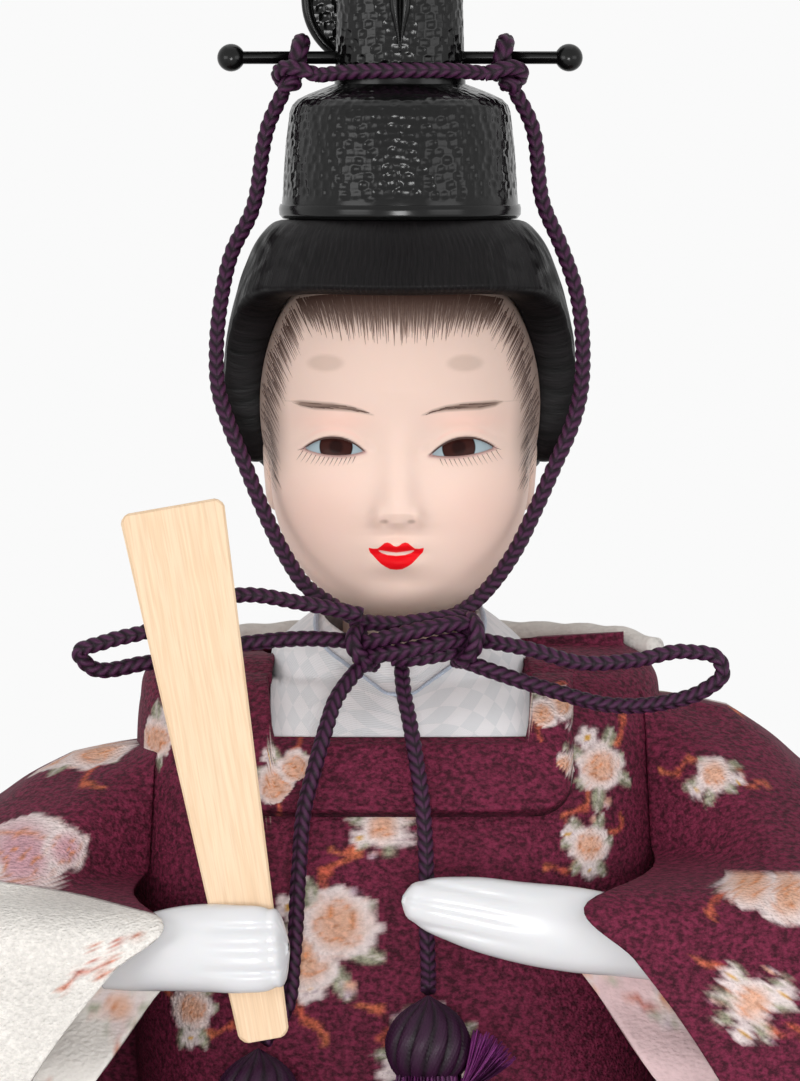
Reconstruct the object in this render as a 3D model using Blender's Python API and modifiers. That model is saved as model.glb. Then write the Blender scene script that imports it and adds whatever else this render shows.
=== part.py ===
"""Emperor doll of a hina set, seated, in court dress with a lacquered crown and a wooden sceptre.

Metres, +Z up. The origin is on the floor under the neck and the doll faces -Y.
"""

from math import asin, atan2, cos, exp, pi, sin

import bmesh
import bpy
from mathutils import Matrix, Vector

# Fits and cloth
FIT = 0.0003
CLOTH = 0.0008
OVERRUN = 0.01

# Torso: half-widths and depths at their fullest, and how they change with height
SHOULDER_Z = 0.163
TORSO_HALF_WIDTH = 0.0352
CHEST_DEPTH = 0.035
BACK_DEPTH = 0.030
TORSO_ROUNDNESS = 2.6
TORSO_STEPS = 26
SHOULDER_SHARPNESS = 8
TORSO_SHARES = [
    (1.000, 0.50, 0.30, 0.35),
    (0.994, 0.90, 0.50, 0.60),
    (0.975, 0.97, 0.66, 0.75),
    (0.920, 0.99, 0.84, 0.90),
    (0.820, 1.03, 0.95, 1.00),
    (0.690, 1.02, 1.00, 1.00),
    (0.550, 0.96, 0.95, 0.97),
    (0.370, 0.90, 0.92, 0.95),
    (0.020, 0.88, 0.90, 0.95),
]
SEAM_GAP = 0.0036
ROBE_HEM_Z = 0.060

# Neck opening and collars
WELL_HALF_WIDTH = 0.0182
WELL_DEPTH = 0.0215
WELL_CENTRE_Y = -0.008
WELL_FLOOR_Z = 0.1497
COLLAR_HALF_WIDTH = 0.0166
COLLAR_FOOT_FRONT = 0.0268
COLLAR_TOP_FRONT = 0.0145
COLLAR_BACK = 0.0125
COLLAR_V_Z = 0.1588
COLLAR_SIDE_Z = 0.171
LINING_RISE = 0.0012
BAND_HALF_WIDTH = 0.0233
BAND_FOOT_Z = 0.1442
BAND_TOP_Z = 0.1548
BAND_END_Z = 0.1585
BAND_THICKNESS = 0.0016
YOKE_RADIUS = 0.0024
YOKE_HALF_WIDTH = 0.0330
YOKE_DEPTH = 0.0182
YOKE_SHARES = [(1.000, 0.055, -0.667), (0.864, 0.412, -0.292), (0.591, 0.769, 0), (0, 1, 0)]
YOKE_STEP = 0.0058
YOKE_END_SHARE = 0.65
BELT_Z = 0.077
BELT_HEIGHT = 0.009
BELT_THICKNESS = 0.0018

# Lap, trousers and train
LAP_HEIGHT = 0.073
LAP_HALF_WIDTH = 0.067
LAP_DEPTH = 0.092
LAP_BACK = 0.040
LAP_ROUNDNESS = 2.5
LAP_STEPS = 30
LAP_SHARES = [
    (1.00, 0.545, 0.405, 0.820),
    (0.90, 0.620, 0.530, 0.840),
    (0.75, 0.760, 0.745, 0.870),
    (0.54, 0.925, 0.935, 0.910),
    (0.27, 1.000, 1.000, 0.950),
    (0.007, 0.985, 0.965, 1.000),
]
KNEE_CREASE = 0.009
KNEE_CREASE_WIDTH = 0.013
SKIRT_EDGE_Y = -0.064
SKIRT_EDGE_Z = 0.050
HEM_WIDTH = 0.009
TUCK = 0.008
TRAIN_LENGTH = 0.064
TRAIN_HALF_WIDTH = 0.037
TRAIN_FLARE = 0.016
TRAIN_RISE = 0.007
TRAIN_CLEARANCE = 0.0005

# Inside the dress
BOARD_HALF_WIDTH = LAP_HALF_WIDTH * 0.866
BOARD_FRONT = LAP_DEPTH * 0.761
BOARD_BACK = LAP_BACK * 0.725
BOARD_THICKNESS = 0.003
BOARD_CORNER = BOARD_HALF_WIDTH * 0.52
LEG_RADIUS = LAP_HEIGHT * 0.199
LEG_HIP_X = LAP_HALF_WIDTH * 0.679
LEG_KNEE_Y = -LAP_DEPTH * 0.391
LEG_ANKLE_X = LAP_HALF_WIDTH * 0.254
LEG_ANKLE_Y = -LAP_DEPTH * 0.576

# Arms, which reach as far as the sleeves allow
SLEEVE_REACH = 0.128
WIRE_RADIUS = 0.0009
ARM_ROOT_Z = 0.143
ARM_ROOT_X = 0.041
ELBOW = Vector((SLEEVE_REACH * 0.531, -0.012, 0.131))
WRIST = Vector((0.0428, -0.0396, 0.1258))
WIRE_END = Vector((0.0345, -0.0432, 0.1276))
ARM_RADIUS = 0.0062
WRIST_RADIUS = 0.0036

# Sleeves: height, reach outwards, cuff edge, front and back, as shares of the sizes above them
SLEEVE_TOP_Z = 0.158
SLEEVE_FRONT = 0.062
SLEEVE_BACK = 0.031
SLEEVE_SEAM = 0.0007
SLEEVE_SHARES = [
    (1.000, 0.350, 0.302, 0.150, 0.29),
    (0.975, 0.395, 0.302, 0.260, 0.45),
    (0.950, 0.430, 0.302, 0.360, 0.55),
    (0.911, 0.500, 0.303, 0.480, 0.61),
    (0.873, 0.563, 0.303, 0.640, 0.65),
    (0.848, 0.594, 0.250, 0.806, 0.68),
    (0.797, 0.640, 0.300, 0.831, 0.71),
    (0.747, 0.680, 0.347, 0.839, 0.74),
    (0.684, 0.719, 0.398, 0.839, 0.77),
    (0.538, 0.805, 0.484, 0.871, 0.84),
    (0.380, 0.883, 0.547, 0.919, 0.90),
    (0.190, 0.953, 0.594, 0.968, 0.97),
    (0.003, 1.000, 0.625, 1.000, 1.00),
]
SLEEVE_COLUMNS = 17
SLEEVE_FOLD = 0.0022
SLEEVE_FOLDS = 4
SLEEVE_FOLD_TOP = 0.7
REAR_TOP_ROW = 7
REAR_REACH_X = 0.0092
REAR_BEHIND = 0.0090

# Head
NECK_RADIUS = 0.0078
NECK_FOOT_Z = WELL_FLOOR_Z + FIT
SKULL_CENTRE = Vector((0, 0.0005, 0.1990))
SKULL_SIZE = Vector((0.0191, 0.0205, 0.0240))
JAW_CENTRE = Vector((0, -0.0060, 0.1880))
JAW_SIZE = Vector((0.0176, 0.0140, 0.0180))
NOSE_CENTRE = Vector((0, -0.0195, 0.1862))
NOSE_SIZE = Vector((0.0032, 0.0046, 0.0056))
EAR_CENTRE = Vector((0.0176, 0.0030, 0.1895))
EAR_SIZE = Vector((0.0017, 0.0034, 0.0052))
EYE_CENTRE = Vector((0.0088, -0.0152, 0.1936))
EYE_SIZE = Vector((0.0048, 0.0028, 0.0022))
PEG_RADIUS = 0.0032
PEG_IN_HEAD = 0.015
PEG_IN_BODY = 0.024

# Hair
HAIR_TOP_Z = 0.2244
HAIR_HALF_WIDTH = 0.0239
HAIR_DEPTH_RATIO = 1.03
HAIR_CENTRE_Y = 0.0015
HAIR_HEIGHT = 0.046
HAIR_STEPS = 24
HAIR_SHARES = [
    (0.000, 0.690),
    (0.055, 0.790),
    (0.150, 0.880),
    (0.280, 0.960),
    (0.440, 1.000),
    (0.600, 0.985),
    (0.700, 0.930),
    (0.820, 0.820),
    (0.930, 0.650),
    (1.000, 0.480),
]
HAIRLINE_Z = 0.2139
TEMPLE_X = 0.0193
TEMPLE_SHOULDER_X = 0.0135
TEMPLE_SHOULDER_Z = 0.2085
FACE_OPEN_Y = -0.0030
SIDEBURN_Z = 0.1923
SIDEBURN_BACK_Y = 0.0080

# Crown
RIM_HALF_WIDTH = 0.0165
RIM_HEIGHT = 0.0016
RIM_WIDTH = 0.0022
CROWN_DEPTH_RATIO = 1.08
CROWN_CENTRE_Y = 0.0010
CAP_HALF_WIDTH = 0.0162
CAP_SHOULDER_HALF_WIDTH = 0.0150
CAP_SHOULDER_Z = 0.2395
CAP_TOP_Z = 0.2425
CAP_HOLE_RADIUS = 0.0062
CAP_WALL = 0.0009
CROWN_STEPS = 24
TOWER_HALF_WIDTH = 0.0089
TOWER_TOP_HALF_WIDTH = 0.0084
TOWER_DEPTH_RATIO = 0.80
TOWER_TOP_Z = 0.272
TOWER_WALL = 0.0009
RIDGE_WIDTH = 0.0027
RIDGE_FOOT_Z = 0.247
RIDGE_DEPTH = 0.0010
PIN_Z = 0.2461
PIN_RADIUS = 0.00088
PIN_BALL_RADIUS = 0.0019
PIN_BALL_X = 0.0230
KNOT_X = 0.0140
KNOT_SIZE = Vector((0.0023, 0.0027, 0.0034))
KNOT_DROP = 0.0006
TOPKNOT_RADIUS = 0.0050
TOPKNOT_RISE_SHARE = 0.79

# Standing tail
TAIL_OFFSET_X = -0.0039
TAIL_HALF_WIDTH = 0.0088
TAIL_FOOT_Z = 0.2452
TAIL_HEIGHT = 0.0798
TAIL_RIM_RADIUS = 0.0008
TAIL_PLATE = 0.0009
TAIL_TONGUE_WIDTH = 0.0060
SOCKET_WIDTH = 0.0076
SOCKET_DEPTH = 0.0038
SOCKET_FOOT_Z = 0.2446
SOCKET_HEIGHT = 0.0068

# Cord
CORD_RADIUS = 0.0011
CORD_STEP = 0.0069
FRONT_CORD = [(-0.0113, -0.0036, 0.2437), (-0.0070, -0.0064, 0.2442), (0, -0.0078, 0.2444),
              (0.0070, -0.0064, 0.2444), (0.0113, -0.0036, 0.2440)]
RIGHT_SIDE_CORD = [(-0.0158, -0.0006, 0.2416), (-0.0176, -0.0014, 0.2378), (-0.0203, -0.0036, 0.2249),
                   (-0.0228, -0.0056, 0.2198), (-0.0243, -0.0078, 0.2132), (-0.0249, -0.0096, 0.2068),
                   (-0.0246, -0.0108, 0.2010), (-0.0232, -0.0116, 0.1965), (-0.0210, -0.0122, 0.1910),
                   (-0.0186, -0.0132, 0.1851), (-0.0158, -0.0152, 0.1793), (-0.0127, -0.0182, 0.1748),
                   (-0.0096, -0.0208, 0.1726), (-0.0060, -0.0236, 0.1706)]
LEFT_SIDE_CORD = [(0.0156, -0.0006, 0.2416), (0.0176, -0.0014, 0.2378), (0.0196, -0.0036, 0.2259),
                  (0.0219, -0.0056, 0.2205), (0.0240, -0.0078, 0.2141), (0.0248, -0.0096, 0.2068),
                  (0.0244, -0.0108, 0.2003), (0.0231, -0.0116, 0.1958), (0.0210, -0.0122, 0.1910),
                  (0.0184, -0.0132, 0.1851), (0.0155, -0.0152, 0.1793), (0.0122, -0.0182, 0.1748),
                  (0.0094, -0.0212, 0.1722), (0.0068, -0.0236, 0.1708)]
RIGHT_BOW = [(-0.0052, -0.0264, 0.1712), (-0.0130, -0.0284, 0.1728), (-0.0212, -0.0298, 0.1740),
             (-0.0341, -0.0306, 0.1691), (-0.0400, -0.0306, 0.1676), (-0.0432, -0.0300, 0.1662),
             (-0.0420, -0.0294, 0.1645), (-0.0341, -0.0290, 0.1648), (-0.0207, -0.0282, 0.1674),
             (-0.0130, -0.0272, 0.1680), (-0.0063, -0.0254, 0.1676)]
LEFT_BOW = [(0.0094, -0.0252, 0.1680), (0.0174, -0.0276, 0.1666), (0.0245, -0.0292, 0.1648),
            (0.0315, -0.0302, 0.1652), (0.0386, -0.0306, 0.1664), (0.0430, -0.0304, 0.1652),
            (0.0434, -0.0300, 0.1634), (0.0410, -0.0298, 0.1612), (0.0362, -0.0296, 0.1596),
            (0.0286, -0.0290, 0.1591), (0.0204, -0.0284, 0.1611), (0.0128, -0.0274, 0.1635),
            (0.0080, -0.0262, 0.1652)]
RIGHT_HANGING_CORD = [(-0.0042, -0.0256, 0.1652), (-0.0064, -0.0280, 0.1630), (-0.0086, -0.0308, 0.1600),
                      (-0.0100, -0.0332, 0.1560), (-0.0113, -0.0350, 0.1515), (-0.0128, -0.0362, 0.1457),
                      (-0.0136, -0.0372, 0.1369), (-0.0143, -0.0378, 0.1257), (-0.0152, -0.0392, 0.1190),
                      (-0.0183, -0.0410, 0.1143)]
LEFT_HANGING_CORD = [(0.0002, -0.0258, 0.1642), (0.0005, -0.0286, 0.1610), (0.0013, -0.0316, 0.1570),
                     (0.0021, -0.0340, 0.1524), (0.0030, -0.0358, 0.1462), (0.0035, -0.0368, 0.1385),
                     (0.0036, -0.0378, 0.1291), (0.0038, -0.0398, 0.1236), (0.0038, -0.0420, 0.1214)]
CHIN_KNOT_CENTRE = Vector((0.0016, -0.0246, 0.1676))
CHIN_KNOT_SIZE = Vector((0.0073, 0.0031, 0.0029))
RIGHT_TASSEL_TOP = Vector((-0.0190, -0.0413, 0.1136))
LEFT_TASSEL_TOP = Vector((0.0038, -0.0430, 0.1208))
TASSEL_RADIUS = 0.0057
TASSEL_HEAD = 0.0110
TASSEL_LENGTH = 0.0340
TASSEL_STEPS = 14
TASSEL_NECK = 0.0042
TASSEL_BAND_HEIGHT = 0.0022
TASSEL_BAND_THICKNESS = 0.0009

# Sceptre: the middle of its foot, its lean and its outline
SHAKU_FOOT = Vector((-0.0181, -0.0446, 0.1149))
SHAKU_LENGTH = 0.0726
SHAKU_TOP_WIDTH = 0.0141
SHAKU_FOOT_WIDTH = 0.0068
SHAKU_CHAMFER = 0.0009
SHAKU_THICKNESS = 0.0018
SHAKU_LEAN_X = 0.0125
SHAKU_ROUNDING = 0.0003

# Hands: place along the hand, shift forward, shift up, half height and half thickness, as shares
RIGHT_WRIST_END = Vector((-0.0398, -0.0408, 0.1252))
RIGHT_FINGER_END = Vector((-0.0152, -0.0472, 0.1276))
RIGHT_HAND_HALF_HEIGHT = 0.0058
RIGHT_HAND_HALF_THICKNESS = 0.0046
RIGHT_HAND_SHARES = [
    (0.000, 0.000, 0.000, 0.621, 0.696),
    (0.134, 0.013, 0.015, 0.776, 0.826),
    (0.317, 0.030, 0.033, 0.914, 1.000),
    (0.541, 0.052, 0.031, 1.000, 1.000),
    (0.744, 0.088, 0.012, 1.000, 0.565),
    (0.907, 0.047, 0.001, 0.862, 0.522),
    (1.000, 0.000, 0.000, 0.552, 0.370),
]
LEFT_WRIST_END = Vector((0.0398, -0.0410, 0.1260))
LEFT_FINGER_END = Vector((0.0006, -0.0472, 0.1340))
LEFT_HAND_HALF_HEIGHT = 0.0056
LEFT_HAND_HALF_THICKNESS = 0.0039
LEFT_HAND_SHARES = [
    (0.000, 0.000, 0.000, 0.679, 0.821),
    (0.097, 0.015, 0.006, 0.786, 0.923),
    (0.224, 0.025, 0.015, 0.911, 1.000),
    (0.403, 0.027, 0.009, 1.000, 1.000),
    (0.607, 0.021, -0.001, 0.946, 0.923),
    (0.811, 0.009, 0.000, 0.786, 0.795),
    (0.939, 0.004, 0.000, 0.554, 0.615),
    (1.000, 0.000, 0.000, 0.286, 0.359),
]
THUMB_ROOT = Vector((-0.0305, -0.0424, 0.1275))
THUMB_TIP = Vector((-0.0195, -0.0405, 0.1295))
THUMB_RADIUS = 0.0019


def linear(value):
    """One sRGB channel, 0 to 1, as the renderer's linear value."""
    return value / 12.92 if value <= 0.04045 else ((value + 0.055) / 1.055) ** 2.4


def material(name, colour, roughness, metallic=0.0):
    """A plain surface of one colour, given as an sRGB hex number."""
    made = bpy.data.materials.new(name)
    made.use_nodes = True
    shader = made.node_tree.nodes["Principled BSDF"]
    channels = [linear((colour >> shift & 255) / 255) for shift in (16, 8, 0)]
    shader.inputs["Base Color"].default_value = (*channels, 1)
    shader.inputs["Roughness"].default_value = roughness
    shader.inputs["Metallic"].default_value = metallic
    made.diffuse_color = (*channels, 1)
    return made


def clear_scene():
    """Empties the scene and makes the doll's collection and the cutters'."""
    for obj in list(bpy.data.objects):
        bpy.data.objects.remove(obj)
    parts = bpy.data.collections.new("hina_doll")
    cutters = bpy.data.collections.new("cutters")
    cutters.hide_render = True
    bpy.context.scene.collection.children.link(parts)
    bpy.context.scene.collection.children.link(cutters)
    return parts, cutters


PARTS, CUTTERS = clear_scene()


def add_object(name, data, finish):
    obj = bpy.data.objects.new(name, data)
    PARTS.objects.link(obj)
    obj.data.materials.append(finish)
    return obj


def mesh_object(name, mesh, finish, cutter=False):
    """Turns a bmesh into an object, smooth but for its sharp edges, with its faces pointing out."""
    bmesh.ops.recalc_face_normals(mesh, faces=mesh.faces)
    data = bpy.data.meshes.new(name)
    mesh.to_mesh(data)
    mesh.free()
    data.shade_smooth()
    data.set_sharp_from_angle(angle=pi / 5)
    obj = add_object(name, data, finish)
    if cutter:
        make_cutter(obj)
    return obj


def make_cutter(obj):
    for collection in list(obj.users_collection):
        collection.objects.unlink(obj)
    CUTTERS.objects.link(obj)
    obj.hide_render = True
    obj.display_type = "WIRE"


def boolean(obj, other, operation="DIFFERENCE"):
    modifier = obj.modifiers.new(operation.lower(), "BOOLEAN")
    modifier.operation = operation
    modifier.object = other
    modifier.solver = "EXACT"


def solidify(obj, thickness, offset=-1):
    modifier = obj.modifiers.new("thickness", "SOLIDIFY")
    modifier.thickness = thickness
    modifier.offset = offset


def loft(rings, capped=True, closed=True):
    """Skins a row of point rings, and caps both ends when asked."""
    mesh = bmesh.new()
    rows = [[mesh.verts.new(point) for point in ring] for ring in rings]
    count = len(rows[0])
    for first, second in zip(rows, rows[1:]):
        for j in range(count if closed else count - 1):
            k = (j + 1) % count
            mesh.faces.new((first[j], first[k], second[k], second[j]))
    if capped:
        mesh.faces.new(rows[0])
        mesh.faces.new(rows[-1])
    return mesh


def ellipsoid(centre, size, segments, rings):
    mesh = bmesh.new()
    bmesh.ops.create_uvsphere(mesh, u_segments=segments, v_segments=rings, radius=1)
    bmesh.ops.scale(mesh, vec=size, verts=mesh.verts)
    bmesh.ops.translate(mesh, vec=centre, verts=mesh.verts)
    return mesh


def rod(radius, start, end, segments=20):
    """A straight cylinder between two points."""
    along = Vector(end) - Vector(start)
    mesh = bmesh.new()
    bmesh.ops.create_cone(
        mesh, cap_ends=True, segments=segments, radius1=radius, radius2=radius, depth=along.length
    )
    turn = Vector((0, 0, 1)).rotation_difference(along).to_matrix().to_4x4()
    place = Matrix.Translation((Vector(start) + Vector(end)) / 2) @ turn
    bmesh.ops.transform(mesh, matrix=place, verts=mesh.verts)
    return mesh


def box(low, high):
    mesh = bmesh.new()
    bmesh.ops.create_cube(mesh, size=1)
    low, high = Vector(low), Vector(high)
    bmesh.ops.scale(mesh, vec=high - low, verts=mesh.verts)
    bmesh.ops.translate(mesh, vec=(low + high) / 2, verts=mesh.verts)
    return mesh


def smooth_points(route, step):
    """Points read at an even step along a smooth curve through the route's own points."""
    route = [Vector(point) for point in route]
    ends = [2 * route[0] - route[1]] + route + [2 * route[-1] - route[-2]]
    fine = []
    samples = 12
    for before, start, end, after in zip(ends, ends[1:], ends[2:], ends[3:]):
        for k in range(samples):
            t = k / samples
            fine.append(
                start
                + (end - before) * t / 2
                + (before * 2 - start * 5 + end * 4 - after) * t * t / 2
                + (start * 3 - before - end * 3 + after) * t * t * t / 2
            )
    fine.append(route[-1])
    lengths = [0]
    for first, second in zip(fine, fine[1:]):
        lengths.append(lengths[-1] + (second - first).length)
    count = max(2, round(lengths[-1] / step))
    points = []
    place = 0
    for k in range(count + 1):
        wanted = lengths[-1] * k / count
        while place < len(fine) - 2 and lengths[place + 1] < wanted:
            place += 1
        share = (wanted - lengths[place]) / (lengths[place + 1] - lengths[place])
        points.append(fine[place].lerp(fine[place + 1], share))
    return points


def tube(name, points, radius, finish, shares=None, resolution=2):
    """A round bar along the points; shares thin it from point to point."""
    data = bpy.data.curves.new(name, "CURVE")
    data.dimensions = "3D"
    data.bevel_depth = radius
    data.bevel_resolution = resolution
    data.use_fill_caps = True
    spline = data.splines.new("POLY")
    spline.points.add(len(points) - 1)
    for k, point in enumerate(points):
        spline.points[k].co = (*point, 1)
        spline.points[k].radius = shares[k] if shares else 1
    return add_object(name, data, finish)


def plate(name, outline, thickness, finish):
    """A flat outline in its own XY plane, half its thickness to each side."""
    data = bpy.data.curves.new(name, "CURVE")
    data.dimensions = "2D"
    data.fill_mode = "BOTH"
    data.extrude = thickness / 2
    spline = data.splines.new("POLY")
    spline.points.add(len(outline) - 1)
    for k, (x, y) in enumerate(outline):
        spline.points[k].co = (x, y, 0, 1)
    spline.use_cyclic_u = True
    return add_object(name, data, finish)


def as_mesh(curve):
    """The curve's solid as a mesh object that can be cut."""
    bpy.context.view_layer.update()
    shown = curve.evaluated_get(bpy.context.evaluated_depsgraph_get())
    data = bpy.data.meshes.new_from_object(shown)
    name, place = curve.name, curve.matrix_world.copy()
    bpy.data.objects.remove(curve)
    mesh = bmesh.new()
    mesh.from_mesh(data)
    bmesh.ops.remove_doubles(mesh, verts=mesh.verts, dist=FIT / 100)
    bmesh.ops.recalc_face_normals(mesh, faces=mesh.faces)
    mesh.to_mesh(data)
    mesh.free()
    data.name = name
    obj = bpy.data.objects.new(name, data)
    PARTS.objects.link(obj)
    obj.matrix_world = place
    return obj


def turned(name, profile, finish, steps, depth_ratio=1.0, centre=(0, 0, 0)):
    """Turns a profile of (radius, height) points, top to bottom, about +Z."""
    mesh = bmesh.new()
    points = [mesh.verts.new((radius, 0, height)) for radius, height in profile]
    for first, second in zip(points, points[1:]):
        mesh.edges.new((first, second))
    data = bpy.data.meshes.new(name)
    mesh.to_mesh(data)
    mesh.free()
    obj = add_object(name, data, finish)
    obj.location = centre
    obj.scale = (1, depth_ratio, 1)
    screw = obj.modifiers.new("turn", "SCREW")
    screw.steps = steps
    screw.render_steps = steps
    screw.use_merge_vertices = True
    screw.merge_threshold = FIT / 30
    screw.use_smooth_shade = True
    return obj


def table_row(table, share):
    """The table's values at a height share, straight between its rows."""
    for upper, lower in zip(table, table[1:]):
        if share >= lower[0]:
            part = (upper[0] - share) / (upper[0] - lower[0])
            return [a + (b - a) * max(part, 0) for a, b in zip(upper[1:], lower[1:])]
    return list(table[-1][1:])


def rounded(share, roundness):
    return (1 if share > 0 else -1) * abs(share) ** (2 / roundness)


def torso_size(z):
    width, front, back = table_row(TORSO_SHARES, z / SHOULDER_Z)
    return TORSO_HALF_WIDTH * width, CHEST_DEPTH * front, BACK_DEPTH * back


def torso_point(angle, z, inset=0.0):
    half, front, back = (size - inset for size in torso_size(z))
    across = half * rounded(cos(angle), TORSO_ROUNDNESS)
    side = rounded(sin(angle), TORSO_ROUNDNESS)
    drop = inset * (z / SHOULDER_Z) ** SHOULDER_SHARPNESS
    return Vector((across, side * (back if side > 0 else front), z - drop))


def torso_front_y(x, z):
    half, front, _ = torso_size(z)
    return -front * max(0.0, 1 - (abs(x) / half) ** TORSO_ROUNDNESS) ** (1 / TORSO_ROUNDNESS)


def torso_heights(low, high):
    inner = [share * SHOULDER_Z for share, *_ in TORSO_SHARES if low < share * SHOULDER_Z < high]
    return [high] + inner + [low]


def lap_size(z):
    width, front, back = table_row(LAP_SHARES, z / LAP_HEIGHT)
    return LAP_HALF_WIDTH * width, LAP_DEPTH * front, LAP_BACK * back


def lap_point(angle, z, inset=0.0):
    half, front, back = (size - inset for size in lap_size(z))
    across = half * rounded(cos(angle), LAP_ROUNDNESS)
    side = rounded(sin(angle), LAP_ROUNDNESS)
    if side < 0:
        front -= KNEE_CREASE * (1 - z / LAP_HEIGHT) * exp(-((across / KNEE_CREASE_WIDTH) ** 2))
    return Vector((across, side * (back if side > 0 else front), z - (inset if z > LAP_HEIGHT / 2 else 0)))


def ring(function, z, steps, inset=0.0):
    return [function(2 * pi * k / steps, z, inset) for k in range(steps)]


def cloth_finishes():
    return {
        "crepe": material("burgundy_crepe", 0x632138, 0.85),
        "pale_crepe": material("pale_crepe", 0xDAD5CF, 0.85),
        "white_silk": material("white_silk", 0xE3E1E4, 0.6),
        "grey_edge": material("grey_braid", 0x9DA6B5, 0.7),
        "trousers": material("trouser_silk", 0xB9A9B5, 0.6),
        "belt": material("belt_leather", 0x15110F, 0.35),
        "straw": material("straw", 0xC9AE6D, 0.9),
        "cotton": material("cotton", 0xEDE9E0, 0.95),
        "board": material("fir_board", 0xC8A878, 0.7),
        "wire": material("iron_wire", 0x6A6765, 0.4, 1.0),
    }


def head_finishes():
    return {
        "skin": material("painted_composition", 0xF3DCCF, 0.35),
        "eye": material("glass_eye", 0x4A231C, 0.05),
        "hair": material("silk_hair", 0x100E0D, 0.35),
        "lacquer": material("black_lacquer", 0x0E0E0E, 0.2),
        "cord": material("braided_silk", 0x3F2440, 0.6),
        "tassel": material("tassel_silk", 0x5A2452, 0.5),
        "hand": material("white_moulding", 0xE6E6E8, 0.25),
        "wood": material("pale_cypress", 0xEBCB9B, 0.6),
        "peg": material("peg_wood", 0xD8B98A, 0.7),
    }


CLOTHS = cloth_finishes()
FINISHES = head_finishes()


def rounded_rectangle(half, low, high, corner, steps=6):
    """An outline from -half to half and low to high, with quarter-round corners."""
    centres = [(half - corner, high - corner), (corner - half, high - corner),
               (corner - half, low + corner), (half - corner, low + corner)]
    outline = []
    for quarter, (x, y) in enumerate(centres):
        for k in range(steps + 1):
            angle = pi / 2 * (quarter + k / steps)
            outline.append((x + corner * cos(angle), y + corner * sin(angle)))
    return outline


def make_seat_board():
    outline = rounded_rectangle(BOARD_HALF_WIDTH, -BOARD_FRONT, BOARD_BACK, BOARD_CORNER)
    board = plate("seat_board", outline, BOARD_THICKNESS, CLOTHS["board"])
    board.location.z = BOARD_THICKNESS / 2


def well_cutter(name, clearance):
    """The neck opening's cutter: an upright oval prism."""
    prism = rod(1, (0, 0, 0), (0, 0, 1), 32)
    size = Vector((WELL_HALF_WIDTH + clearance, WELL_DEPTH + clearance, SHOULDER_Z - WELL_FLOOR_Z + OVERRUN))
    bmesh.ops.scale(prism, vec=size, verts=prism.verts)
    bmesh.ops.translate(prism, vec=(0, WELL_CENTRE_Y, WELL_FLOOR_Z - clearance), verts=prism.verts)
    return mesh_object(name, prism, CLOTHS["straw"], cutter=True)


def make_body_core(arm_channel):
    inset = CLOTH + FIT * 3
    foot = BOARD_THICKNESS + FIT
    rings = [ring(torso_point, z, TORSO_STEPS, inset) for z in torso_heights(foot, SHOULDER_Z)]
    core = mesh_object("body_core", loft(rings), CLOTHS["straw"])
    boolean(core, well_cutter("core_well", 0))
    peg_foot = NECK_FOOT_Z - PEG_IN_BODY
    bore = rod(PEG_RADIUS + FIT, (0, 0, peg_foot - FIT), (0, 0, SHOULDER_Z), 16)
    boolean(core, mesh_object("core_bore", bore, CLOTHS["straw"], cutter=True))
    boolean(core, arm_channel)


def leg_route(side):
    z = BOARD_THICKNESS + FIT + LEG_RADIUS * cos(pi / 10)
    hip = Vector((side * LEG_HIP_X, 0, z))
    knee = Vector((side * LEG_HIP_X, LEG_KNEE_Y, z))
    ankle = Vector((side * LEG_ANKLE_X, LEG_ANKLE_Y, z))
    return [hip, hip.lerp(knee, 0.6), knee.lerp(ankle, 0.15), ankle.lerp(knee, 0.3), ankle]


def make_leg_roll(word, side):
    route = smooth_points(leg_route(side), LEG_RADIUS / 2)
    roll = tube(f"{word}_leg_roll", route, LEG_RADIUS, CLOTHS["straw"])
    roll.data.bevel_resolution = 3


def arm_route(side):
    """From the wire's end in the hand to where the wire leaves the body."""
    def mirrored(point):
        return Vector((side * point.x, point.y, point.z))

    root = Vector((ARM_ROOT_X, 0, ARM_ROOT_Z))
    joints = [WIRE_END, WRIST, WRIST.lerp(ELBOW, 0.55), ELBOW, ELBOW.lerp(root, 0.5), root]
    return [mirrored(point) for point in joints]


def arm_wire_route():
    """From hand to hand, straight through the side seams and round the back of the neck peg."""
    seam = Vector((TORSO_HALF_WIDTH - CLOTH, 0, ARM_ROOT_Z))
    behind = Vector((0, PEG_RADIUS + WIRE_RADIUS + CLOTH * 3, ARM_ROOT_Z))
    left, right = arm_route(1), arm_route(-1)
    inside = [seam * Vector((-1, 1, 1)), behind, seam]
    return smooth_points(right + inside + left[::-1], ARM_RADIUS)


def wire_channel(name, clearance):
    route = arm_wire_route()
    route[0] += (route[0] - route[1]).normalized() * clearance
    route[-1] += (route[-1] - route[-2]).normalized() * clearance
    channel = tube(name, route, WIRE_RADIUS + clearance, CLOTHS["wire"], resolution=1)
    channel = as_mesh(channel)
    make_cutter(channel)
    return channel


def make_arm(word, side, channel):
    route = smooth_points(arm_route(side)[1:], ARM_RADIUS)
    last = len(route) - 1
    thinnest = WRIST_RADIUS / ARM_RADIUS
    shares = [thinnest + (1 - thinnest) * min(1, 1.6 * k / last) for k in range(last + 1)]
    padding = as_mesh(tube(f"{word}_arm_padding", route, ARM_RADIUS, CLOTHS["cotton"], shares))
    boolean(padding, channel)


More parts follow.
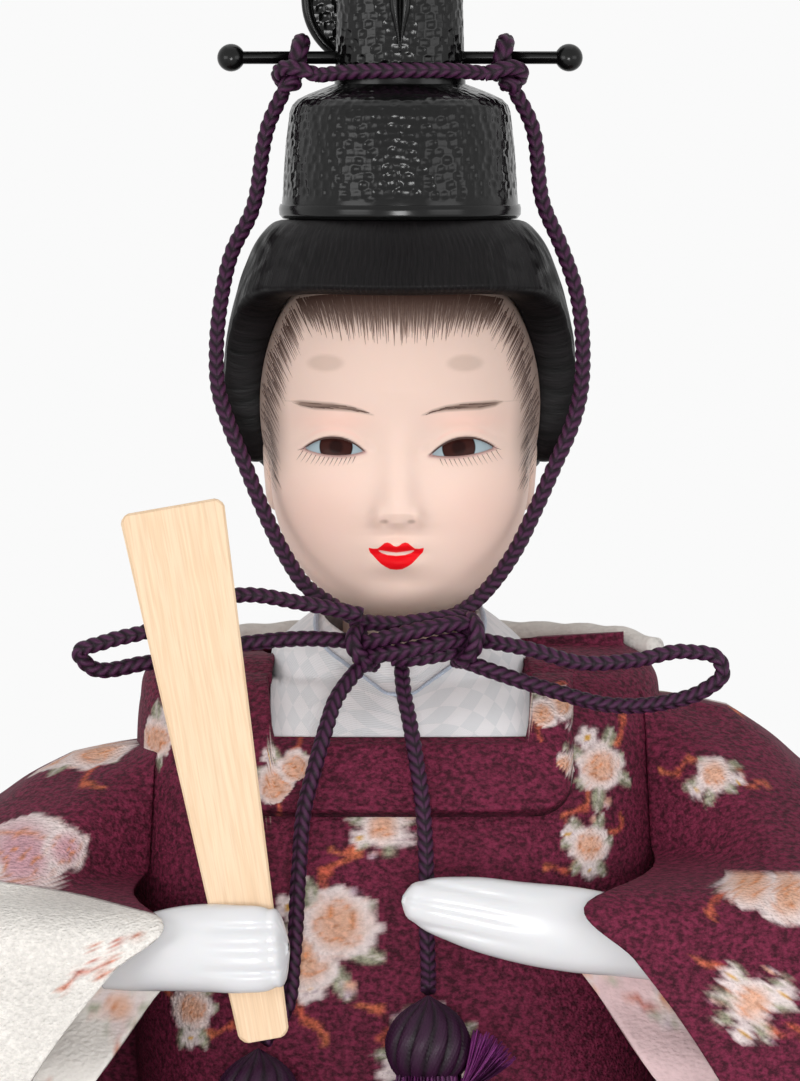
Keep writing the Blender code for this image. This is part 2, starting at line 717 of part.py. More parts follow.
def body_panel(name, start, end, low, high):
    """One robe panel: a sheet over the torso between two angles, thickened inwards."""
    columns = TORSO_STEPS // 2
    rows = []
    for z in torso_heights(low, high):
        half, front, back = torso_size(z)
        depth = back if end <= pi else front
        seam = asin(min(1, (SEAM_GAP / 2 / depth)) ** (TORSO_ROUNDNESS / 2))
        angles = [start + seam + (end - start - 2 * seam) * k / columns for k in range(columns + 1)]
        rows.append([torso_point(angle, z) for angle in angles])
    panel = mesh_object(name, loft(rows, capped=False, closed=False), CLOTHS["crepe"])
    face_away(panel, Vector((0, 0, (low + high) / 2)))
    solidify(panel, CLOTH)
    boolean(panel, well_cutter(f"{name}_well", FIT))


def face_away(obj, centre):
    """Turns an open sheet's faces away from a point inside it."""
    mesh = bmesh.new()
    mesh.from_mesh(obj.data)
    facing = 0
    for face in mesh.faces:
        facing += (face.calc_center_median() - centre).dot(face.normal) * face.calc_area()
    if facing < 0:
        bmesh.ops.reverse_faces(mesh, faces=mesh.faces)
        mesh.to_mesh(obj.data)
    mesh.free()


def collar_sheet(name, inset, rise, finish):
    """A funnel round the neck whose front drops to a V."""
    steps = 20
    rows = []
    foot = WELL_FLOOR_Z + FIT * 2
    levels = 3
    for level in range(levels + 1):
        share = level / levels
        row = []
        for k in range(steps):
            angle = 2 * pi * k / steps
            x = (COLLAR_HALF_WIDTH - inset) * cos(angle)
            slope = (COLLAR_SIDE_Z - COLLAR_V_Z) / COLLAR_HALF_WIDTH
            top = COLLAR_SIDE_Z + rise if sin(angle) > 0 else COLLAR_V_Z + slope * abs(x) + rise
            z = foot + (top - foot) * share
            lean = (z - foot) / (COLLAR_SIDE_Z - foot)
            front = COLLAR_FOOT_FRONT + (COLLAR_TOP_FRONT - COLLAR_FOOT_FRONT) * lean - inset
            back = COLLAR_BACK - inset
            middle = (back - front) / 2
            row.append(Vector((x, middle + (back + front) / 2 * sin(angle), z)))
        rows.append(row)
    sheet = mesh_object(name, loft(rows, capped=False), finish)
    face_away(sheet, Vector((0, 0, foot)))
    solidify(sheet, CLOTH)


def make_robe_collar():
    """The U-shaped band on the chest, following the chest's own curve."""
    arm = BAND_HALF_WIDTH - COLLAR_HALF_WIDTH
    height = BAND_TOP_Z - BAND_FOOT_Z
    columns = 16
    levels = 4
    rows = []
    for k in range(columns + 1):
        x = BAND_HALF_WIDTH * (2 * k / columns - 1)
        over = max(0.0, (abs(x) - (BAND_HALF_WIDTH - arm)) / arm)
        top = BAND_TOP_Z + (BAND_END_Z - BAND_TOP_Z) * min(1, over * 2)
        foot = BAND_FOOT_Z + height * 0.35 * over * over
        outer = [(x, foot + (top - foot) * level / levels) for level in range(levels + 1)]
        front = [Vector((x, torso_front_y(x, z) - FIT * 3 - BAND_THICKNESS, z)) for x, z in outer]
        rear = [Vector((x, torso_front_y(x, z) - FIT * 3, z)) for x, z in reversed(outer)]
        rows.append(front + rear)
    mesh_object("robe_collar", loft(rows), CLOTHS["crepe"])


def make_yoke():
    """The under robe's soft collar roll, laid on the shoulders round the back of the neck."""
    z = SHOULDER_Z + FIT + YOKE_RADIUS
    half = [
        (YOKE_HALF_WIDTH * across, YOKE_DEPTH * back, z + YOKE_RADIUS * rise)
        for across, back, rise in YOKE_SHARES
    ]
    route = smooth_points(half + [(-x, y, z) for x, y, z in reversed(half[:-1])], YOKE_STEP)
    last = len(route) - 1
    shares = [min(1, YOKE_END_SHARE + (1 - YOKE_END_SHARE) * min(k, last - k) / 2) for k in range(last + 1)]
    tube("under_robe_yoke", route, YOKE_RADIUS, CLOTHS["pale_crepe"], shares)


def make_belt():
    low, high = BELT_Z - BELT_HEIGHT / 2, BELT_Z + BELT_HEIGHT / 2
    outer, inner = -FIT * 2 - BELT_THICKNESS, -FIT * 2
    rings = [ring(torso_point, z, TORSO_STEPS, inset) for z, inset in
             ((low, inner), (low, outer), (high, outer), (high, inner), (low, inner))]
    mesh = loft(rings, capped=False)
    bmesh.ops.remove_doubles(mesh, verts=mesh.verts, dist=FIT / 100)
    mesh_object("waist_belt", mesh, CLOTHS["belt"])


def lap_sheet(name, inset, finish, keeps):
    """A piece of the lap's surface: what lies behind each of the given planes."""
    top = LAP_HEIGHT
    heights = [top * share for share, *_ in LAP_SHARES]
    rings = [ring(lap_point, z, LAP_STEPS, inset) for z in heights]
    mesh = loft(rings, capped=False)
    for place, normal in keeps:
        geometry = mesh.verts[:] + mesh.edges[:] + mesh.faces[:]
        bmesh.ops.bisect_plane(
            mesh, geom=geometry, dist=FIT / 100, plane_co=place, plane_no=normal, clear_outer=True
        )
    obj = mesh_object(name, mesh, finish)
    face_away(obj, Vector((0, 0, BOARD_THICKNESS)))
    solidify(obj, CLOTH)
    return obj


def make_lap():
    across = Vector((0, -1, -1)).normalized()
    edge = Vector((0, SKIRT_EDGE_Y, SKIRT_EDGE_Z))
    gap = across * FIT * 2
    hem_end = edge + across * HEM_WIDTH
    lap_sheet("skirt", 0, CLOTHS["crepe"], [(edge, across)])
    lap_sheet("hem_band", 0, CLOTHS["crepe"], [(edge + gap, -across), (hem_end, across)])
    tucked = edge - across * TUCK
    middle = Vector((FIT, 0, 0))
    inset = CLOTH + FIT * 2
    lap_sheet("left_hakama", inset, CLOTHS["trousers"], [(tucked, -across), (middle, Vector((-1, 0, 0)))])
    lap_sheet("right_hakama", inset, CLOTHS["trousers"], [(tucked, -across), (-middle, Vector((1, 0, 0)))])


def make_train():
    """The back panel, trailing from behind the skirt, with two soft folds."""
    columns = 12
    levels = 6
    start = lap_size(TRAIN_RISE)[2] + TRAIN_CLEARANCE
    rows = []
    for level in range(levels + 1):
        share = level / levels
        half = TRAIN_HALF_WIDTH + TRAIN_FLARE * share
        row = []
        for k in range(columns + 1):
            across = 2 * k / columns - 1
            fold = TRAIN_RISE / 4 * (1 + cos(2 * pi * across)) * share
            z = TRAIN_RISE * (1 - share) ** 2 + fold + CLOTH + FIT
            row.append(Vector((half * across, start + TRAIN_LENGTH * share, z)))
        rows.append(row)
    train = mesh_object("train", loft(rows, capped=False, closed=False), CLOTHS["crepe"])
    face_away(train, Vector((0, start, -OVERRUN)))
    solidify(train, CLOTH)


def sleeve_inner_x(z):
    """The nearest that a sleeve comes to the middle at a height: the side of the torso or of the lap."""
    side = torso_size(z)[0] if z > LAP_HEIGHT else lap_size(z)[0]
    return side + SLEEVE_SEAM


def smooth_row(points, columns):
    """An even row of points on a smooth curve through the given ones."""
    total = sum((b - a).length for a, b in zip(points, points[1:]))
    row = smooth_points(points, total / (columns - 1))
    return [row[min(k, len(row) - 1)] for k in range(columns)]


def sleeve_frame(row_shares):
    share, reach, cuff, front, back = row_shares
    z = SLEEVE_TOP_Z * share
    inner = sleeve_inner_x(z)
    return z, inner, SLEEVE_REACH * reach, SLEEVE_REACH * cuff, -SLEEVE_FRONT * front, SLEEVE_BACK * back


def sleeve_row(row_shares):
    """One level of the outer sleeve, from its back seam round the elbow to the cuff edge."""
    z, inner, outer, cuff, front, back = sleeve_frame(row_shares)
    cuff = max(cuff, inner + FIT) if z > SLEEVE_TOP_Z * 0.86 else cuff
    width = outer - inner
    points = [
        Vector((inner, back * 0.85, z)),
        Vector((inner + width * 0.45, back, z)),
        Vector((outer - width * 0.16, back * 0.70, z)),
        Vector((outer, back * 0.10 + front * 0.15, z)),
        Vector((outer - width * 0.14, front * 0.60, z)),
        Vector(((outer + cuff) / 2, front * 0.90, z)),
        Vector((cuff, front, z)),
    ]
    row = smooth_row(points, SLEEVE_COLUMNS)
    drape = max(0.0, 1 - z / (SLEEVE_TOP_Z * SLEEVE_FOLD_TOP))
    middle = Vector(((inner + outer) / 2, 0, z))
    for k, point in enumerate(row[:-1]):
        if k:
            share = k / (SLEEVE_COLUMNS - 1)
            push = SLEEVE_FOLD * drape * (1 - cos(2 * pi * SLEEVE_FOLDS * share))
            row[k] = point - (point - middle).normalized() * push
    return row


def rear_row(row_shares):
    """One level of the sleeve's rear layer, seen behind the cuff edge."""
    z, inner, outer, cuff, front, _ = sleeve_frame(row_shares)
    behind = front + REAR_BEHIND
    seam = sleeve_row(row_shares)[SLEEVE_COLUMNS * 11 // 16]
    inward = (Vector(((inner + outer) / 2, 0, z)) - seam).normalized()
    points = [
        Vector((cuff - REAR_REACH_X, behind, z)),
        Vector((cuff, behind + REAR_BEHIND / 8, z)),
        Vector(((outer + cuff) / 2, behind * 0.80, z)),
        seam + inward * (CLOTH * 2 + FIT * 2),
    ]
    return smooth_row(points, 7)


def mirrored_row(row, side):
    return [Vector((side * point.x, point.y, point.z)) for point in row]


def make_sleeve(word, side):
    rows = [mirrored_row(sleeve_row(shares), side) for shares in SLEEVE_SHARES]
    sleeve = mesh_object(f"{word}_sleeve", loft(rows, capped=False, closed=False), CLOTHS["crepe"])
    inside = Vector((side * ELBOW.x, 0, SLEEVE_TOP_Z / 2))
    face_away(sleeve, inside)
    solidify(sleeve, CLOTH)
    rows = [mirrored_row(rear_row(shares), side) for shares in SLEEVE_SHARES[REAR_TOP_ROW:]]
    rear = mesh_object(f"{word}_sleeve_inner", loft(rows, capped=False, closed=False), CLOTHS["pale_crepe"])
    face_away(rear, inside)
    solidify(rear, CLOTH)


def make_head():
    skull = mesh_object("head", ellipsoid(SKULL_CENTRE, SKULL_SIZE, 22, 14), FINISHES["skin"])
    neck = rod(NECK_RADIUS, (0, 0, NECK_FOOT_Z), (0, 0, JAW_CENTRE.z), 16)
    lumps = [
        ("jaw", ellipsoid(JAW_CENTRE, JAW_SIZE, 18, 12)),
        ("nose", ellipsoid(NOSE_CENTRE, NOSE_SIZE, 10, 6)),
        ("neck", neck),
        ("left_ear", ellipsoid(EAR_CENTRE, EAR_SIZE, 8, 6)),
        ("right_ear", ellipsoid(EAR_CENTRE * Vector((-1, 1, 1)), EAR_SIZE, 8, 6)),
    ]
    for name, mesh in lumps:
        boolean(skull, mesh_object(f"head_{name}", mesh, FINISHES["skin"], cutter=True), "UNION")
    socket_size = EYE_SIZE + Vector((FIT, FIT, FIT))
    for word, side in (("right", -1), ("left", 1)):
        centre = EYE_CENTRE * Vector((side, 1, 1))
        mesh_object(f"{word}_eye", ellipsoid(centre, EYE_SIZE, 12, 8), FINISHES["eye"])
        socket = ellipsoid(centre, socket_size, 12, 8)
        boolean(skull, mesh_object(f"{word}_socket", socket, FINISHES["skin"], cutter=True))
    top = NECK_FOOT_Z + PEG_IN_HEAD
    bore = rod(PEG_RADIUS + FIT, (0, 0, NECK_FOOT_Z - OVERRUN), (0, 0, top + FIT), 16)
    boolean(skull, mesh_object("head_bore", bore, FINISHES["skin"], cutter=True))
    peg = rod(PEG_RADIUS, (0, 0, NECK_FOOT_Z - PEG_IN_BODY), (0, 0, top), 16)
    mesh_object("neck_peg", peg, FINISHES["peg"])


def make_hair():
    profile = [(HAIR_HALF_WIDTH * width, HAIR_TOP_Z - HAIR_HEIGHT * drop) for drop, width in HAIR_SHARES]
    profile = [(0, HAIR_TOP_Z)] + profile + [(0, HAIR_TOP_Z - HAIR_HEIGHT)]
    hair = turned("hair", profile, FINISHES["hair"], HAIR_STEPS, HAIR_DEPTH_RATIO, (0, HAIR_CENTRE_Y, 0))
    room = Vector((FIT, FIT, FIT))
    spaces = [
        ("skull", ellipsoid(SKULL_CENTRE, SKULL_SIZE + room, 22, 14)),
        ("jaw", ellipsoid(JAW_CENTRE, JAW_SIZE + room, 18, 12)),
        ("left_ear", ellipsoid(EAR_CENTRE, EAR_SIZE + room, 8, 6)),
        ("right_ear", ellipsoid(EAR_CENTRE * Vector((-1, 1, 1)), EAR_SIZE + room, 8, 6)),
        ("neck", rod(NECK_RADIUS + FIT, (0, 0, NECK_FOOT_Z), (0, 0, JAW_CENTRE.z), 16)),
    ]
    outline = [
        (-TEMPLE_SHOULDER_X, HAIRLINE_Z), (-TEMPLE_X * 0.86, TEMPLE_SHOULDER_Z), (-TEMPLE_X, SIDEBURN_Z),
        (-HAIR_HALF_WIDTH - OVERRUN, SIDEBURN_Z), (-HAIR_HALF_WIDTH - OVERRUN, NECK_FOOT_Z),
        (HAIR_HALF_WIDTH + OVERRUN, NECK_FOOT_Z), (HAIR_HALF_WIDTH + OVERRUN, SIDEBURN_Z),
        (TEMPLE_X, SIDEBURN_Z), (TEMPLE_X * 0.86, TEMPLE_SHOULDER_Z), (TEMPLE_SHOULDER_X, HAIRLINE_Z),
    ]
    rings = [[Vector((x, y, z)) for x, z in outline] for y in (-HAIR_HALF_WIDTH - OVERRUN, FACE_OPEN_Y)]
    spaces.append(("face", loft(rings)))
    below = box((-HAIR_HALF_WIDTH - OVERRUN, -HAIR_HALF_WIDTH - OVERRUN, NECK_FOOT_Z),
                (HAIR_HALF_WIDTH + OVERRUN, SIDEBURN_BACK_Y, SIDEBURN_Z))
    spaces.append(("below", below))
    for name, mesh in spaces:
        boolean(hair, mesh_object(f"hair_{name}", mesh, FINISHES["hair"], cutter=True))


def make_crown():
    centre = (0, CROWN_CENTRE_Y, 0)
    rim_foot = HAIR_TOP_Z + FIT
    rim_top = rim_foot + RIM_HEIGHT
    inner = RIM_HALF_WIDTH - RIM_WIDTH
    profile = [(inner, rim_foot), (inner, rim_top), (RIM_HALF_WIDTH, rim_top), (RIM_HALF_WIDTH, rim_foot),
               (inner, rim_foot)]
    turned("crown_rim", profile, FINISHES["lacquer"], CROWN_STEPS, CROWN_DEPTH_RATIO, centre)
    cap_foot = rim_top + FIT
    shoulder = CAP_TOP_Z - CAP_SHOULDER_Z
    outside = [(CAP_HOLE_RADIUS, CAP_TOP_Z)]
    steps = 5
    for k in range(steps + 1):
        angle = pi / 2 * k / steps
        outside.append((TOWER_HALF_WIDTH + (CAP_SHOULDER_HALF_WIDTH - TOWER_HALF_WIDTH) * sin(angle),
                        CAP_SHOULDER_Z + shoulder * cos(angle)))
    outside.append((CAP_HALF_WIDTH, cap_foot))
    inside = [(radius - CAP_WALL, z - CAP_WALL) for radius, z in reversed(outside[1:-1])]
    profile = outside + [(CAP_HALF_WIDTH - CAP_WALL, cap_foot)] + inside
    profile += [(CAP_HOLE_RADIUS, CAP_TOP_Z - CAP_WALL), (CAP_HOLE_RADIUS, CAP_TOP_Z)]
    turned("crown_cap", profile, FINISHES["lacquer"], CROWN_STEPS, CROWN_DEPTH_RATIO, centre)
    foot = CAP_TOP_Z + FIT
    wall = TOWER_WALL
    profile = [(0, TOWER_TOP_Z), (TOWER_TOP_HALF_WIDTH - wall, TOWER_TOP_Z),
               (TOWER_TOP_HALF_WIDTH, TOWER_TOP_Z - wall), (TOWER_HALF_WIDTH, foot),
               (TOWER_HALF_WIDTH - wall, foot), (TOWER_TOP_HALF_WIDTH - wall, TOWER_TOP_Z - wall * 2),
               (0, TOWER_TOP_Z - wall * 2)]
    tower = turned("crown_tower", profile, FINISHES["lacquer"], CROWN_STEPS, TOWER_DEPTH_RATIO, centre)
    topknot_top = rim_foot + (TOWER_TOP_Z - rim_foot) * TOPKNOT_RISE_SHARE
    topknot = rod(TOPKNOT_RADIUS, (0, CROWN_CENTRE_Y, rim_foot), (0, CROWN_CENTRE_Y, topknot_top), 16)
    topknot = mesh_object("topknot", topknot, FINISHES["hair"])
    reach = TOWER_HALF_WIDTH + OVERRUN
    hole = rod(PIN_RADIUS + FIT, (-reach, CROWN_CENTRE_Y, PIN_Z), (reach, CROWN_CENTRE_Y, PIN_Z), 12)
    hole = mesh_object("pin_hole", hole, FINISHES["lacquer"], cutter=True)
    boolean(tower, hole)
    boolean(topknot, hole)
    make_ridge(foot)


def tower_front_y(z):
    foot = CAP_TOP_Z + FIT
    share = (z - foot) / (TOWER_TOP_Z - foot)
    half = TOWER_HALF_WIDTH + (TOWER_TOP_HALF_WIDTH - TOWER_HALF_WIDTH) * share
    return CROWN_CENTRE_Y - half * TOWER_DEPTH_RATIO


def make_ridge(foot):
    """The folded crease up the tower's front, pointed at its foot."""
    half = RIDGE_WIDTH / 2
    rings = []
    levels = [(RIDGE_FOOT_Z, 0.25), (RIDGE_FOOT_Z + RIDGE_WIDTH * 2, 1), (TOWER_TOP_Z - TOWER_WALL, 1)]
    section = [(-1, 0), (-0.8, 1), (0, 0.5), (0.8, 1), (1, 0)]
    for z, share in levels:
        rear = tower_front_y(z) - FIT
        rings.append([
            Vector((half * share * across, rear - RIDGE_DEPTH * share * out, z)) for across, out in section
        ])
    mesh_object("crown_ridge", loft(rings), FINISHES["lacquer"])


def make_pin():
    """The bar and its two ball ends, turned in one piece about its own length."""
    steps = 6
    start = asin(PIN_RADIUS / PIN_BALL_RADIUS)
    end = [(PIN_BALL_RADIUS * sin(angle), PIN_BALL_RADIUS * cos(angle))
           for angle in [(pi - start) * k / steps for k in range(steps + 1)]]
    upper = [(radius, PIN_BALL_X + height) for radius, height in end]
    lower = [(radius, -height) for radius, height in reversed(upper)]
    pin = turned("crown_pin", upper + lower, FINISHES["lacquer"], 14)
    pin.location = (0, CROWN_CENTRE_Y, PIN_Z)
    pin.rotation_euler.y = pi / 2


def make_tail():
    """The standing tail: a plate in a rolled rim, its foot between the socket's cheeks behind the tower."""
    rear = CROWN_CENTRE_Y + TOWER_HALF_WIDTH * TOWER_DEPTH_RATIO + FIT
    middle_y = rear + SOCKET_DEPTH / 2
    half = TAIL_HALF_WIDTH
    slot = Vector((SOCKET_WIDTH / 2 + OVERRUN, TAIL_PLATE / 2 + FIT, 0))
    top = SOCKET_FOOT_Z + SOCKET_HEIGHT
    socket = box((TAIL_OFFSET_X - SOCKET_WIDTH / 2, rear, SOCKET_FOOT_Z),
                 (TAIL_OFFSET_X + SOCKET_WIDTH / 2, rear + SOCKET_DEPTH, top))
    socket = mesh_object("tail_socket", socket, FINISHES["lacquer"])
    cut = box((TAIL_OFFSET_X - slot.x, middle_y - slot.y, SOCKET_FOOT_Z + TAIL_PLATE),
              (TAIL_OFFSET_X + slot.x, middle_y + slot.y, top + OVERRUN))
    boolean(socket, mesh_object("socket_slot", cut, FINISHES["lacquer"], cutter=True))
    steps = 10
    inner = half - TAIL_RIM_RADIUS - FIT
    ring_top = TAIL_FOOT_Z + TAIL_HEIGHT - half
    ring_foot = TAIL_FOOT_Z + half
    turns = [pi * k / steps for k in range(steps + 1)]
    outline = [(inner * cos(turn), ring_top + inner * sin(turn)) for turn in turns]
    foot_arc = [(-inner * cos(turn), ring_foot - inner * sin(turn)) for turn in turns]
    tongue = TAIL_TONGUE_WIDTH / 2
    root = ring_foot - (inner ** 2 - tongue ** 2) ** 0.5
    tongue_foot = SOCKET_FOOT_Z + TAIL_PLATE + FIT
    left = [point for point in foot_arc if point[0] < -tongue]
    right = [point for point in foot_arc if point[0] > tongue]
    outline += left + [(-tongue, root), (-tongue, tongue_foot), (tongue, tongue_foot), (tongue, root)]
    panel = plate("tail_panel", outline + right, TAIL_PLATE, FINISHES["lacquer"])
    panel.location = (TAIL_OFFSET_X, middle_y, 0)
    panel.rotation_euler.x = pi / 2
    gap = asin((SOCKET_WIDTH / 2 + TAIL_RIM_RADIUS + FIT) / half)
    start, end = gap - pi / 2, 1.5 * pi - gap
    count = 20
    rim = []
    for k in range(count + 1):
        angle = start + (end - start) * k / count
        centre = ring_top if sin(angle) > 0 else ring_foot
        rim.append(Vector((TAIL_OFFSET_X + half * cos(angle), middle_y, centre + half * sin(angle))))
    tube("tail_rim", rim, TAIL_RIM_RADIUS, FINISHES["lacquer"], resolution=1)


def make_cords():
    cords = [
        ("front_cord", FRONT_CORD), ("right_side_cord", RIGHT_SIDE_CORD), ("left_side_cord", LEFT_SIDE_CORD),
        ("right_bow_loop", RIGHT_BOW), ("left_bow_loop", LEFT_BOW),
        ("right_hanging_cord", RIGHT_HANGING_CORD), ("left_hanging_cord", LEFT_HANGING_CORD),
    ]
    for name, route in cords:
        tube(name, smooth_points(route, CORD_STEP), CORD_RADIUS, FINISHES["cord"])
    mesh_object("chin_knot", ellipsoid(CHIN_KNOT_CENTRE, CHIN_KNOT_SIZE, 16, 10), FINISHES["cord"])
    for word, side in (("right", -1), ("left", 1)):
        centre = (side * KNOT_X, CROWN_CENTRE_Y, PIN_Z - KNOT_DROP)
        knot = mesh_object(f"{word}_pin_knot", ellipsoid(centre, KNOT_SIZE, 12, 8), FINISHES["cord"])
        reach = PIN_BALL_X
        bore = rod(PIN_RADIUS + FIT, (-reach, CROWN_CENTRE_Y, PIN_Z), (reach, CROWN_CENTRE_Y, PIN_Z), 12)
        boolean(knot, mesh_object(f"{word}_knot_bore", bore, FINISHES["cord"], cutter=True))


def make_tassel(word, top):
    """A netted head, a drawn-in neck and a loose fringe, with a thread band round the neck."""
    radius = TASSEL_RADIUS
    neck_top = TASSEL_HEAD
    neck_foot = neck_top + TASSEL_BAND_HEIGHT + FIT * 2
    profile = [(0, 0), (CORD_RADIUS, 0), (radius * 0.55, -radius * 0.3), (radius * 0.9, -radius * 0.75),
               (radius, -TASSEL_HEAD * 0.6), (radius * 0.93, -TASSEL_HEAD * 0.88), (TASSEL_NECK, -neck_top),
               (TASSEL_NECK, -neck_foot), (radius * 0.94, -neck_foot - radius * 0.4),
               (radius * 1.04, -TASSEL_LENGTH * 0.7), (radius, -TASSEL_LENGTH), (0, -TASSEL_LENGTH)]
    turned(f"{word}_tassel", profile, FINISHES["tassel"], TASSEL_STEPS, 1.0, top)
    inner = TASSEL_NECK + FIT
    outer = inner + TASSEL_BAND_THICKNESS
    low, high = -neck_foot + FIT, -neck_top - FIT
    band = [(inner, low), (inner, high), (outer, high), (outer, low), (inner, low)]
    turned(f"{word}_tassel_band", band, FINISHES["tassel"], TASSEL_STEPS, 1.0, top)


def shaku_frame():
    """Where the sceptre stands: its foot, and its own X across, Y forward and Z along its length."""
    rise = (SHAKU_LENGTH ** 2 - SHAKU_LEAN_X ** 2) ** 0.5
    return Matrix.Translation(SHAKU_FOOT) @ Matrix.Rotation(-atan2(SHAKU_LEAN_X, rise), 4, "Y")


def make_shaku():
    foot, head, cut = SHAKU_FOOT_WIDTH / 2, SHAKU_TOP_WIDTH / 2, SHAKU_CHAMFER
    outline = [(foot - cut, 0), (foot, cut), (head, SHAKU_LENGTH - cut), (head - cut, SHAKU_LENGTH),
               (cut - head, SHAKU_LENGTH), (-head, SHAKU_LENGTH - cut), (-foot, cut), (cut - foot, 0)]
    shaku = plate("shaku", outline, SHAKU_THICKNESS, FINISHES["wood"])
    shaku.matrix_world = shaku_frame() @ Matrix.Rotation(pi / 2, 4, "X")
    weld = shaku.modifiers.new("weld", "WELD")
    weld.merge_threshold = FIT / 10
    bevel = shaku.modifiers.new("round", "BEVEL")
    bevel.width = SHAKU_ROUNDING
    bevel.segments = 1


def hand_mesh(start, end, half_height, half_thickness, shares, steps=14):
    """A hand as a loft of flattened rings, each square to the line of the hand."""
    rings = []
    along = (end - start).normalized()
    length = (end - start).length
    upright = (Vector((0, 0, 1)) - along * along.z).normalized()
    across = along.cross(upright)
    for place, forward, up, tall, thick in shares:
        centre = start.lerp(end, place) + Vector((0, -forward * length, up * length))
        height, width = upright * half_height * tall, across * half_thickness * thick
        rings.append([centre + height * cos(2 * pi * k / steps) + width * sin(2 * pi * k / steps)
                      for k in range(steps)])
    return loft(rings)


def make_hands(wire):
    mesh = hand_mesh(
        RIGHT_WRIST_END, RIGHT_FINGER_END,
        RIGHT_HAND_HALF_HEIGHT, RIGHT_HAND_HALF_THICKNESS, RIGHT_HAND_SHARES,
    )
    right = mesh_object("right_hand", mesh, FINISHES["hand"])
    thumb = rod(THUMB_RADIUS, THUMB_ROOT, THUMB_TIP, 12)
    boolean(right, mesh_object("thumb", thumb, FINISHES["hand"], cutter=True), "UNION")
    half = SHAKU_THICKNESS / 2 + FIT
    slot = box((-SHAKU_TOP_WIDTH / 2 + CORD_RADIUS, -half, 0),
               (SHAKU_TOP_WIDTH, half, SHAKU_LENGTH))
    slot = mesh_object("shaku_slot", slot, FINISHES["hand"], cutter=True)
    slot.matrix_world = shaku_frame()
    boolean(right, slot)
    boolean(right, wire)
    mesh = hand_mesh(
        LEFT_WRIST_END, LEFT_FINGER_END,
        LEFT_HAND_HALF_HEIGHT, LEFT_HAND_HALF_THICKNESS, LEFT_HAND_SHARES,
    )
    left = mesh_object("left_hand", mesh, FINISHES["hand"])
    boolean(left, wire)


def main():
    make_seat_board()
    channel = wire_channel("wire_channel", FIT)
    make_body_core(channel)
    as_mesh(tube("arm_wire", arm_wire_route(), WIRE_RADIUS, CLOTHS["wire"], resolution=1))
    for word, side in (("right", -1), ("left", 1)):
        make_leg_roll(word, side)
        make_arm(word, side, channel)
        make_sleeve(word, side)
    body_panel("robe_back", 0, pi, ROBE_HEM_Z, SHOULDER_Z)
    body_panel("robe_front", pi, 2 * pi, ROBE_HEM_Z, SHOULDER_Z)
    collar_sheet("inner_collar", 0, 0, CLOTHS["white_silk"])
    collar_sheet("collar_lining", CLOTH + FIT * 2, LINING_RISE, CLOTHS["grey_edge"])
    make_robe_collar()
    make_yoke()
    make_belt()
    make_lap()
    make_train()
    make_head()
    make_hair()
    make_crown()
    make_pin()
    make_tail()
    make_cords()
    make_tassel("right", RIGHT_TASSEL_TOP)
    make_tassel("left", LEFT_TASSEL_TOP)
    make_shaku()
    make_hands(channel)


main()
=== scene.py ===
"""Seated emperor doll of a hina set, dressed in printed crepe and lit on white.

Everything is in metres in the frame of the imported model: +Z is up and the doll faces -Y.
"""

import logging
from dataclasses import dataclass
from enum import Enum
from math import cos, pi, radians, sin
from typing import Callable, Sequence

import bmesh
import bpy
import numpy as np
from mathutils import Matrix, Vector

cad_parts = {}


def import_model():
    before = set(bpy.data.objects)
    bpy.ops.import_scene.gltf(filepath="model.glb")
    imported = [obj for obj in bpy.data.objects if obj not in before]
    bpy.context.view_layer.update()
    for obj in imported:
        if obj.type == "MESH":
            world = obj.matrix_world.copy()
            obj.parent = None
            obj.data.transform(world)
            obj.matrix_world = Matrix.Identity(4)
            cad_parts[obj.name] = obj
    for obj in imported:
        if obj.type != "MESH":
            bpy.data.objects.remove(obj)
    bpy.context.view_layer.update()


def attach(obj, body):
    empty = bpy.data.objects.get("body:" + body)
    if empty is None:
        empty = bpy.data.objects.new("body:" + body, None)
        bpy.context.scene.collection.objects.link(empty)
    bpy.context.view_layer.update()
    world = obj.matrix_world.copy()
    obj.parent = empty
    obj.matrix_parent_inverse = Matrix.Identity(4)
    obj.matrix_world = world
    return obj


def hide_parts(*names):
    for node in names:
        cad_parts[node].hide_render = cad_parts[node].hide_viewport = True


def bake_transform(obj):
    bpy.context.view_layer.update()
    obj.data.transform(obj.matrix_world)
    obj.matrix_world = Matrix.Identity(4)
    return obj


LOG = logging.getLogger("hina_doll")
MM = 0.001
MERGE = 0.002 * MM
Points = np.ndarray
Numbers = np.ndarray | float
Place = Callable[[np.ndarray, np.ndarray], Points]


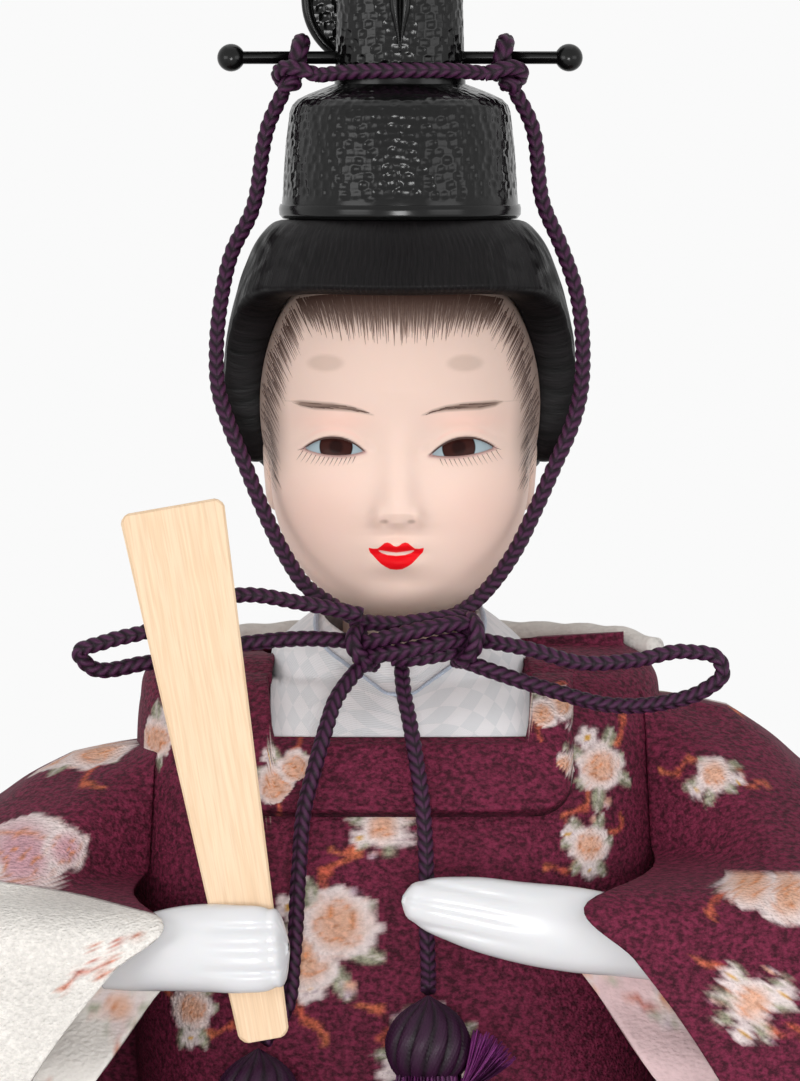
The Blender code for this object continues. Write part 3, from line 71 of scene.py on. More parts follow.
class Dye(Enum):
    """The doll's colours, as sRGB hex values."""

    BURGUNDY = 0x5F1C33
    # BURGUNDY_DEEP is the hem band's cloth, and also the dark colour of the painted shadows at the collar band's foot
    # and the pale panel's edge.
    BURGUNDY_DEEP = 0x491427
    ROSE_WHITE = 0xE9DAD8
    ROSE_PEACH = 0xE0AE94
    ROSE_ORANGE = 0xD08453
    ROSE_LILAC = 0xD2A3AC
    SCROLL_RED = 0xB5543F
    LILAC = 0xBDA9B6
    LEAF_GREY = 0x9C9F86
    POLLEN = 0xD9A850
    PALE_CREPE = 0xE6E1DB
    PALE_PRINT = 0xDCBFC0
    COLLAR_WHITE = 0xEBE8EA
    BRAID_GREY = 0xA9B0BE
    TROUSER = 0xC2B6BF
    # CORD_DEEP is the braid's painted shade between strands and the tassels' darkest thread; CORD_HIGH is the braid's
    # painted highlight and the tassel silk's base colour.
    CORD_DEEP = 0x180915
    CORD_HIGH = 0x45203E
    MAGENTA = 0x83307A
    TUFT_DEEP = 0x4A1442
    SKIN = 0xF0D3C5
    BLUSH = 0xEBC2B4
    LIP = 0xEE0A18
    TOOTH = 0xEBD3C8
    BROW = 0x7A6256
    BROW_SMUDGE = 0xC3A99B
    LID_LINE = 0x4A2830
    LID_PINK = 0xB78B8A
    IRIS = 0x391C18
    PUPIL = 0x26110F
    EYE_WHITE = 0xA3B3BA
    STROKE = 0x4C362F
    HAIRLINE = 0x7C6960
    HAIR = 0x090809
    LACQUER = 0x080808
    MOULDING = 0xDCDCDE
    CYPRESS = 0xECCFAE
    CYPRESS_LINE = 0xDDB78E
    BELT = 0x15110F
    STRAW = 0xC9AE6D
    COTTON = 0xEDE9E0
    FIR = 0xC8A878
    WIRE = 0x6A6765
    PAPER_WHITE = 0xFAFAFA


def linear(dye: Dye) -> np.ndarray:
    """Turn one colour's sRGB hex value into linear channels.

    Args:
        dye: The colour.

    Returns:
        Red, green and blue, each from 0 to 1.
    """
    shown = np.array([dye.value >> 16 & 255, dye.value >> 8 & 255, dye.value & 255]) / 255
    return np.where(shown <= 0.04045, shown / 12.92, ((shown + 0.055) / 1.055) ** 2.4)


def rgba(dye: Dye) -> tuple[float, float, float, float]:
    """Give one colour as an opaque socket value."""
    return (*linear(dye), 1.0)


def blend(first: Dye, second: Dye, share: Numbers) -> np.ndarray:
    """Move from one dye's linear colour towards another's by a share, or by one share for each point."""
    step = linear(second) - linear(first)
    return linear(first) + step * (share[:, None] if np.ndim(share) else share)


def smooth_step(low: float, high: float, value: Numbers) -> Numbers:
    """Rise smoothly from 0 at low to 1 at high.

    Args:
        low: Where the rise starts.
        high: Where it ends; below low, the step falls instead.
        value: The places asked for.

    Returns:
        The step's height at each place.
    """
    share = np.clip((value - low) / (high - low), 0, 1)
    return share * share * (3 - 2 * share)


def table(places: Numbers, knots: Sequence[float], values: Sequence) -> np.ndarray:
    """Read a table smoothly between its rows.

    Args:
        places: Where to read it.
        knots: The rows' places, rising.
        values: One number or one row of numbers at each knot.

    Returns:
        The values at the places, held level past both ends.
    """
    grid, rows = np.asarray(knots, float), np.asarray(values, float)
    slopes = np.gradient(rows, grid, axis=0)
    first = np.clip(np.searchsorted(grid, places) - 1, 0, len(grid) - 2)
    span = grid[first + 1] - grid[first]
    part = np.clip((places - grid[first]) / span, 0, 1)
    if rows.ndim > 1:
        part, span = part[..., None], span[..., None]
    square, cube = part * part, part * part * part
    return (
        (2 * cube - 3 * square + 1) * rows[first]
        + (cube - 2 * square + part) * span * slopes[first]
        + (3 * square - 2 * cube) * rows[first + 1]
        + (cube - square) * span * slopes[first + 1]
    )


def even_path(points: Sequence[Sequence[float]], count: int) -> Points:
    """Lay a smooth curve through points and read it at an even step.

    Args:
        points: The route's own points.
        count: How many points to return.

    Returns:
        The points along the curve, ends included.
    """
    route = np.asarray(points, float)
    chords = np.concatenate([[0], np.cumsum(np.linalg.norm(np.diff(route, axis=0), axis=1))])
    fine = table(np.linspace(0, chords[-1], 24 * len(route)), chords, route)
    lengths = np.concatenate([[0], np.cumsum(np.linalg.norm(np.diff(fine, axis=0), axis=1))])
    wanted = np.linspace(0, lengths[-1], count)
    return np.stack([np.interp(wanted, lengths, fine[:, axis]) for axis in range(3)], axis=1)


def read_path(route: Points, shares: np.ndarray) -> Points:
    """Read an even path at shares of its length."""
    knots = np.linspace(0, 1, len(route))
    return np.stack([np.interp(shares, knots, route[:, axis]) for axis in range(3)], axis=1)


def path_length(points: Points) -> float:
    """Measure a path of points from end to end."""
    return float(np.linalg.norm(np.diff(points, axis=0), axis=1).sum())


def path_frames(path: Points) -> tuple[Points, Points]:
    """Carry two cross directions along a path without twisting them.

    Args:
        path: The path's points.

    Returns:
        The side and the upward direction at each point.
    """
    along = np.gradient(path, axis=0)
    along /= np.linalg.norm(along, axis=1)[:, None]
    start = Vector(along[0]).orthogonal().normalized()
    side = [np.array(start)]
    for direction in along[1:]:
        carried = side[-1] - direction * side[-1].dot(direction)
        side.append(carried / np.linalg.norm(carried))
    sides = np.array(side)
    return sides, np.cross(along, sides)


def link(name: str, data: bpy.types.Mesh) -> bpy.types.Object:
    """Put a finished mesh in the scene as an object at the origin."""
    obj = bpy.data.objects.new(name, data)
    bpy.context.scene.collection.objects.link(obj)
    return obj


def grid_piece(
    name: str, columns: int, rows: int, place: Place, closed: bool = False, outward: Vector | None = None
) -> bpy.types.Object:
    """Shape a flat grid into a surface.

    Args:
        name: The piece's name.
        columns: Steps across the grid.
        rows: Steps along it.
        place: Gives the points for shares across and along, from 0 to 1.
        closed: Whether edges and poles that meet are merged.
        outward: A point inside the piece that its faces look away from.

    Returns:
        The new object, smooth, with a UV map of the two shares.
    """
    mesh = bmesh.new()
    mesh.loops.layers.uv.new("UVMap")
    bmesh.ops.create_grid(mesh, x_segments=columns, y_segments=rows, size=0.5, calc_uvs=True)
    data = bpy.data.meshes.new(name)
    mesh.to_mesh(data)
    flat = np.empty(len(data.vertices) * 3, np.float32)
    data.vertices.foreach_get("co", flat)
    flat = flat.reshape(-1, 3).astype(float) + 0.5
    shaped = place(np.round(flat[:, 0] * columns) / columns, np.round(flat[:, 1] * rows) / rows)
    data.vertices.foreach_set("co", shaped.astype(np.float32).ravel())
    mesh.clear()
    mesh.from_mesh(data)
    if closed:
        bmesh.ops.remove_doubles(mesh, verts=mesh.verts, dist=MERGE)
        bmesh.ops.recalc_face_normals(mesh, faces=mesh.faces)
    if outward is not None:
        facing = sum(
            (face.calc_center_median() - outward).dot(face.normal) * face.calc_area() for face in mesh.faces
        )
        if facing < 0:
            bmesh.ops.reverse_faces(mesh, faces=mesh.faces)
    mesh.to_mesh(data)
    mesh.free()
    data.shade_smooth()
    return link(name, data)


def tube_piece(
    name: str, path: Points, radius: float, columns: int, relief: Callable | None = None
) -> bpy.types.Object:
    """Wrap a round, closed skin about a path.

    Args:
        name: The piece's name.
        path: The centreline, evenly spaced.
        radius: The skin's outer radius.
        columns: Steps around.
        relief: Gives the share of the radius from the angle and the distance along.

    Returns:
        The tube, closed to a point at both ends.
    """
    side, up = path_frames(path)
    rows = len(path) + 1
    step = path_length(path) / (len(path) - 1)

    def place(across: np.ndarray, along: np.ndarray) -> Points:
        row = np.round(along * rows).astype(int)
        index = np.clip(row - 1, 0, len(path) - 1)
        angle = 2 * pi * across
        share = relief(angle, index * step) if relief else np.ones(len(angle))
        reach = np.where((row == 0) | (row == rows), 0, share * radius)[:, None]
        turned = np.cos(angle)[:, None] * side[index] + np.sin(angle)[:, None] * up[index]
        return path[index] + reach * turned

    return grid_piece(name, columns, rows, place, closed=True)


def vertex_places(obj: bpy.types.Object) -> Points:
    """Read the places of a mesh object's points."""
    flat = np.empty(len(obj.data.vertices) * 3, np.float32)
    obj.data.vertices.foreach_get("co", flat)
    return flat.reshape(-1, 3).astype(float)


def vertex_normals(obj: bpy.types.Object) -> Points:
    """Read the outward directions at a mesh object's points."""
    flat = np.empty(len(obj.data.vertices) * 3, np.float32)
    obj.data.vertex_normals.foreach_get("vector", flat)
    return flat.reshape(-1, 3).astype(float)


def store_colour(obj: bpy.types.Object, colours: np.ndarray, name: str = "dye") -> None:
    """Keep one linear colour for each point of a mesh as an attribute.

    Args:
        obj: The mesh object.
        colours: Rows of red, green and blue.
        name: The attribute's name.
    """
    layer = obj.data.color_attributes.new(name, "FLOAT_COLOR", "POINT")
    full = np.concatenate([colours, np.ones((len(colours), 1))], axis=1)
    layer.data.foreach_set("color", full.astype(np.float32).ravel())


def store_plain(obj: bpy.types.Object, dye: Dye) -> None:
    """Keep one dye on all of a piece's points."""
    store_colour(obj, np.tile(linear(dye), (len(obj.data.vertices), 1)))


def store_fields(obj: bpy.types.Object, name: str, fields: np.ndarray) -> None:
    """Keep three smooth distances for each point, so that a painted edge stays sharp between points."""
    layer = obj.data.attributes.new(name, "FLOAT_VECTOR", "POINT")
    layer.data.foreach_set("vector", fields.astype(np.float32).ravel())


def thicken(obj: bpy.types.Object, thickness: float) -> None:
    """Give an open sheet its thickness, inwards from its outer face."""
    modifier = obj.modifiers.new("thickness", "SOLIDIFY")
    modifier.thickness = thickness
    modifier.offset = -1


def joined(name: str, objects: Sequence[bpy.types.Object]) -> bpy.types.Object:
    """Make several mesh objects one piece.

    Args:
        name: The piece's name.
        objects: What is joined; the first one stays.

    Returns:
        The joined object.
    """
    mesh = bmesh.new()
    for obj in objects:
        mesh.from_mesh(obj.data)
    first = objects[0]
    mesh.to_mesh(first.data)
    mesh.free()
    for obj in objects[1:]:
        bpy.data.objects.remove(obj)
    first.name = name
    first.data.shade_smooth()
    return first


def ribbon_strokes(
    name: str, strokes: Sequence[tuple[Points, float, float]], outward: Points
) -> bpy.types.Object:
    """Lay fine painted strokes as thin tapered ribbons.

    Args:
        name: The piece's name.
        strokes: Each stroke's points, root first, its width at the root and how much its tip pales.
        outward: The direction that the strokes' surface faces at each stroke.

    Returns:
        One object that holds all the strokes.
    """
    mesh = bmesh.new()
    colours: list[np.ndarray] = []
    for (path, width, pales), normal in zip(strokes, outward):
        along = path[-1] - path[0]
        across = Vector(np.cross(along, normal)).normalized()
        last = len(path) - 1
        rows = []
        for k, point in enumerate(path):
            half = width / 2 * (1 - 0.85 * (k / last) ** 1.5)
            rows.append([mesh.verts.new(Vector(point) + across * half * side) for side in (1, -1)])
            colours += [blend(Dye.STROKE, Dye.BROW_SMUDGE, pales * (k / last) ** 1.3)] * 2
        for first, second in zip(rows, rows[1:]):
            mesh.faces.new((first[0], first[1], second[1], second[0]))
    data = bpy.data.meshes.new(name)
    mesh.to_mesh(data)
    mesh.free()
    strokes_object = link(name, data)
    store_colour(strokes_object, np.array(colours))
    store_fields(strokes_object, "paint", np.full((len(colours), 3), -9.0))
    return strokes_object


# Finishes


def add_node(
    tree: bpy.types.NodeTree, kind: str, inputs: dict | None = None, **settings: object
) -> bpy.types.Node:
    """Add one shader node with its settings, values and links.

    Args:
        tree: The material's node tree.
        kind: The node's type without its common prefix.
        inputs: Values or sockets for the node's inputs, by name or number.
        **settings: The node's own properties.

    Returns:
        The new node.
    """
    node = tree.nodes.new(f"ShaderNode{kind}")
    for key, value in settings.items():
        setattr(node, key, value)
    for key, value in (inputs or {}).items():
        if isinstance(value, bpy.types.NodeSocket):
            tree.links.new(value, node.inputs[key])
        else:
            node.inputs[key].default_value = value
    return node


def mix(
    tree: bpy.types.NodeTree, share: object, first: object, second: object, kind: str = "MIX"
) -> bpy.types.NodeSocket:
    """Mix two colours by a share and give the result's socket."""
    node = add_node(tree, "Mix", {0: share, 6: first, 7: second}, data_type="RGBA", blend_type=kind)
    return node.outputs[2]


def attribute(tree: bpy.types.NodeTree, name: str, output: str = "Color") -> bpy.types.NodeSocket:
    """Read what is kept on the piece's points under a name."""
    return add_node(tree, "Attribute", attribute_name=name).outputs[output]


def maths(tree: bpy.types.NodeTree, operation: str, *values: object) -> bpy.types.NodeSocket:
    """Work out one number from others and give its socket."""
    return add_node(tree, "Math", dict(enumerate(values)), operation=operation).outputs[0]


def map_range(
    tree: bpy.types.NodeTree, value: object, low: float, high: float, start: float = 0.0, end: float = 1.0
) -> bpy.types.NodeSocket:
    """Turn a value from start to end into one from low to high, held level past both."""
    inputs = {"Value": value, "From Min": start, "From Max": end, "To Min": low, "To Max": high}
    return add_node(tree, "MapRange", inputs).outputs[0]


def noise(
    tree: bpy.types.NodeTree, place: object, scale: float, detail: float, roughness: float = 0.5
) -> bpy.types.NodeSocket:
    """Read a cloudy noise at a place and give its socket."""
    inputs = {"Vector": place, "Scale": scale, "Detail": detail, "Roughness": roughness}
    return add_node(tree, "TexNoise", inputs).outputs[0]


def mapping(tree: bpy.types.NodeTree, place: object, **changes: Sequence[float]) -> bpy.types.NodeSocket:
    """Move, turn or stretch a place and give its socket."""
    inputs = {key.capitalize(): value for key, value in changes.items()}
    return add_node(tree, "Mapping", {"Vector": place, **inputs}).outputs[0]


def object_place(tree: bpy.types.NodeTree) -> bpy.types.NodeSocket:
    """Give the place on the object itself."""
    return add_node(tree, "TexCoord").outputs["Object"]


def ramp(tree: bpy.types.NodeTree, value: object, stops: Sequence[tuple[float, tuple]]) -> object:
    """Turn a value into a colour by a ramp of stops and give its socket."""
    node = add_node(tree, "ValToRGB", {0: value})
    elements = node.color_ramp.elements
    for place, colour in stops[2:]:
        elements.new(place).color = colour
    for element, (place, colour) in zip(elements, sorted(stops)):
        element.position = place
        element.color = colour
    return node.outputs[0]


@dataclass(frozen=True)
class Finish:
    """A surface: its real material, how it was made and how it takes the light."""

    name: str
    colour: Dye
    roughness: float
    metallic: float = 0.0
    sheen: float = 0.0
    coat: float = 0.0
    subsurface: float = 0.0
    specular: float = 0.5

    def start(self) -> tuple[bpy.types.Material, bpy.types.NodeTree, bpy.types.Node]:
        """Make the material with its plain values set on the shader.

        Returns:
            The material, its node tree and its shader.
        """
        made = bpy.data.materials.new(self.name)
        made.use_nodes = True
        shader = made.node_tree.nodes["Principled BSDF"]
        shader.inputs["Base Color"].default_value = rgba(self.colour)
        shader.inputs["Roughness"].default_value = self.roughness
        shader.inputs["Metallic"].default_value = self.metallic
        shader.inputs["Sheen Weight"].default_value = self.sheen
        shader.inputs["Specular IOR Level"].default_value = self.specular
        shader.inputs["Coat Weight"].default_value = self.coat
        shader.inputs["Coat Roughness"].default_value = 0.08
        shader.inputs["Subsurface Weight"].default_value = self.subsurface
        shader.inputs["Subsurface Radius"].default_value = (0.004, 0.002, 0.001)
        shader.inputs["Subsurface Scale"].default_value = 0.5
        return made, made.node_tree, shader

    def build(self) -> bpy.types.Material:
        """Make the material. Each kind of finish adds its own detail."""
        made, tree, shader = self.start()
        self.detail(tree, shader)
        return made

    def detail(self, tree: bpy.types.NodeTree, shader: bpy.types.Node) -> None:
        """Add nothing to a plain finish."""

    def surface(
        self, tree: bpy.types.NodeTree, shader: bpy.types.Node, colour: object = None, gloss: object = None,
        height: object = None, depth: float = 0.0, strength: float = 1.0,
    ) -> None:
        """Link the shader to what the finish draws.

        Args:
            tree: The material's node tree.
            shader: Its shader.
            colour: The colour's socket, if it varies.
            gloss: The roughness's socket, if it varies.
            height: The relief's socket, if it has one.
            depth: How deep the relief is.
            strength: How strongly it shows.
        """
        if height is not None:
            bump = add_node(tree, "Bump", {"Height": height, "Distance": depth, "Strength": strength})
            tree.links.new(bump.outputs[0], shader.inputs["Normal"])
        for socket, name in ((colour, "Base Color"), (gloss, "Roughness")):
            if socket is not None:
                tree.links.new(socket, shader.inputs[name])


@dataclass(frozen=True)
class PrintedCrepe(Finish):
    """Chirimen crepe, woven with hard-twisted weft, so its face is a fine pebble."""

    pebble: float = 0.62 * MM
    depth: float = 0.16 * MM
    contrast: float = 0.34

    def detail(self, tree: bpy.types.NodeTree, shader: bpy.types.Node) -> None:
        """Dye the cloth from its points, pebble it, and paint light and shade on the pebble from the same crinkle."""
        place = mapping(tree, object_place(tree), scale=(0.85, 1.0, 1.15))
        crinkle = noise(tree, place, 0.55 / self.pebble, 3.0, 0.62)
        cells = add_node(tree, "TexVoronoi", {"Vector": place, "Scale": 1 / self.pebble}, feature="SMOOTH_F1")
        height = maths(tree, "SUBTRACT", crinkle, cells.outputs["Distance"])
        dye = self.dyed(tree)
        light = add_node(tree, "RGBToBW", {0: dye}).outputs[0]
        contrast = map_range(tree, light, self.contrast, self.contrast * 0.16, 0.05, 0.5)
        # Painted light and shade: the colour is lighter where the crinkle stands up and darker where it sinks, less so
        # on pale cloth.
        grain = map_range(tree, crinkle, -1.0, 1.0, 0.37, 0.65)
        shade = maths(tree, "MULTIPLY_ADD", grain, contrast, 1.0)
        self.surface(tree, shader, mix(tree, 1.0, dye, shade, "MULTIPLY"), height=height, depth=self.depth)

    def dyed(self, tree: bpy.types.NodeTree) -> bpy.types.NodeSocket:
        """Read the cloth's colour from its points."""
        return attribute(tree, "dye")


@dataclass(frozen=True)
class PanelledCrepe(PrintedCrepe):
    """Crepe with a second cloth sewn on, up to an edge that the piece's points measure."""

    def dyed(self, tree: bpy.types.NodeTree) -> bpy.types.NodeSocket:
        """Change from one cloth's colours to the other's across the seam, with a painted shadow line along the panel's
        folded edge.
        """
        inside = add_node(tree, "SeparateXYZ", {0: attribute(tree, "panel", "Vector")}).outputs[0]
        share = map_range(tree, inside, 0.0, 1.0, -0.06, 0.06)
        # Painted shadow: a dark line within 0.14 mm of the pale panel's edge, where its fold shades the cloth.
        seam = maths(tree, "COMPARE", inside, 0.0, 0.14)
        cloth = mix(tree, share, super().dyed(tree), attribute(tree, "panel_dye"))
        return mix(tree, maths(tree, "MULTIPLY", seam, 0.45), cloth, rgba(Dye.BURGUNDY_DEEP))


@dataclass(frozen=True)
class CheckSilk(Finish):
    """White silk twill woven in small checks that show by their sheen; the sheen is painted as every other check a
    darker grey.
    """

    check: float = 2.8 * MM
    thread: float = 0.30 * MM

    def detail(self, tree: bpy.types.NodeTree, shader: bpy.types.Node) -> None:
        """Weave the checks across the piece's own UV map, which is in metres."""
        turned = mapping(tree, add_node(tree, "UVMap").outputs[0], rotation=(0, 0, radians(42)))
        # Painted sheen: every other check is a darker grey, for the checks that catch less light.
        colours = {"Color1": rgba(Dye.COLLAR_WHITE), "Color2": (0.74, 0.735, 0.755, 1)}
        checks = add_node(tree, "TexChecker", {"Vector": turned, "Scale": 1 / self.check, **colours})
        wave = {"Vector": turned, "Scale": 0.32 / self.thread, "Distortion": 0.6}
        threads = add_node(tree, "TexWave", wave, bands_direction="X")
        rise = maths(tree, "ADD", checks.outputs[1], threads.outputs[1])
        self.surface(tree, shader, checks.outputs[0], height=rise, depth=0.05 * MM, strength=0.7)


@dataclass(frozen=True)
class Threads(Finish):
    """Dyed silk thread, finely streaked by its fibres."""

    fibre: float = 0.12 * MM

    def detail(self, tree: bpy.types.NodeTree, shader: bpy.types.Node) -> None:
        """Streak the strands' own dye with fibres."""
        streaks = noise(tree, object_place(tree), 0.5 / self.fibre, 2.0, 0.6)
        colour = mix(tree, 1.0, attribute(tree, "dye"), map_range(tree, streaks, 0.6, 1.5), "MULTIPLY")
        self.surface(tree, shader, colour, height=streaks, depth=0.06 * MM, strength=0.6)


@dataclass(frozen=True)
class PaintedSkin(Finish):
    """Shell-white paint rubbed to a soft gloss, with the features brushed on it."""

    def detail(self, tree: bpy.types.NodeTree, shader: bpy.types.Node) -> None:
        """Tint the paint from the piece's points and brush brows, lips and teeth from its distances."""
        colour = attribute(tree, "dye")
        parts = add_node(tree, "SeparateXYZ", {0: attribute(tree, "paint", "Vector")}).outputs
        for part, dye, soft, cover in (
            (parts[2], Dye.BROW, 0.22, 0.86), (parts[0], Dye.LIP, 0.05, 1.0), (parts[1], Dye.TOOTH, 0.05, 1.0)
        ):
            colour = mix(tree, map_range(tree, part, 0.0, cover, -soft, soft), colour, rgba(dye))
        cloud = noise(tree, object_place(tree), 1 / (6 * MM), 3.0)
        self.surface(
            tree, shader, colour, map_range(tree, cloud, self.roughness - 0.05, self.roughness + 0.05)
        )


@dataclass(frozen=True)
class GlassEye(Finish):
    """A blown glass eye: bluish white, brown iris and dark pupil under a clear skin."""

    centre: tuple[float, float] = (0.0, 0.0)
    iris: float = 2.25 * MM

    def detail(self, tree: bpy.types.NodeTree, shader: bpy.types.Node) -> None:
        """Draw the iris as rings about its centre, seen from the front."""
        centre = (-self.centre[0], 0, -self.centre[1])
        moved = mapping(tree, object_place(tree), location=centre, scale=(1, 0, 1))
        away = add_node(tree, "VectorMath", {0: moved}, operation="LENGTH").outputs["Value"]
        ring = maths(tree, "DIVIDE", away, self.iris * 1.4)
        pupil, iris = rgba(Dye.PUPIL), rgba(Dye.IRIS)
        stops = [(0.0, pupil), (0.24, pupil), (0.36, iris), (0.64, iris), (0.70, pupil)]
        self.surface(tree, shader, ramp(tree, ring, [*stops, (0.74, rgba(Dye.EYE_WHITE))]))


@dataclass(frozen=True)
class CombedHair(Finish):
    """Fine black silk thread, combed back and gummed down in one direction."""

    def detail(self, tree: bpy.types.NodeTree, shader: bpy.types.Node) -> None:
        """Streak the gloss along the strands, which follow the piece's UV map."""
        combed = mapping(tree, add_node(tree, "UVMap").outputs[0], scale=(900.0, 5.0, 1.0))
        strands = noise(tree, combed, 1.0, 3.0)
        colour = ramp(tree, strands, [(0.3, rgba(Dye.LACQUER)), (0.75, (0.010, 0.008, 0.009, 1))])
        self.surface(tree, shader, colour, map_range(tree, strands, 0.26, 0.48), strands, 0.10 * MM, 0.8)


@dataclass(frozen=True)
class PlanedWood(Finish):
    """Straight-grained wood: pale early wood with thin darker late-wood lines."""

    line: Dye = Dye.CYPRESS_LINE
    lean: float = 0.0
    spacing: float = 1.0 * MM

    def detail(self, tree: bpy.types.NodeTree, shader: bpy.types.Node) -> None:
        """Run the grain up the piece, turned to its lean."""
        upright = mapping(tree, object_place(tree), rotation=(0, self.lean, 0))
        stretched = mapping(tree, upright, scale=(1.0, 1.0, 0.035))
        bands = noise(tree, stretched, 0.5 / self.spacing, 4.0, 0.7)
        pores = noise(tree, stretched, 5 / self.spacing, 2.0)
        early, late = rgba(self.colour), rgba(self.line)
        grain = ramp(tree, bands, [(0.34, early), (0.46, late), (0.52, early), (0.62, late), (0.68, early)])
        soft = mix(tree, 0.55, early, grain)
        colour = mix(tree, 1.0, soft, map_range(tree, pores, 0.9, 1.08), "MULTIPLY")
        self.surface(tree, shader, colour, height=pores, depth=0.03 * MM, strength=0.5)


@dataclass(frozen=True)
class Mottled(Finish):
    """A plain ground with a fine uneven grain, such as straw, cotton, leather or drawn wire."""

    grain: float = 0.8 * MM
    stretch: tuple[float, float, float] = (1.0, 1.0, 1.0)
    variation: float = 0.2
    depth: float = 0.08 * MM

    def detail(self, tree: bpy.types.NodeTree, shader: bpy.types.Node) -> None:
        """Vary the colour and the height by one stretched noise."""
        laid = mapping(tree, object_place(tree), scale=self.stretch)
        grain = noise(tree, laid, 0.5 / self.grain, 3.0)
        shade = map_range(tree, grain, 1 - self.variation, 1 + self.variation)
        colour = mix(tree, 1.0, rgba(self.colour), shade, "MULTIPLY")
        self.surface(tree, shader, colour, height=grain, depth=self.depth, strength=0.6)


class Finishes:
    """Every material of the doll, made once and shared by its pieces."""

    def __init__(self) -> None:
        """Build the materials."""
        # The contrast sets how strongly the painted light and shade follow the crepe's crinkle.
        heavy = {"specular": 0.2, "pebble": 0.40 * MM, "depth": 0.24 * MM, "contrast": 0.62}
        light = {"specular": 0.15, "pebble": 0.60 * MM, "depth": 0.15 * MM, "contrast": 0.3}
        self.crepe = PrintedCrepe("printed_chirimen_crepe", Dye.BURGUNDY, 0.72, **heavy).build()
        self.pale_crepe = PrintedCrepe("printed_pale_crepe", Dye.PALE_CREPE, 0.88, **light).build()
        self.panelled_crepe = PanelledCrepe(
            "printed_crepe_with_pale_cuff", Dye.BURGUNDY, 0.72, **heavy
        ).build()
        self.check_silk = CheckSilk("check_woven_white_silk", Dye.COLLAR_WHITE, 0.55, sheen=0.2).build()
        self.trouser = PrintedCrepe(
            "woven_trouser_silk", Dye.TROUSER, 0.7, sheen=0.2, pebble=0.5 * MM, depth=0.06 * MM, contrast=0.3
        ).build()
        self.cord = Threads("braided_silk_cord", Dye.CORD_DEEP, 0.5, specular=0.2).build()
        self.tassel = Threads("twisted_tassel_silk", Dye.CORD_HIGH, 0.42, specular=0.25).build()
        self.skin = PaintedSkin(
            "shell_white_painted_composition", Dye.SKIN, 0.46, subsurface=0.10, specular=0.14
        ).build()
        self.hair = CombedHair("combed_black_silk_hair", Dye.HAIR, 0.4, specular=0.14).build()
        self.lacquer = Finish("black_lacquer_on_gauze", Dye.LACQUER, 0.2, specular=0.28).build()
        self.moulding = Finish(
            "glossy_white_moulding", Dye.MOULDING, 0.26, coat=0.25, subsurface=0.08
        ).build()
        self.cypress = PlanedWood("planed_hinoki_cypress", Dye.CYPRESS, 0.55, lean=radians(9.9)).build()
        self.fir = PlanedWood("planed_fir_board", Dye.FIR, 0.7, spacing=2 * MM).build()
        self.peg = PlanedWood("turned_beech_peg", Dye.FIR, 0.6).build()
        self.belt = Mottled("black_lacquered_leather", Dye.BELT, 0.3, coat=0.3, grain=0.5 * MM).build()
        self.straw = Mottled("bound_straw", Dye.STRAW, 0.8, stretch=(1, 1, 0.08), variation=0.4).build()
        self.cotton = Mottled("cotton_padding", Dye.COTTON, 0.95, grain=1.2 * MM, depth=0.2 * MM).build()
        self.wire = Mottled("drawn_iron_wire", Dye.WIRE, 0.4, metallic=1.0, stretch=(0.1, 1, 1)).build()


# Printed pattern


class Mark(Enum):
    """The printed motifs."""

    ROSE = "rose"
    BLOSSOM = "blossom"
    LEAF = "leaf"
    SCROLL = "scroll"
    BUD = "bud"


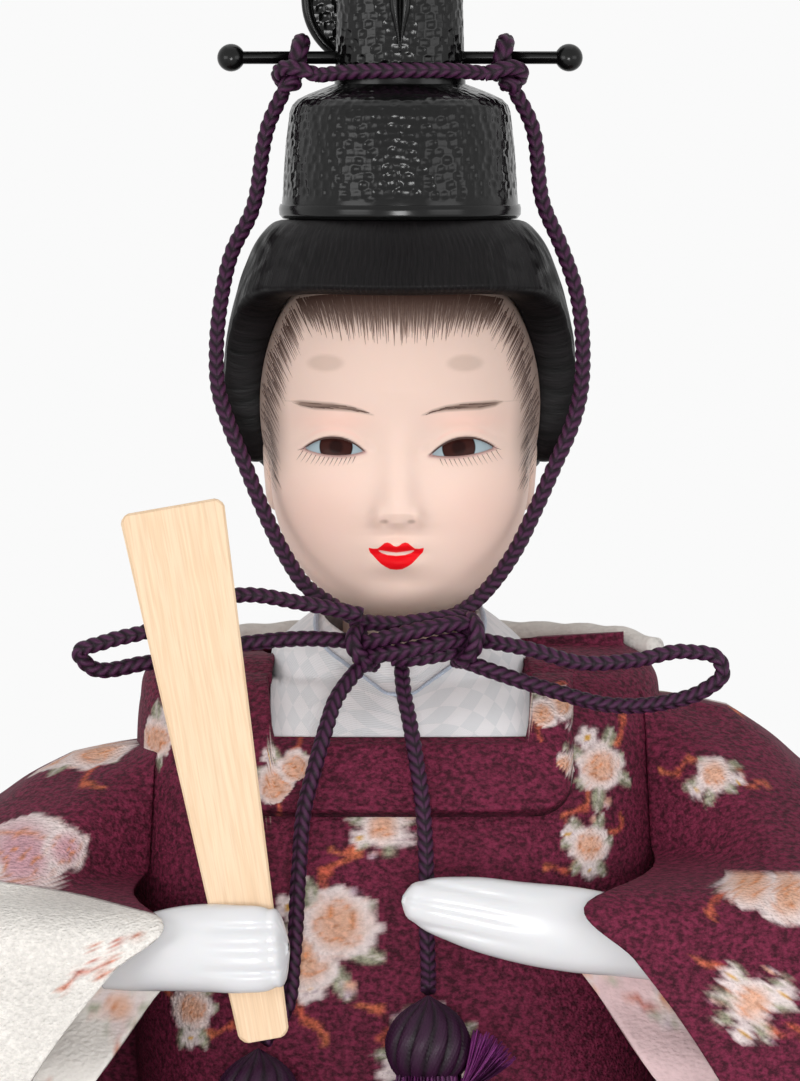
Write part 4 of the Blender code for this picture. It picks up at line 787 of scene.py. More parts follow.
@dataclass(frozen=True)
class Motif:
    """One printed motif: what it is, where it is centred, how big and how turned."""

    mark: Mark
    centre: tuple[float, float, float]
    radius: float
    turn: float = 0.0
    across: tuple[float, float, float] = (1.0, 0.0, 0.0)
    up: tuple[float, float, float] = (0.0, 0.0, 1.0)
    tint: float = 0.0
    heart: Dye = Dye.ROSE_PEACH

    def stamp(self, points: Points, colours: np.ndarray) -> None:
        """Print the motif over the colours of the points that it covers.

        Args:
            points: The cloth's points.
            colours: Their colours, changed in place.
        """
        away = points - np.array(self.centre)
        near = np.flatnonzero((away**2).sum(axis=1) < (1.5 * self.radius) ** 2)
        if not len(near):
            return
        x = away[near] @ np.array(self.across) / self.radius
        y = away[near] @ np.array(self.up) / self.radius
        x, y = x * cos(self.turn) + y * sin(self.turn), y * cos(self.turn) - x * sin(self.turn)
        alpha, ink = getattr(self, self.mark.value)(x, y)
        colours[near] += (ink - colours[near]) * alpha[:, None]

    def blur(self) -> float:
        """Give the print's soft edge as a share of the motif's radius."""
        return 0.35 * MM / self.radius

    def rose(self, x: np.ndarray, y: np.ndarray) -> tuple[np.ndarray, np.ndarray]:
        """Draw a full rose: ruffled rings of petals about an orange heart."""
        reach, angle = np.hypot(x, y), np.arctan2(y, x)
        edge = 0.92 + 0.07 * np.sin(5 * angle + self.tint) + 0.05 * np.sin(9 * angle + 2)
        alpha = smooth_step(edge + self.blur(), edge - self.blur(), reach)
        ruffle = 0.26 * np.sin(3 * angle + self.tint) + 0.14 * np.sin(5 * angle)
        lines = smooth_step(0.50, 0.1, np.abs(np.sin(pi * (reach * 2.1 + ruffle))))
        heart = smooth_step(0.92, 0.25, reach)
        ink = blend(Dye.ROSE_WHITE, self.heart, heart)
        ink += (linear(Dye.ROSE_ORANGE) - ink) * (lines * (0.20 + 0.70 * heart))[:, None]
        return alpha * 0.94, ink

    def blossom(self, x: np.ndarray, y: np.ndarray) -> tuple[np.ndarray, np.ndarray]:
        """Draw a five-petalled blossom with a yellow middle."""
        reach, angle = np.hypot(x, y), np.arctan2(y, x)
        edge = 0.62 + 0.34 * np.abs(np.cos(2.5 * angle))
        alpha = smooth_step(edge + self.blur(), edge - self.blur(), reach)
        veins = smooth_step(0.35, 0.0, np.abs(np.sin(2.5 * angle))) * smooth_step(0.9, 0.3, reach)
        ink = blend(Dye.ROSE_WHITE, Dye.LILAC, veins * 0.8)
        ink += (linear(Dye.POLLEN) - ink) * smooth_step(0.30, 0.18, reach)[:, None]
        return alpha * 0.9, ink

    def leaf(self, x: np.ndarray, y: np.ndarray) -> tuple[np.ndarray, np.ndarray]:
        """Draw a pointed leaf with a pale middle vein."""
        edge = 0.40 * np.clip(1 - x * x, 0, 1) ** 0.8
        alpha = smooth_step(self.blur(), -self.blur(), np.abs(y) - edge) * (np.abs(x) < 1)
        vein = smooth_step(0.12, 0.02, np.abs(y))
        return alpha * 0.85, blend(Dye.LEAF_GREY, Dye.ROSE_WHITE, vein * 0.6)

    def scroll(self, x: np.ndarray, y: np.ndarray) -> tuple[np.ndarray, np.ndarray]:
        """Draw a winding tendril with small lobes."""
        middle = 0.22 * np.sin(4.2 * x + self.tint)
        width = 0.075 + 0.10 * np.clip(np.sin(9 * x + self.tint), 0, 1) ** 2
        alpha = smooth_step(self.blur(), -self.blur(), np.abs(y - middle) - width)
        alpha = alpha * smooth_step(1.0, 0.85, np.abs(x))
        return alpha * 0.9, blend(Dye.SCROLL_RED, Dye.ROSE_ORANGE, np.abs(x) * 0.5)

    def bud(self, x: np.ndarray, y: np.ndarray) -> tuple[np.ndarray, np.ndarray]:
        """Draw a closed bud, darker at its foot."""
        reach = np.hypot(x, y * 1.5)
        alpha = smooth_step(0.8 + self.blur(), 0.8 - self.blur(), reach)
        return alpha * 0.85, blend(Dye.ROSE_PEACH, Dye.LILAC, smooth_step(-0.6, 0.6, x))


class Print:
    """Lays out sprays of motifs on a piece of cloth and prints them."""

    def __init__(self, seed: int) -> None:
        """Start an empty layout with its own fixed seed."""
        self.chance = np.random.default_rng(seed)
        self.motifs: list[Motif] = []

    def spray(
        self, centre: Sequence[float], radius: float, across: Sequence[float] = (1, 0, 0),
        up: Sequence[float] = (0, 0, 1), blooms: int = 2,
    ) -> None:
        """Add a spray: blooms at its middle with leaves, buds and scrolls about them.

        Args:
            centre: The spray's middle on the cloth.
            radius: How far it reaches.
            across: The cloth's direction to the right.
            up: The cloth's direction upwards.
            blooms: How many large roses it has.
        """
        start = self.chance.uniform(0, 2 * pi)
        across_axis, up_axis = np.array(across, float), np.array(up, float)

        def at(angle: float, reach: float) -> tuple[float, float, float]:
            moved = np.array(centre) + (across_axis * cos(angle) + up_axis * sin(angle)) * reach * radius
            return tuple(moved)

        def add(mark: Mark, angle: float, reach: float, size: float, turn: float) -> None:
            self.motifs.append(Motif(
                mark, at(angle, reach), size * radius, turn, tuple(across_axis), tuple(up_axis),
                self.chance.uniform(0, 6),
            ))

        for k in range(2):
            angle = start + pi * k + 0.6
            add(Mark.SCROLL, angle, 0.95, 0.62, angle + self.chance.uniform(-0.5, 0.5))
        for k in range(6):
            angle = start + 2 * pi * k / 6 + self.chance.uniform(-0.3, 0.3)
            add(Mark.LEAF, angle, 0.62, 0.34, angle)
        for k in range(3):
            angle = start + 2 * pi * k / 3 + 0.5
            add(Mark.BLOSSOM, angle, 0.66, self.chance.uniform(0.22, 0.30), angle)
            add(Mark.BUD, angle + 0.8, 0.78, 0.16, angle)
        for k in range(blooms):
            angle = start + 2 * pi * k / blooms
            add(Mark.ROSE, angle, 0.0 if blooms == 1 else 0.34, self.chance.uniform(0.50, 0.60), angle)

    def scatter(
        self, points: Points, normals: Points, spacing: float, radius: float, keep: np.ndarray | None = None
    ) -> None:
        """Strew sprays over a whole piece, well apart from each other and from what is there.

        Args:
            points: The cloth's points.
            normals: Its outward directions.
            spacing: The least distance between two sprays.
            radius: A spray's usual reach.
            keep: Which points may carry a spray.
        """
        taken = [np.array(motif.centre) for motif in self.motifs]
        allowed = np.flatnonzero(np.ones(len(points), bool) if keep is None else keep)
        if not len(allowed):
            return
        for index in self.chance.choice(allowed, 900):
            place = points[index]
            if any(np.linalg.norm(place - other) < spacing for other in taken):
                continue
            taken.append(place)
            normal = normals[index]
            across = np.cross((0, 0, 1), normal) if abs(normal[2]) < 0.9 else np.array([1.0, 0, 0])
            across /= np.linalg.norm(across)
            up = np.cross(normal, across)
            reach = radius * self.chance.uniform(0.75, 1.1)
            self.spray(place, reach, across, up, int(self.chance.integers(1, 4)))

    def stamp(self, points: Points, colours: np.ndarray) -> None:
        """Print every motif in the order of the layout."""
        for motif in self.motifs:
            motif.stamp(points, colours)


def crepe_ground(points: Points, dye: Dye) -> np.ndarray:
    """Give every point the ground colour with a slow, uneven dyeing.

    Args:
        points: The cloth's points.
        dye: The ground colour.

    Returns:
        One colour for each point.
    """
    first = np.sin(points @ np.array([210.0, 90.0, 160.0]))
    second = np.sin(points @ np.array([-70.0, 130.0, 240.0]) + 1)
    return linear(dye) * (1 + 0.06 * (first * second))[:, None]


def print_cloth(
    cloth: bpy.types.Object, pattern: Print, ground: Dye = Dye.BURGUNDY, name: str = "dye"
) -> np.ndarray:
    """Dye a piece of cloth, print a pattern on it and keep the colours on its points.

    Args:
        cloth: The piece.
        pattern: The layout of motifs.
        ground: The ground colour.
        name: The attribute that keeps the colours.

    Returns:
        The cloth's points.
    """
    points = vertex_places(cloth)
    colours = crepe_ground(points, ground)
    pattern.stamp(points, colours)
    store_colour(cloth, colours, name)
    return points


def strew(
    cloth: bpy.types.Object, seed: int, spacing: float, radius: float, ground: Dye = Dye.BURGUNDY
) -> None:
    """Strew a whole piece of cloth with sprays and print it."""
    pattern = Print(seed)
    pattern.scatter(vertex_places(cloth), vertex_normals(cloth), spacing, radius)
    print_cloth(cloth, pattern, ground)


# Body sizes that the cloth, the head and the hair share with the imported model

SHOULDER_Z = 0.163
TORSO_HALF, CHEST, BACK = 0.0352, 0.035, 0.030
TORSO_ROUND = 2.6
LAP_HEIGHT, LAP_HALF, LAP_FRONT, LAP_REAR = 0.073, 0.067, 0.092, 0.040
LAP_ROUND = 2.5
CREASE_DEPTH, CREASE_HALF = 0.009, 0.013


def rounded(share: Numbers, roundness: float) -> Numbers:
    """Bend a sine or cosine towards a rounded rectangle's."""
    return np.sign(share) * np.abs(share) ** (2 / roundness)


def torso_sizes(z: Numbers) -> np.ndarray:
    """Read the dressed torso's half-width, front depth and back depth at some heights."""
    return table(
        z / SHOULDER_Z,
        (0.02, 0.37, 0.55, 0.69, 0.82, 0.92, 0.975, 1.0, 1.012, 1.02),
        [
            (0.88, 0.90, 0.95), (0.90, 0.92, 0.95), (0.96, 0.95, 0.97), (1.02, 1.00, 1.00),
            (1.03, 0.95, 1.00), (1.015, 0.84, 0.90), (1.0, 0.68, 0.78), (0.975, 0.50, 0.60),
            (0.93, 0.34, 0.42), (0.86, 0.06, 0.08),
        ],
    ) * np.array([TORSO_HALF, CHEST, BACK])


def torso_points(angle: np.ndarray, z: np.ndarray, proud: float = 0.0) -> Points:
    """Place points on the dressed torso.

    Args:
        angle: Round the torso, from +X towards +Y.
        z: Their heights.
        proud: How far outside the torso they lie.

    Returns:
        The points.
    """
    sizes = torso_sizes(z) + proud
    across, side = rounded(np.cos(angle), TORSO_ROUND), rounded(np.sin(angle), TORSO_ROUND)
    depth = np.where(side > 0, sizes[:, 2], sizes[:, 1])
    return np.stack([sizes[:, 0] * across, depth * side, z], axis=1)


def chest_y(x: Numbers, z: Numbers) -> Numbers:
    """Find how far forward the chest is at a place seen from the front."""
    sizes = torso_sizes(z)
    inside = np.clip(1 - np.abs(x / sizes[..., 0]) ** TORSO_ROUND, 0, 1)
    return -sizes[..., 1] * inside ** (1 / TORSO_ROUND)


def lap_points(angle: Numbers, z: Numbers, proud: float = 0.0) -> Points:
    """Place points on the folded legs' dome.

    Args:
        angle: Round the lap, from +X towards +Y.
        z: Their heights.
        proud: How far outside the dome they lie.

    Returns:
        The points.
    """
    sizes = table(
        z / LAP_HEIGHT,
        (0.007, 0.27, 0.54, 0.75, 0.90, 1.0),
        [
            (0.985, 0.965, 1.0), (1.0, 1.0, 0.95), (0.925, 0.935, 0.91), (0.76, 0.745, 0.87),
            (0.62, 0.53, 0.84), (0.545, 0.405, 0.82),
        ],
    ) * np.array([LAP_HALF, LAP_FRONT, LAP_REAR]) + proud
    across, side = rounded(np.cos(angle), LAP_ROUND), rounded(np.sin(angle), LAP_ROUND)
    x = sizes[..., 0] * across
    crease = CREASE_DEPTH * (1 - z / LAP_HEIGHT) * np.exp(-((x / CREASE_HALF) ** 2))
    depth = np.where(side > 0, sizes[..., 2], sizes[..., 1] - crease)
    return np.stack([x, depth * side, z], axis=-1)


class Part:
    """A sub-assembly of the doll that rides on one of its bodies."""

    body = "torso"

    def __init__(self, finishes: Finishes) -> None:
        """Keep the shared finishes."""
        self.finishes = finishes

    def finish(
        self, obj: bpy.types.Object, material: bpy.types.Material, slot: str, nodes: Sequence[str] = (),
        body: str | None = None,
    ) -> bpy.types.Object:
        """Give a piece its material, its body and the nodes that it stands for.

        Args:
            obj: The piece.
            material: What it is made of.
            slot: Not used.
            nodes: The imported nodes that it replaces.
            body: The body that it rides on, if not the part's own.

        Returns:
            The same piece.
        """
        obj.data.materials.clear()
        obj.data.materials.append(material)
        if nodes:
            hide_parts(*nodes)
        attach(obj, body or self.body)
        LOG.info("%s: %d faces", obj.name, len(obj.data.polygons))
        return obj


@dataclass
class RobeSizes:
    """The robe's cloth and its collar band, in metres."""

    cloth: float = 0.7 * MM
    hem_z: float = 60 * MM
    band_half: float = 23.4 * MM
    band_foot: float = 144.2 * MM
    band_top: float = 154.8 * MM
    band_side_top: float = 163.0 * MM
    band_proud: float = 2.2 * MM
    neck_half: float = 17.0 * MM


class Robe(Part):
    """The crepe robe on the torso: front and back panels, collar band and the under robe's roll."""

    def __init__(self, finishes: Finishes, sizes: RobeSizes) -> None:
        """Keep the finishes and the sizes."""
        super().__init__(finishes)
        self.sizes = sizes

    def build(self) -> None:
        """Make and dress all of the robe's pieces."""
        self.front()
        self.back()
        self.collar_band()
        self.under_roll()

    def top(self, x: np.ndarray) -> np.ndarray:
        """Give the front panel's upper edge, which dips behind the collar band."""
        opening = smooth_step(19.0 * MM, 17.2 * MM, np.abs(x))
        shoulder = 166.2 * MM + 0.045 * x
        return shoulder + (153.6 * MM - shoulder) * opening

    def front(self) -> None:
        """Drape the chest and print the sprays where they lie."""
        sizes = self.sizes
        half = 36.6 * MM

        def place(across: np.ndarray, along: np.ndarray) -> Points:
            turn = pi + pi * across
            guess = half * rounded(np.cos(turn), TORSO_ROUND)
            top = self.top(guess)
            z = sizes.hem_z + (top - sizes.hem_z) * np.interp(along, [0, 0.2, 0.95, 1], [0, 0.44, 1, 1])
            points = torso_points(turn, np.minimum(z, 1.02 * SHOULDER_Z), 0.2 * MM)
            over = smooth_step(0.95, 1.0, along) * smooth_step(17.6 * MM, 19.0 * MM, np.abs(points[:, 0]))
            points[:, 1] += (2.5 * MM - points[:, 1]) * over
            fold = 0.5 * MM * np.sin(points[:, 0] * 260 + 1) * smooth_step(0.15, 0.05, z)
            points[:, 1] += fold * np.sin(pi * across)
            points[:, 2] = z
            return points

        robe = grid_piece("robe_front_cloth", 184, 206, place, outward=Vector((0, 0, 0.11)))
        pattern = Print(7)
        for x, z, radius, blooms in (
            (-10.6, 127.5, 9.5, 2), (-2.3, 143.0, 5.2, 1), (-14.8, 149.5, 5.5, 1), (27.0, 150.5, 6.5, 1),
            (25.5, 140.0, 5.0, 1), (-33.0, 154.0, 5.5, 1), (31.5, 127.0, 7.0, 2), (4.0, 112.0, 8.0, 2),
            (-28.0, 118.0, 6.0, 1), (-8.0, 96.0, 9.0, 2), (22.0, 96.0, 8.0, 2),
        ):
            at = (x * MM, float(chest_y(x * MM, z * MM)), z * MM)
            pattern.spray(at, radius * MM, blooms=blooms)
        print_cloth(robe, pattern)
        thicken(robe, sizes.cloth)
        self.finish(robe, self.finishes.crepe, "burgundy_crepe", ["robe_front"])

    def back(self) -> None:
        """Drape the back and strew it with the same sprays."""
        sizes = self.sizes

        def place(across: np.ndarray, along: np.ndarray) -> Points:
            turn = pi * across
            z = sizes.hem_z + (166.0 * MM - sizes.hem_z) * along
            points = torso_points(turn, z, 0.2 * MM)
            pleat = 0.8 * MM * smooth_step(2.6 * MM, 1.2 * MM, np.abs(np.abs(points[:, 0]) - 10 * MM))
            points[:, 1] += pleat * np.sin(pi * across)
            return points

        robe = grid_piece("robe_back_cloth", 120, 170, place, outward=Vector((0, 0, 0.11)))
        strew(robe, 12, 22 * MM, 8.5 * MM)
        thicken(robe, sizes.cloth)
        self.finish(robe, self.finishes.crepe, "burgundy_crepe", ["robe_back"])

    def collar_band(self) -> None:
        """Lay the stiff collar band on the chest, rising at both sides of the neck, with a painted shadow along its
        foot.
        """
        sizes = self.sizes

        def outline(x: np.ndarray) -> tuple[np.ndarray, np.ndarray]:
            side = smooth_step(sizes.neck_half, sizes.neck_half + 1.0 * MM, np.abs(x))
            top = sizes.band_top + (sizes.band_side_top - sizes.band_top) * side
            corner = np.clip((np.abs(x) - (sizes.band_half - 5 * MM)) / (5 * MM), 0, 1)
            foot = sizes.band_foot + 5 * MM * (1 - np.sqrt(np.clip(1 - corner**2, 0, 1)))
            return foot, top

        def place(across: np.ndarray, along: np.ndarray) -> Points:
            spread = 2 * across - 1
            x = sizes.band_half * (spread + 0.10 * np.sin(2 * pi * spread) / 2)
            foot, top = outline(x)
            z = foot + (top - foot) * along
            edge = np.minimum(np.minimum(z - foot, top - z), sizes.band_half - np.abs(x))
            lift = sizes.band_proud * (0.25 + 0.75 * smooth_step(0, 1.2 * MM, edge))
            seam = 0.25 * MM * smooth_step(0.5 * MM, 0, np.abs(z - foot - 2.0 * MM))
            return np.stack([x, chest_y(x, z) - 0.7 * MM - lift + seam, z], axis=1)

        band = grid_piece("robe_collar_band", 150, 60, place, outward=Vector((0, 0.02, 0.15)))
        points = vertex_places(band)
        pattern = Print(3)
        pattern.spray((20.5 * MM, -0.024, 158.5 * MM), 4.6 * MM)
        pattern.spray((22.0 * MM, -0.026, 151.0 * MM), 3.2 * MM, blooms=1)
        pattern.spray((-15.4 * MM, -0.028, 149.5 * MM), 5.2 * MM)
        colours = crepe_ground(points, Dye.BURGUNDY)
        pattern.stamp(points, colours)
        # Painted shadow: the band darkens within 0.9 mm of its foot, where it stands off the chest.
        foot, _ = outline(points[:, 0])
        seam = smooth_step(0.9 * MM, 0.4 * MM, points[:, 2] - foot)
        colours += (linear(Dye.BURGUNDY_DEEP) * 0.35 - colours) * (0.8 * seam)[:, None]
        store_colour(band, colours)
        thicken(band, 1.2 * MM)
        self.finish(band, self.finishes.crepe, "burgundy_crepe", ["robe_collar"])

    def under_roll(self) -> None:
        """Lay the pale under robe's soft collar roll round the back of the neck."""
        route = [
            (-0.0325, 0.0000, 0.1646), (-0.0285, 0.0070, 0.1653), (-0.0195, 0.0138, 0.1662),
            (0, 0.0180, 0.1666), (0.0195, 0.0138, 0.1664), (0.0285, 0.0070, 0.1662), (0.0350, 0.0000, 0.1656),
        ]
        path = even_path(route, 90)

        def relief(angle: np.ndarray, along: np.ndarray) -> np.ndarray:
            ends = np.minimum(along, path_length(path) - along)
            tapered = 0.62 + 0.38 * smooth_step(0, 8 * MM, ends)
            return tapered * (1 + 0.06 * np.sin(along * 900 + 2 * angle))

        roll = tube_piece("under_robe_roll", path, 2.3 * MM, 24, relief)
        store_colour(roll, crepe_ground(vertex_places(roll), Dye.PALE_CREPE))
        self.finish(roll, self.finishes.pale_crepe, "pale_crepe", ["under_robe_yoke"])


@dataclass
class NeckSizes:
    """The crossed white collar at the neck, in metres."""

    foot_z: float = 150.5 * MM
    side_z: float = 171.5 * MM
    cross_z: float = 158.8 * MM
    half: float = 17.5 * MM
    edge_radius: float = 0.36 * MM


class NeckCollar(Part):
    """The white under-collar, crossed at the throat and edged with grey braid."""

    def __init__(self, finishes: Finishes, sizes: NeckSizes) -> None:
        """Keep the finishes and the sizes."""
        super().__init__(finishes)
        self.sizes = sizes

    def place_at(
        self, angle: np.ndarray, level: np.ndarray, inset: float = 0.0, rise: float = 0.0
    ) -> Points:
        """Place points on the collar's funnel.

        Args:
            angle: Round the neck, from +X towards +Y.
            level: From 0 at the foot to 1 at the upper edge.
            inset: How far inside the outer face they lie.
            rise: How much higher than the outer collar's the crossing is.

        Returns:
            The points.
        """
        sizes = self.sizes
        x = (sizes.half - inset) * rounded(np.cos(angle), 3.4)
        slope = (sizes.side_z - sizes.cross_z - rise) / sizes.half
        vee = sizes.cross_z + rise + slope * np.sqrt(x * x + (1.2 * MM) ** 2)
        blend = smooth_step(-0.15, 0.25, np.sin(angle))
        top = vee + (sizes.side_z - vee) * blend
        z = sizes.foot_z + (top - sizes.foot_z) * level
        lean = (z - sizes.foot_z) / (sizes.side_z - sizes.foot_z)
        front = (26.6 - 12.0 * lean) * MM - inset
        back = 12.5 * MM - inset
        lap = 0.45 * MM * smooth_step(-1.2 * MM, 1.2 * MM, x + (z - sizes.cross_z) * 0.75)
        forward = np.clip(-np.sin(angle), 0, 1)
        y = (back - front) / 2 + (back + front) / 2 * rounded(np.sin(angle), 3.4) - lap * forward
        bib = chest_y(x, np.minimum(z, SHOULDER_Z)) - 0.5 * MM + inset
        y = np.where((np.sin(angle) < 0) & (z < 162 * MM), np.minimum(y, bib), y)
        closing = np.clip((z - 165.5 * MM) / (6.3 * MM), 0, 1) ** 1.3
        x, y = x * (1 - 0.40 * closing), y * (1 - 0.26 * closing) - 0.9 * MM * closing
        return np.stack([x, y, z], axis=1)

    def build(self) -> None:
        """Make the outer collar, the lining and the braided edge."""
        for name, inset, rise, node in (
            ("white_collar", 0.0, 0.0, "inner_collar"), ("white_collar_lining", 1.2 * MM, 6.2 * MM, "")
        ):
            collar = grid_piece(
                name, 160, 40,
                lambda across, along, depth=inset, lift=rise: self.place_at(
                    2 * pi * across, along, depth, lift
                ),
                closed=True, outward=Vector((0, 0, 0.16)),
            )
            scale = np.array([2 * pi * self.sizes.half * 0.95, self.sizes.side_z - self.sizes.foot_z])
            layer = collar.data.uv_layers[0].data
            flat = np.empty(len(layer) * 2, np.float32)
            layer.foreach_get("uv", flat)
            layer.foreach_set("uv", (flat.reshape(-1, 2) * scale).astype(np.float32).ravel())
            thicken(collar, 0.5 * MM)
            self.finish(collar, self.finishes.check_silk, "white_silk", [node] if node else [])
        self.braid()

    def braid(self) -> None:
        """Run the grey braided edging along the collar's crossed fronts."""
        edges = []
        for name, start, end in (("near", 1.5 * pi - 0.02, 2.28 * pi), ("far", 1.5 * pi + 0.02, 0.72 * pi)):
            angle = np.linspace(start, end, 60)
            path = even_path(self.place_at(angle, np.ones(60), 0.2 * MM), 160)
            relief = braid_relief(0.6 * MM)
            edges.append(tube_piece(f"collar_edge_{name}", path, self.sizes.edge_radius, 16, relief))
        edge = joined("collar_braid_edge", edges)
        store_plain(edge, Dye.BRAID_GREY)
        self.finish(edge, self.finishes.tassel, "grey_braid", ["collar_lining"])


def braid_relief(pitch: float, columns: int = 2) -> Callable[[np.ndarray, np.ndarray], np.ndarray]:
    """Give a round braid's relief: columns of plump stitches that lean left and right by turns.

    Args:
        pitch: How far along the cord one stitch is from the next.
        columns: Columns that lean each way.

    Returns:
        A function of the angle and the distance along that gives the share of the radius.
    """

    def relief(angle: np.ndarray, along: np.ndarray) -> np.ndarray:
        lean = 4 * angle / (2 * pi)
        right = np.abs(np.cos(pi * (lean + along / pitch))) ** 0.7
        left = np.abs(np.cos(pi * (lean - along / pitch))) ** 0.7
        column = np.cos(columns * angle)
        high = np.maximum(right * smooth_step(-0.75, 0.55, column), left * smooth_step(0.75, -0.55, column))
        return 0.74 + 0.26 * high

    return relief


def braid_colours(obj: bpy.types.Object, path: Points, radius: float, low: Dye, high: Dye) -> np.ndarray:
    """Paint shade and highlight on a braid by how far each point stands from the centreline.

    Args:
        obj: The braid.
        path: Its centreline.
        radius: Its outer radius.
        low: The painted shade between the strands.
        high: The painted highlight on top of them.

    Returns:
        One colour for each point.
    """
    points = vertex_places(obj)
    away = np.full(len(points), 1.0)
    for start in range(0, len(points), 4000):
        part = points[start:start + 4000]
        away[start:start + 4000] = np.sqrt(((part[:, None] - path[None]) ** 2).sum(axis=2).min(axis=1))
    # Painted shade between the strands and painted highlight on their tops.
    return blend(low, high, smooth_step(0.84 * radius, radius, away) ** 1.5)


@dataclass
class SkirtSizes:
    """The skirt, its hem, the trousers and the train, in metres."""

    cloth: float = 0.7 * MM
    edge_y: float = -64 * MM
    edge_z: float = 50 * MM
    hem: float = 9 * MM
    train_half: float = 37 * MM
    train_flare: float = 16 * MM
    train_length: float = 64 * MM


class LowerDress(Part):
    """What covers the folded legs: skirt, hem band, trousers, train and the belt above them."""

    def __init__(self, finishes: Finishes, sizes: SkirtSizes) -> None:
        """Keep the finishes and the sizes."""
        super().__init__(finishes)
        self.sizes = sizes

    def lap_piece(
        self, name: str, proud: float, folds: float, keeps: Sequence[tuple[Vector, Vector]]
    ) -> bpy.types.Object:
        """Shape a piece of the lap's surface and cut it to the given planes.

        Args:
            name: The piece's name.
            proud: How far outside the lap it lies.
            folds: How deep its soft folds are.
            keeps: Points and outward directions of the planes that bound it.

        Returns:
            The open sheet.
        """

        def place(across: np.ndarray, along: np.ndarray) -> Points:
            angle = 2 * pi * across
            z = LAP_HEIGHT * (0.007 + 0.993 * along)
            drape = np.sin(pi * np.clip(along * 1.1, 0, 1)) * (0.5 - 0.5 * np.cos(13 * angle + 5 * along))
            narrow = 1 - folds * drape
            return lap_points(angle, z, proud) * np.stack([narrow, narrow, np.ones(len(angle))], axis=1)

        piece = grid_piece(name, 300, 110, place, closed=True, outward=Vector((0, 0, 0.003)))
        mesh = bmesh.new()
        mesh.from_mesh(piece.data)
        for point, normal in keeps:
            geometry = mesh.verts[:] + mesh.edges[:] + mesh.faces[:]
            bmesh.ops.bisect_plane(
                mesh, geom=geometry, dist=0.001 * MM, plane_co=point, plane_no=normal, clear_outer=True
            )
        mesh.to_mesh(piece.data)
        mesh.free()
        return piece

    def build(self) -> None:
        """Make and dress the pieces."""
        sizes = self.sizes
        across = Vector((0, -1, -1)).normalized()
        edge = Vector((0, sizes.edge_y, sizes.edge_z))
        skirt = self.lap_piece("skirt_cloth", 0.3 * MM, 0.022, [(edge, across)])
        strew(skirt, 21, 24 * MM, 9 * MM)
        thicken(skirt, sizes.cloth)
        self.finish(skirt, self.finishes.crepe, "burgundy_crepe", ["skirt"])
        band = [(edge - across * 1.0 * MM, -across), (edge + across * sizes.hem, across)]
        hem = self.lap_piece("hem_band_cloth", 0.9 * MM, 0.0, band)
        store_colour(hem, crepe_ground(vertex_places(hem), Dye.BURGUNDY_DEEP))
        thicken(hem, 1.0 * MM)
        self.finish(hem, self.finishes.crepe, "burgundy_crepe", ["hem_band"])
        for word, side in (("left", 1), ("right", -1)):
            cut = (Vector((side * 0.25 * MM, 0, 0)), Vector((-side, 0, 0)))
            keeps = [(edge - across * 6 * MM, -across), cut]
            leg = self.lap_piece(f"{word}_trouser_cloth", -1.0 * MM, 0.012, keeps)
            self.weave_lattice(leg)
            thicken(leg, sizes.cloth)
            self.finish(leg, self.finishes.trouser, "trouser_silk", [f"{word}_hakama"])
        self.train()
        self.belt()

    def weave_lattice(self, obj: bpy.types.Object) -> None:
        """Colour the trousers with a fine woven diamond lattice."""
        points = vertex_places(obj)
        pitch = 5 * MM
        first = np.abs(np.sin(pi * (points[:, 0] + points[:, 2] - 0.4 * points[:, 1]) / pitch))
        second = np.abs(np.sin(pi * (points[:, 0] - points[:, 2] + 0.4 * points[:, 1]) / pitch))
        line = smooth_step(0.32, 0.1, np.minimum(first, second))
        ground = crepe_ground(points, Dye.TROUSER)
        store_colour(obj, ground + (linear(Dye.COLLAR_WHITE) - ground) * (line * 0.7)[:, None])

    def train(self) -> None:
        """Lay the back panel on the floor behind, with two soft folds."""
        sizes = self.sizes

        def place(across: np.ndarray, along: np.ndarray) -> Points:
            spread = 2 * across - 1
            half = sizes.train_half + sizes.train_flare * along
            fold = 1.9 * MM * (1 + np.cos(2 * pi * spread)) * along
            z = 9 * MM * (1 - along) ** 2 + fold + 1.2 * MM + 0.3 * MM * np.sin(5 * pi * spread) * along
            y = LAP_REAR * 0.985 + 0.4 * MM + sizes.train_length * along
            return np.stack([half * spread, y, z], axis=1)

        train = grid_piece("train_cloth", 150, 90, place, outward=Vector((0, 0.07, -0.05)))
        strew(train, 33, 22 * MM, 8.5 * MM)
        thicken(train, sizes.cloth)
        self.finish(train, self.finishes.crepe, "burgundy_crepe", ["train"])

    def belt(self) -> None:
        """Turn the lacquered leather belt round the waist, with its rounded edges."""

        def place(across: np.ndarray, along: np.ndarray) -> Points:
            turn = 2 * pi * along
            z = 77 * MM + 4.5 * MM * rounded(np.sin(turn), 5)
            proud = 1.5 * MM + 0.9 * MM * rounded(np.cos(turn), 3)
            sizes = torso_sizes(z) + proud[:, None]
            angle = 2 * pi * across
            side = rounded(np.sin(angle), TORSO_ROUND)
            depth = np.where(side > 0, sizes[:, 2], sizes[:, 1])
            return np.stack([sizes[:, 0] * rounded(np.cos(angle), TORSO_ROUND), depth * side, z], axis=1)

        belt = grid_piece("lacquered_belt", 180, 24, place, closed=True)
        self.finish(belt, self.finishes.belt, "belt_leather", ["waist_belt"])


@dataclass(frozen=True)
class SleeveSizes:
    """One sleeve: its side, how its shoulder drops, its cuff's shift and its forearm's cloth."""

    word: str
    side: int
    drop: float
    cuff_shift: float
    pale_forearm: bool
    top: float = 0.158
    reach: float = 0.128
    front: float = 0.062
    back: float = 0.031
    cloth: float = 0.7 * MM


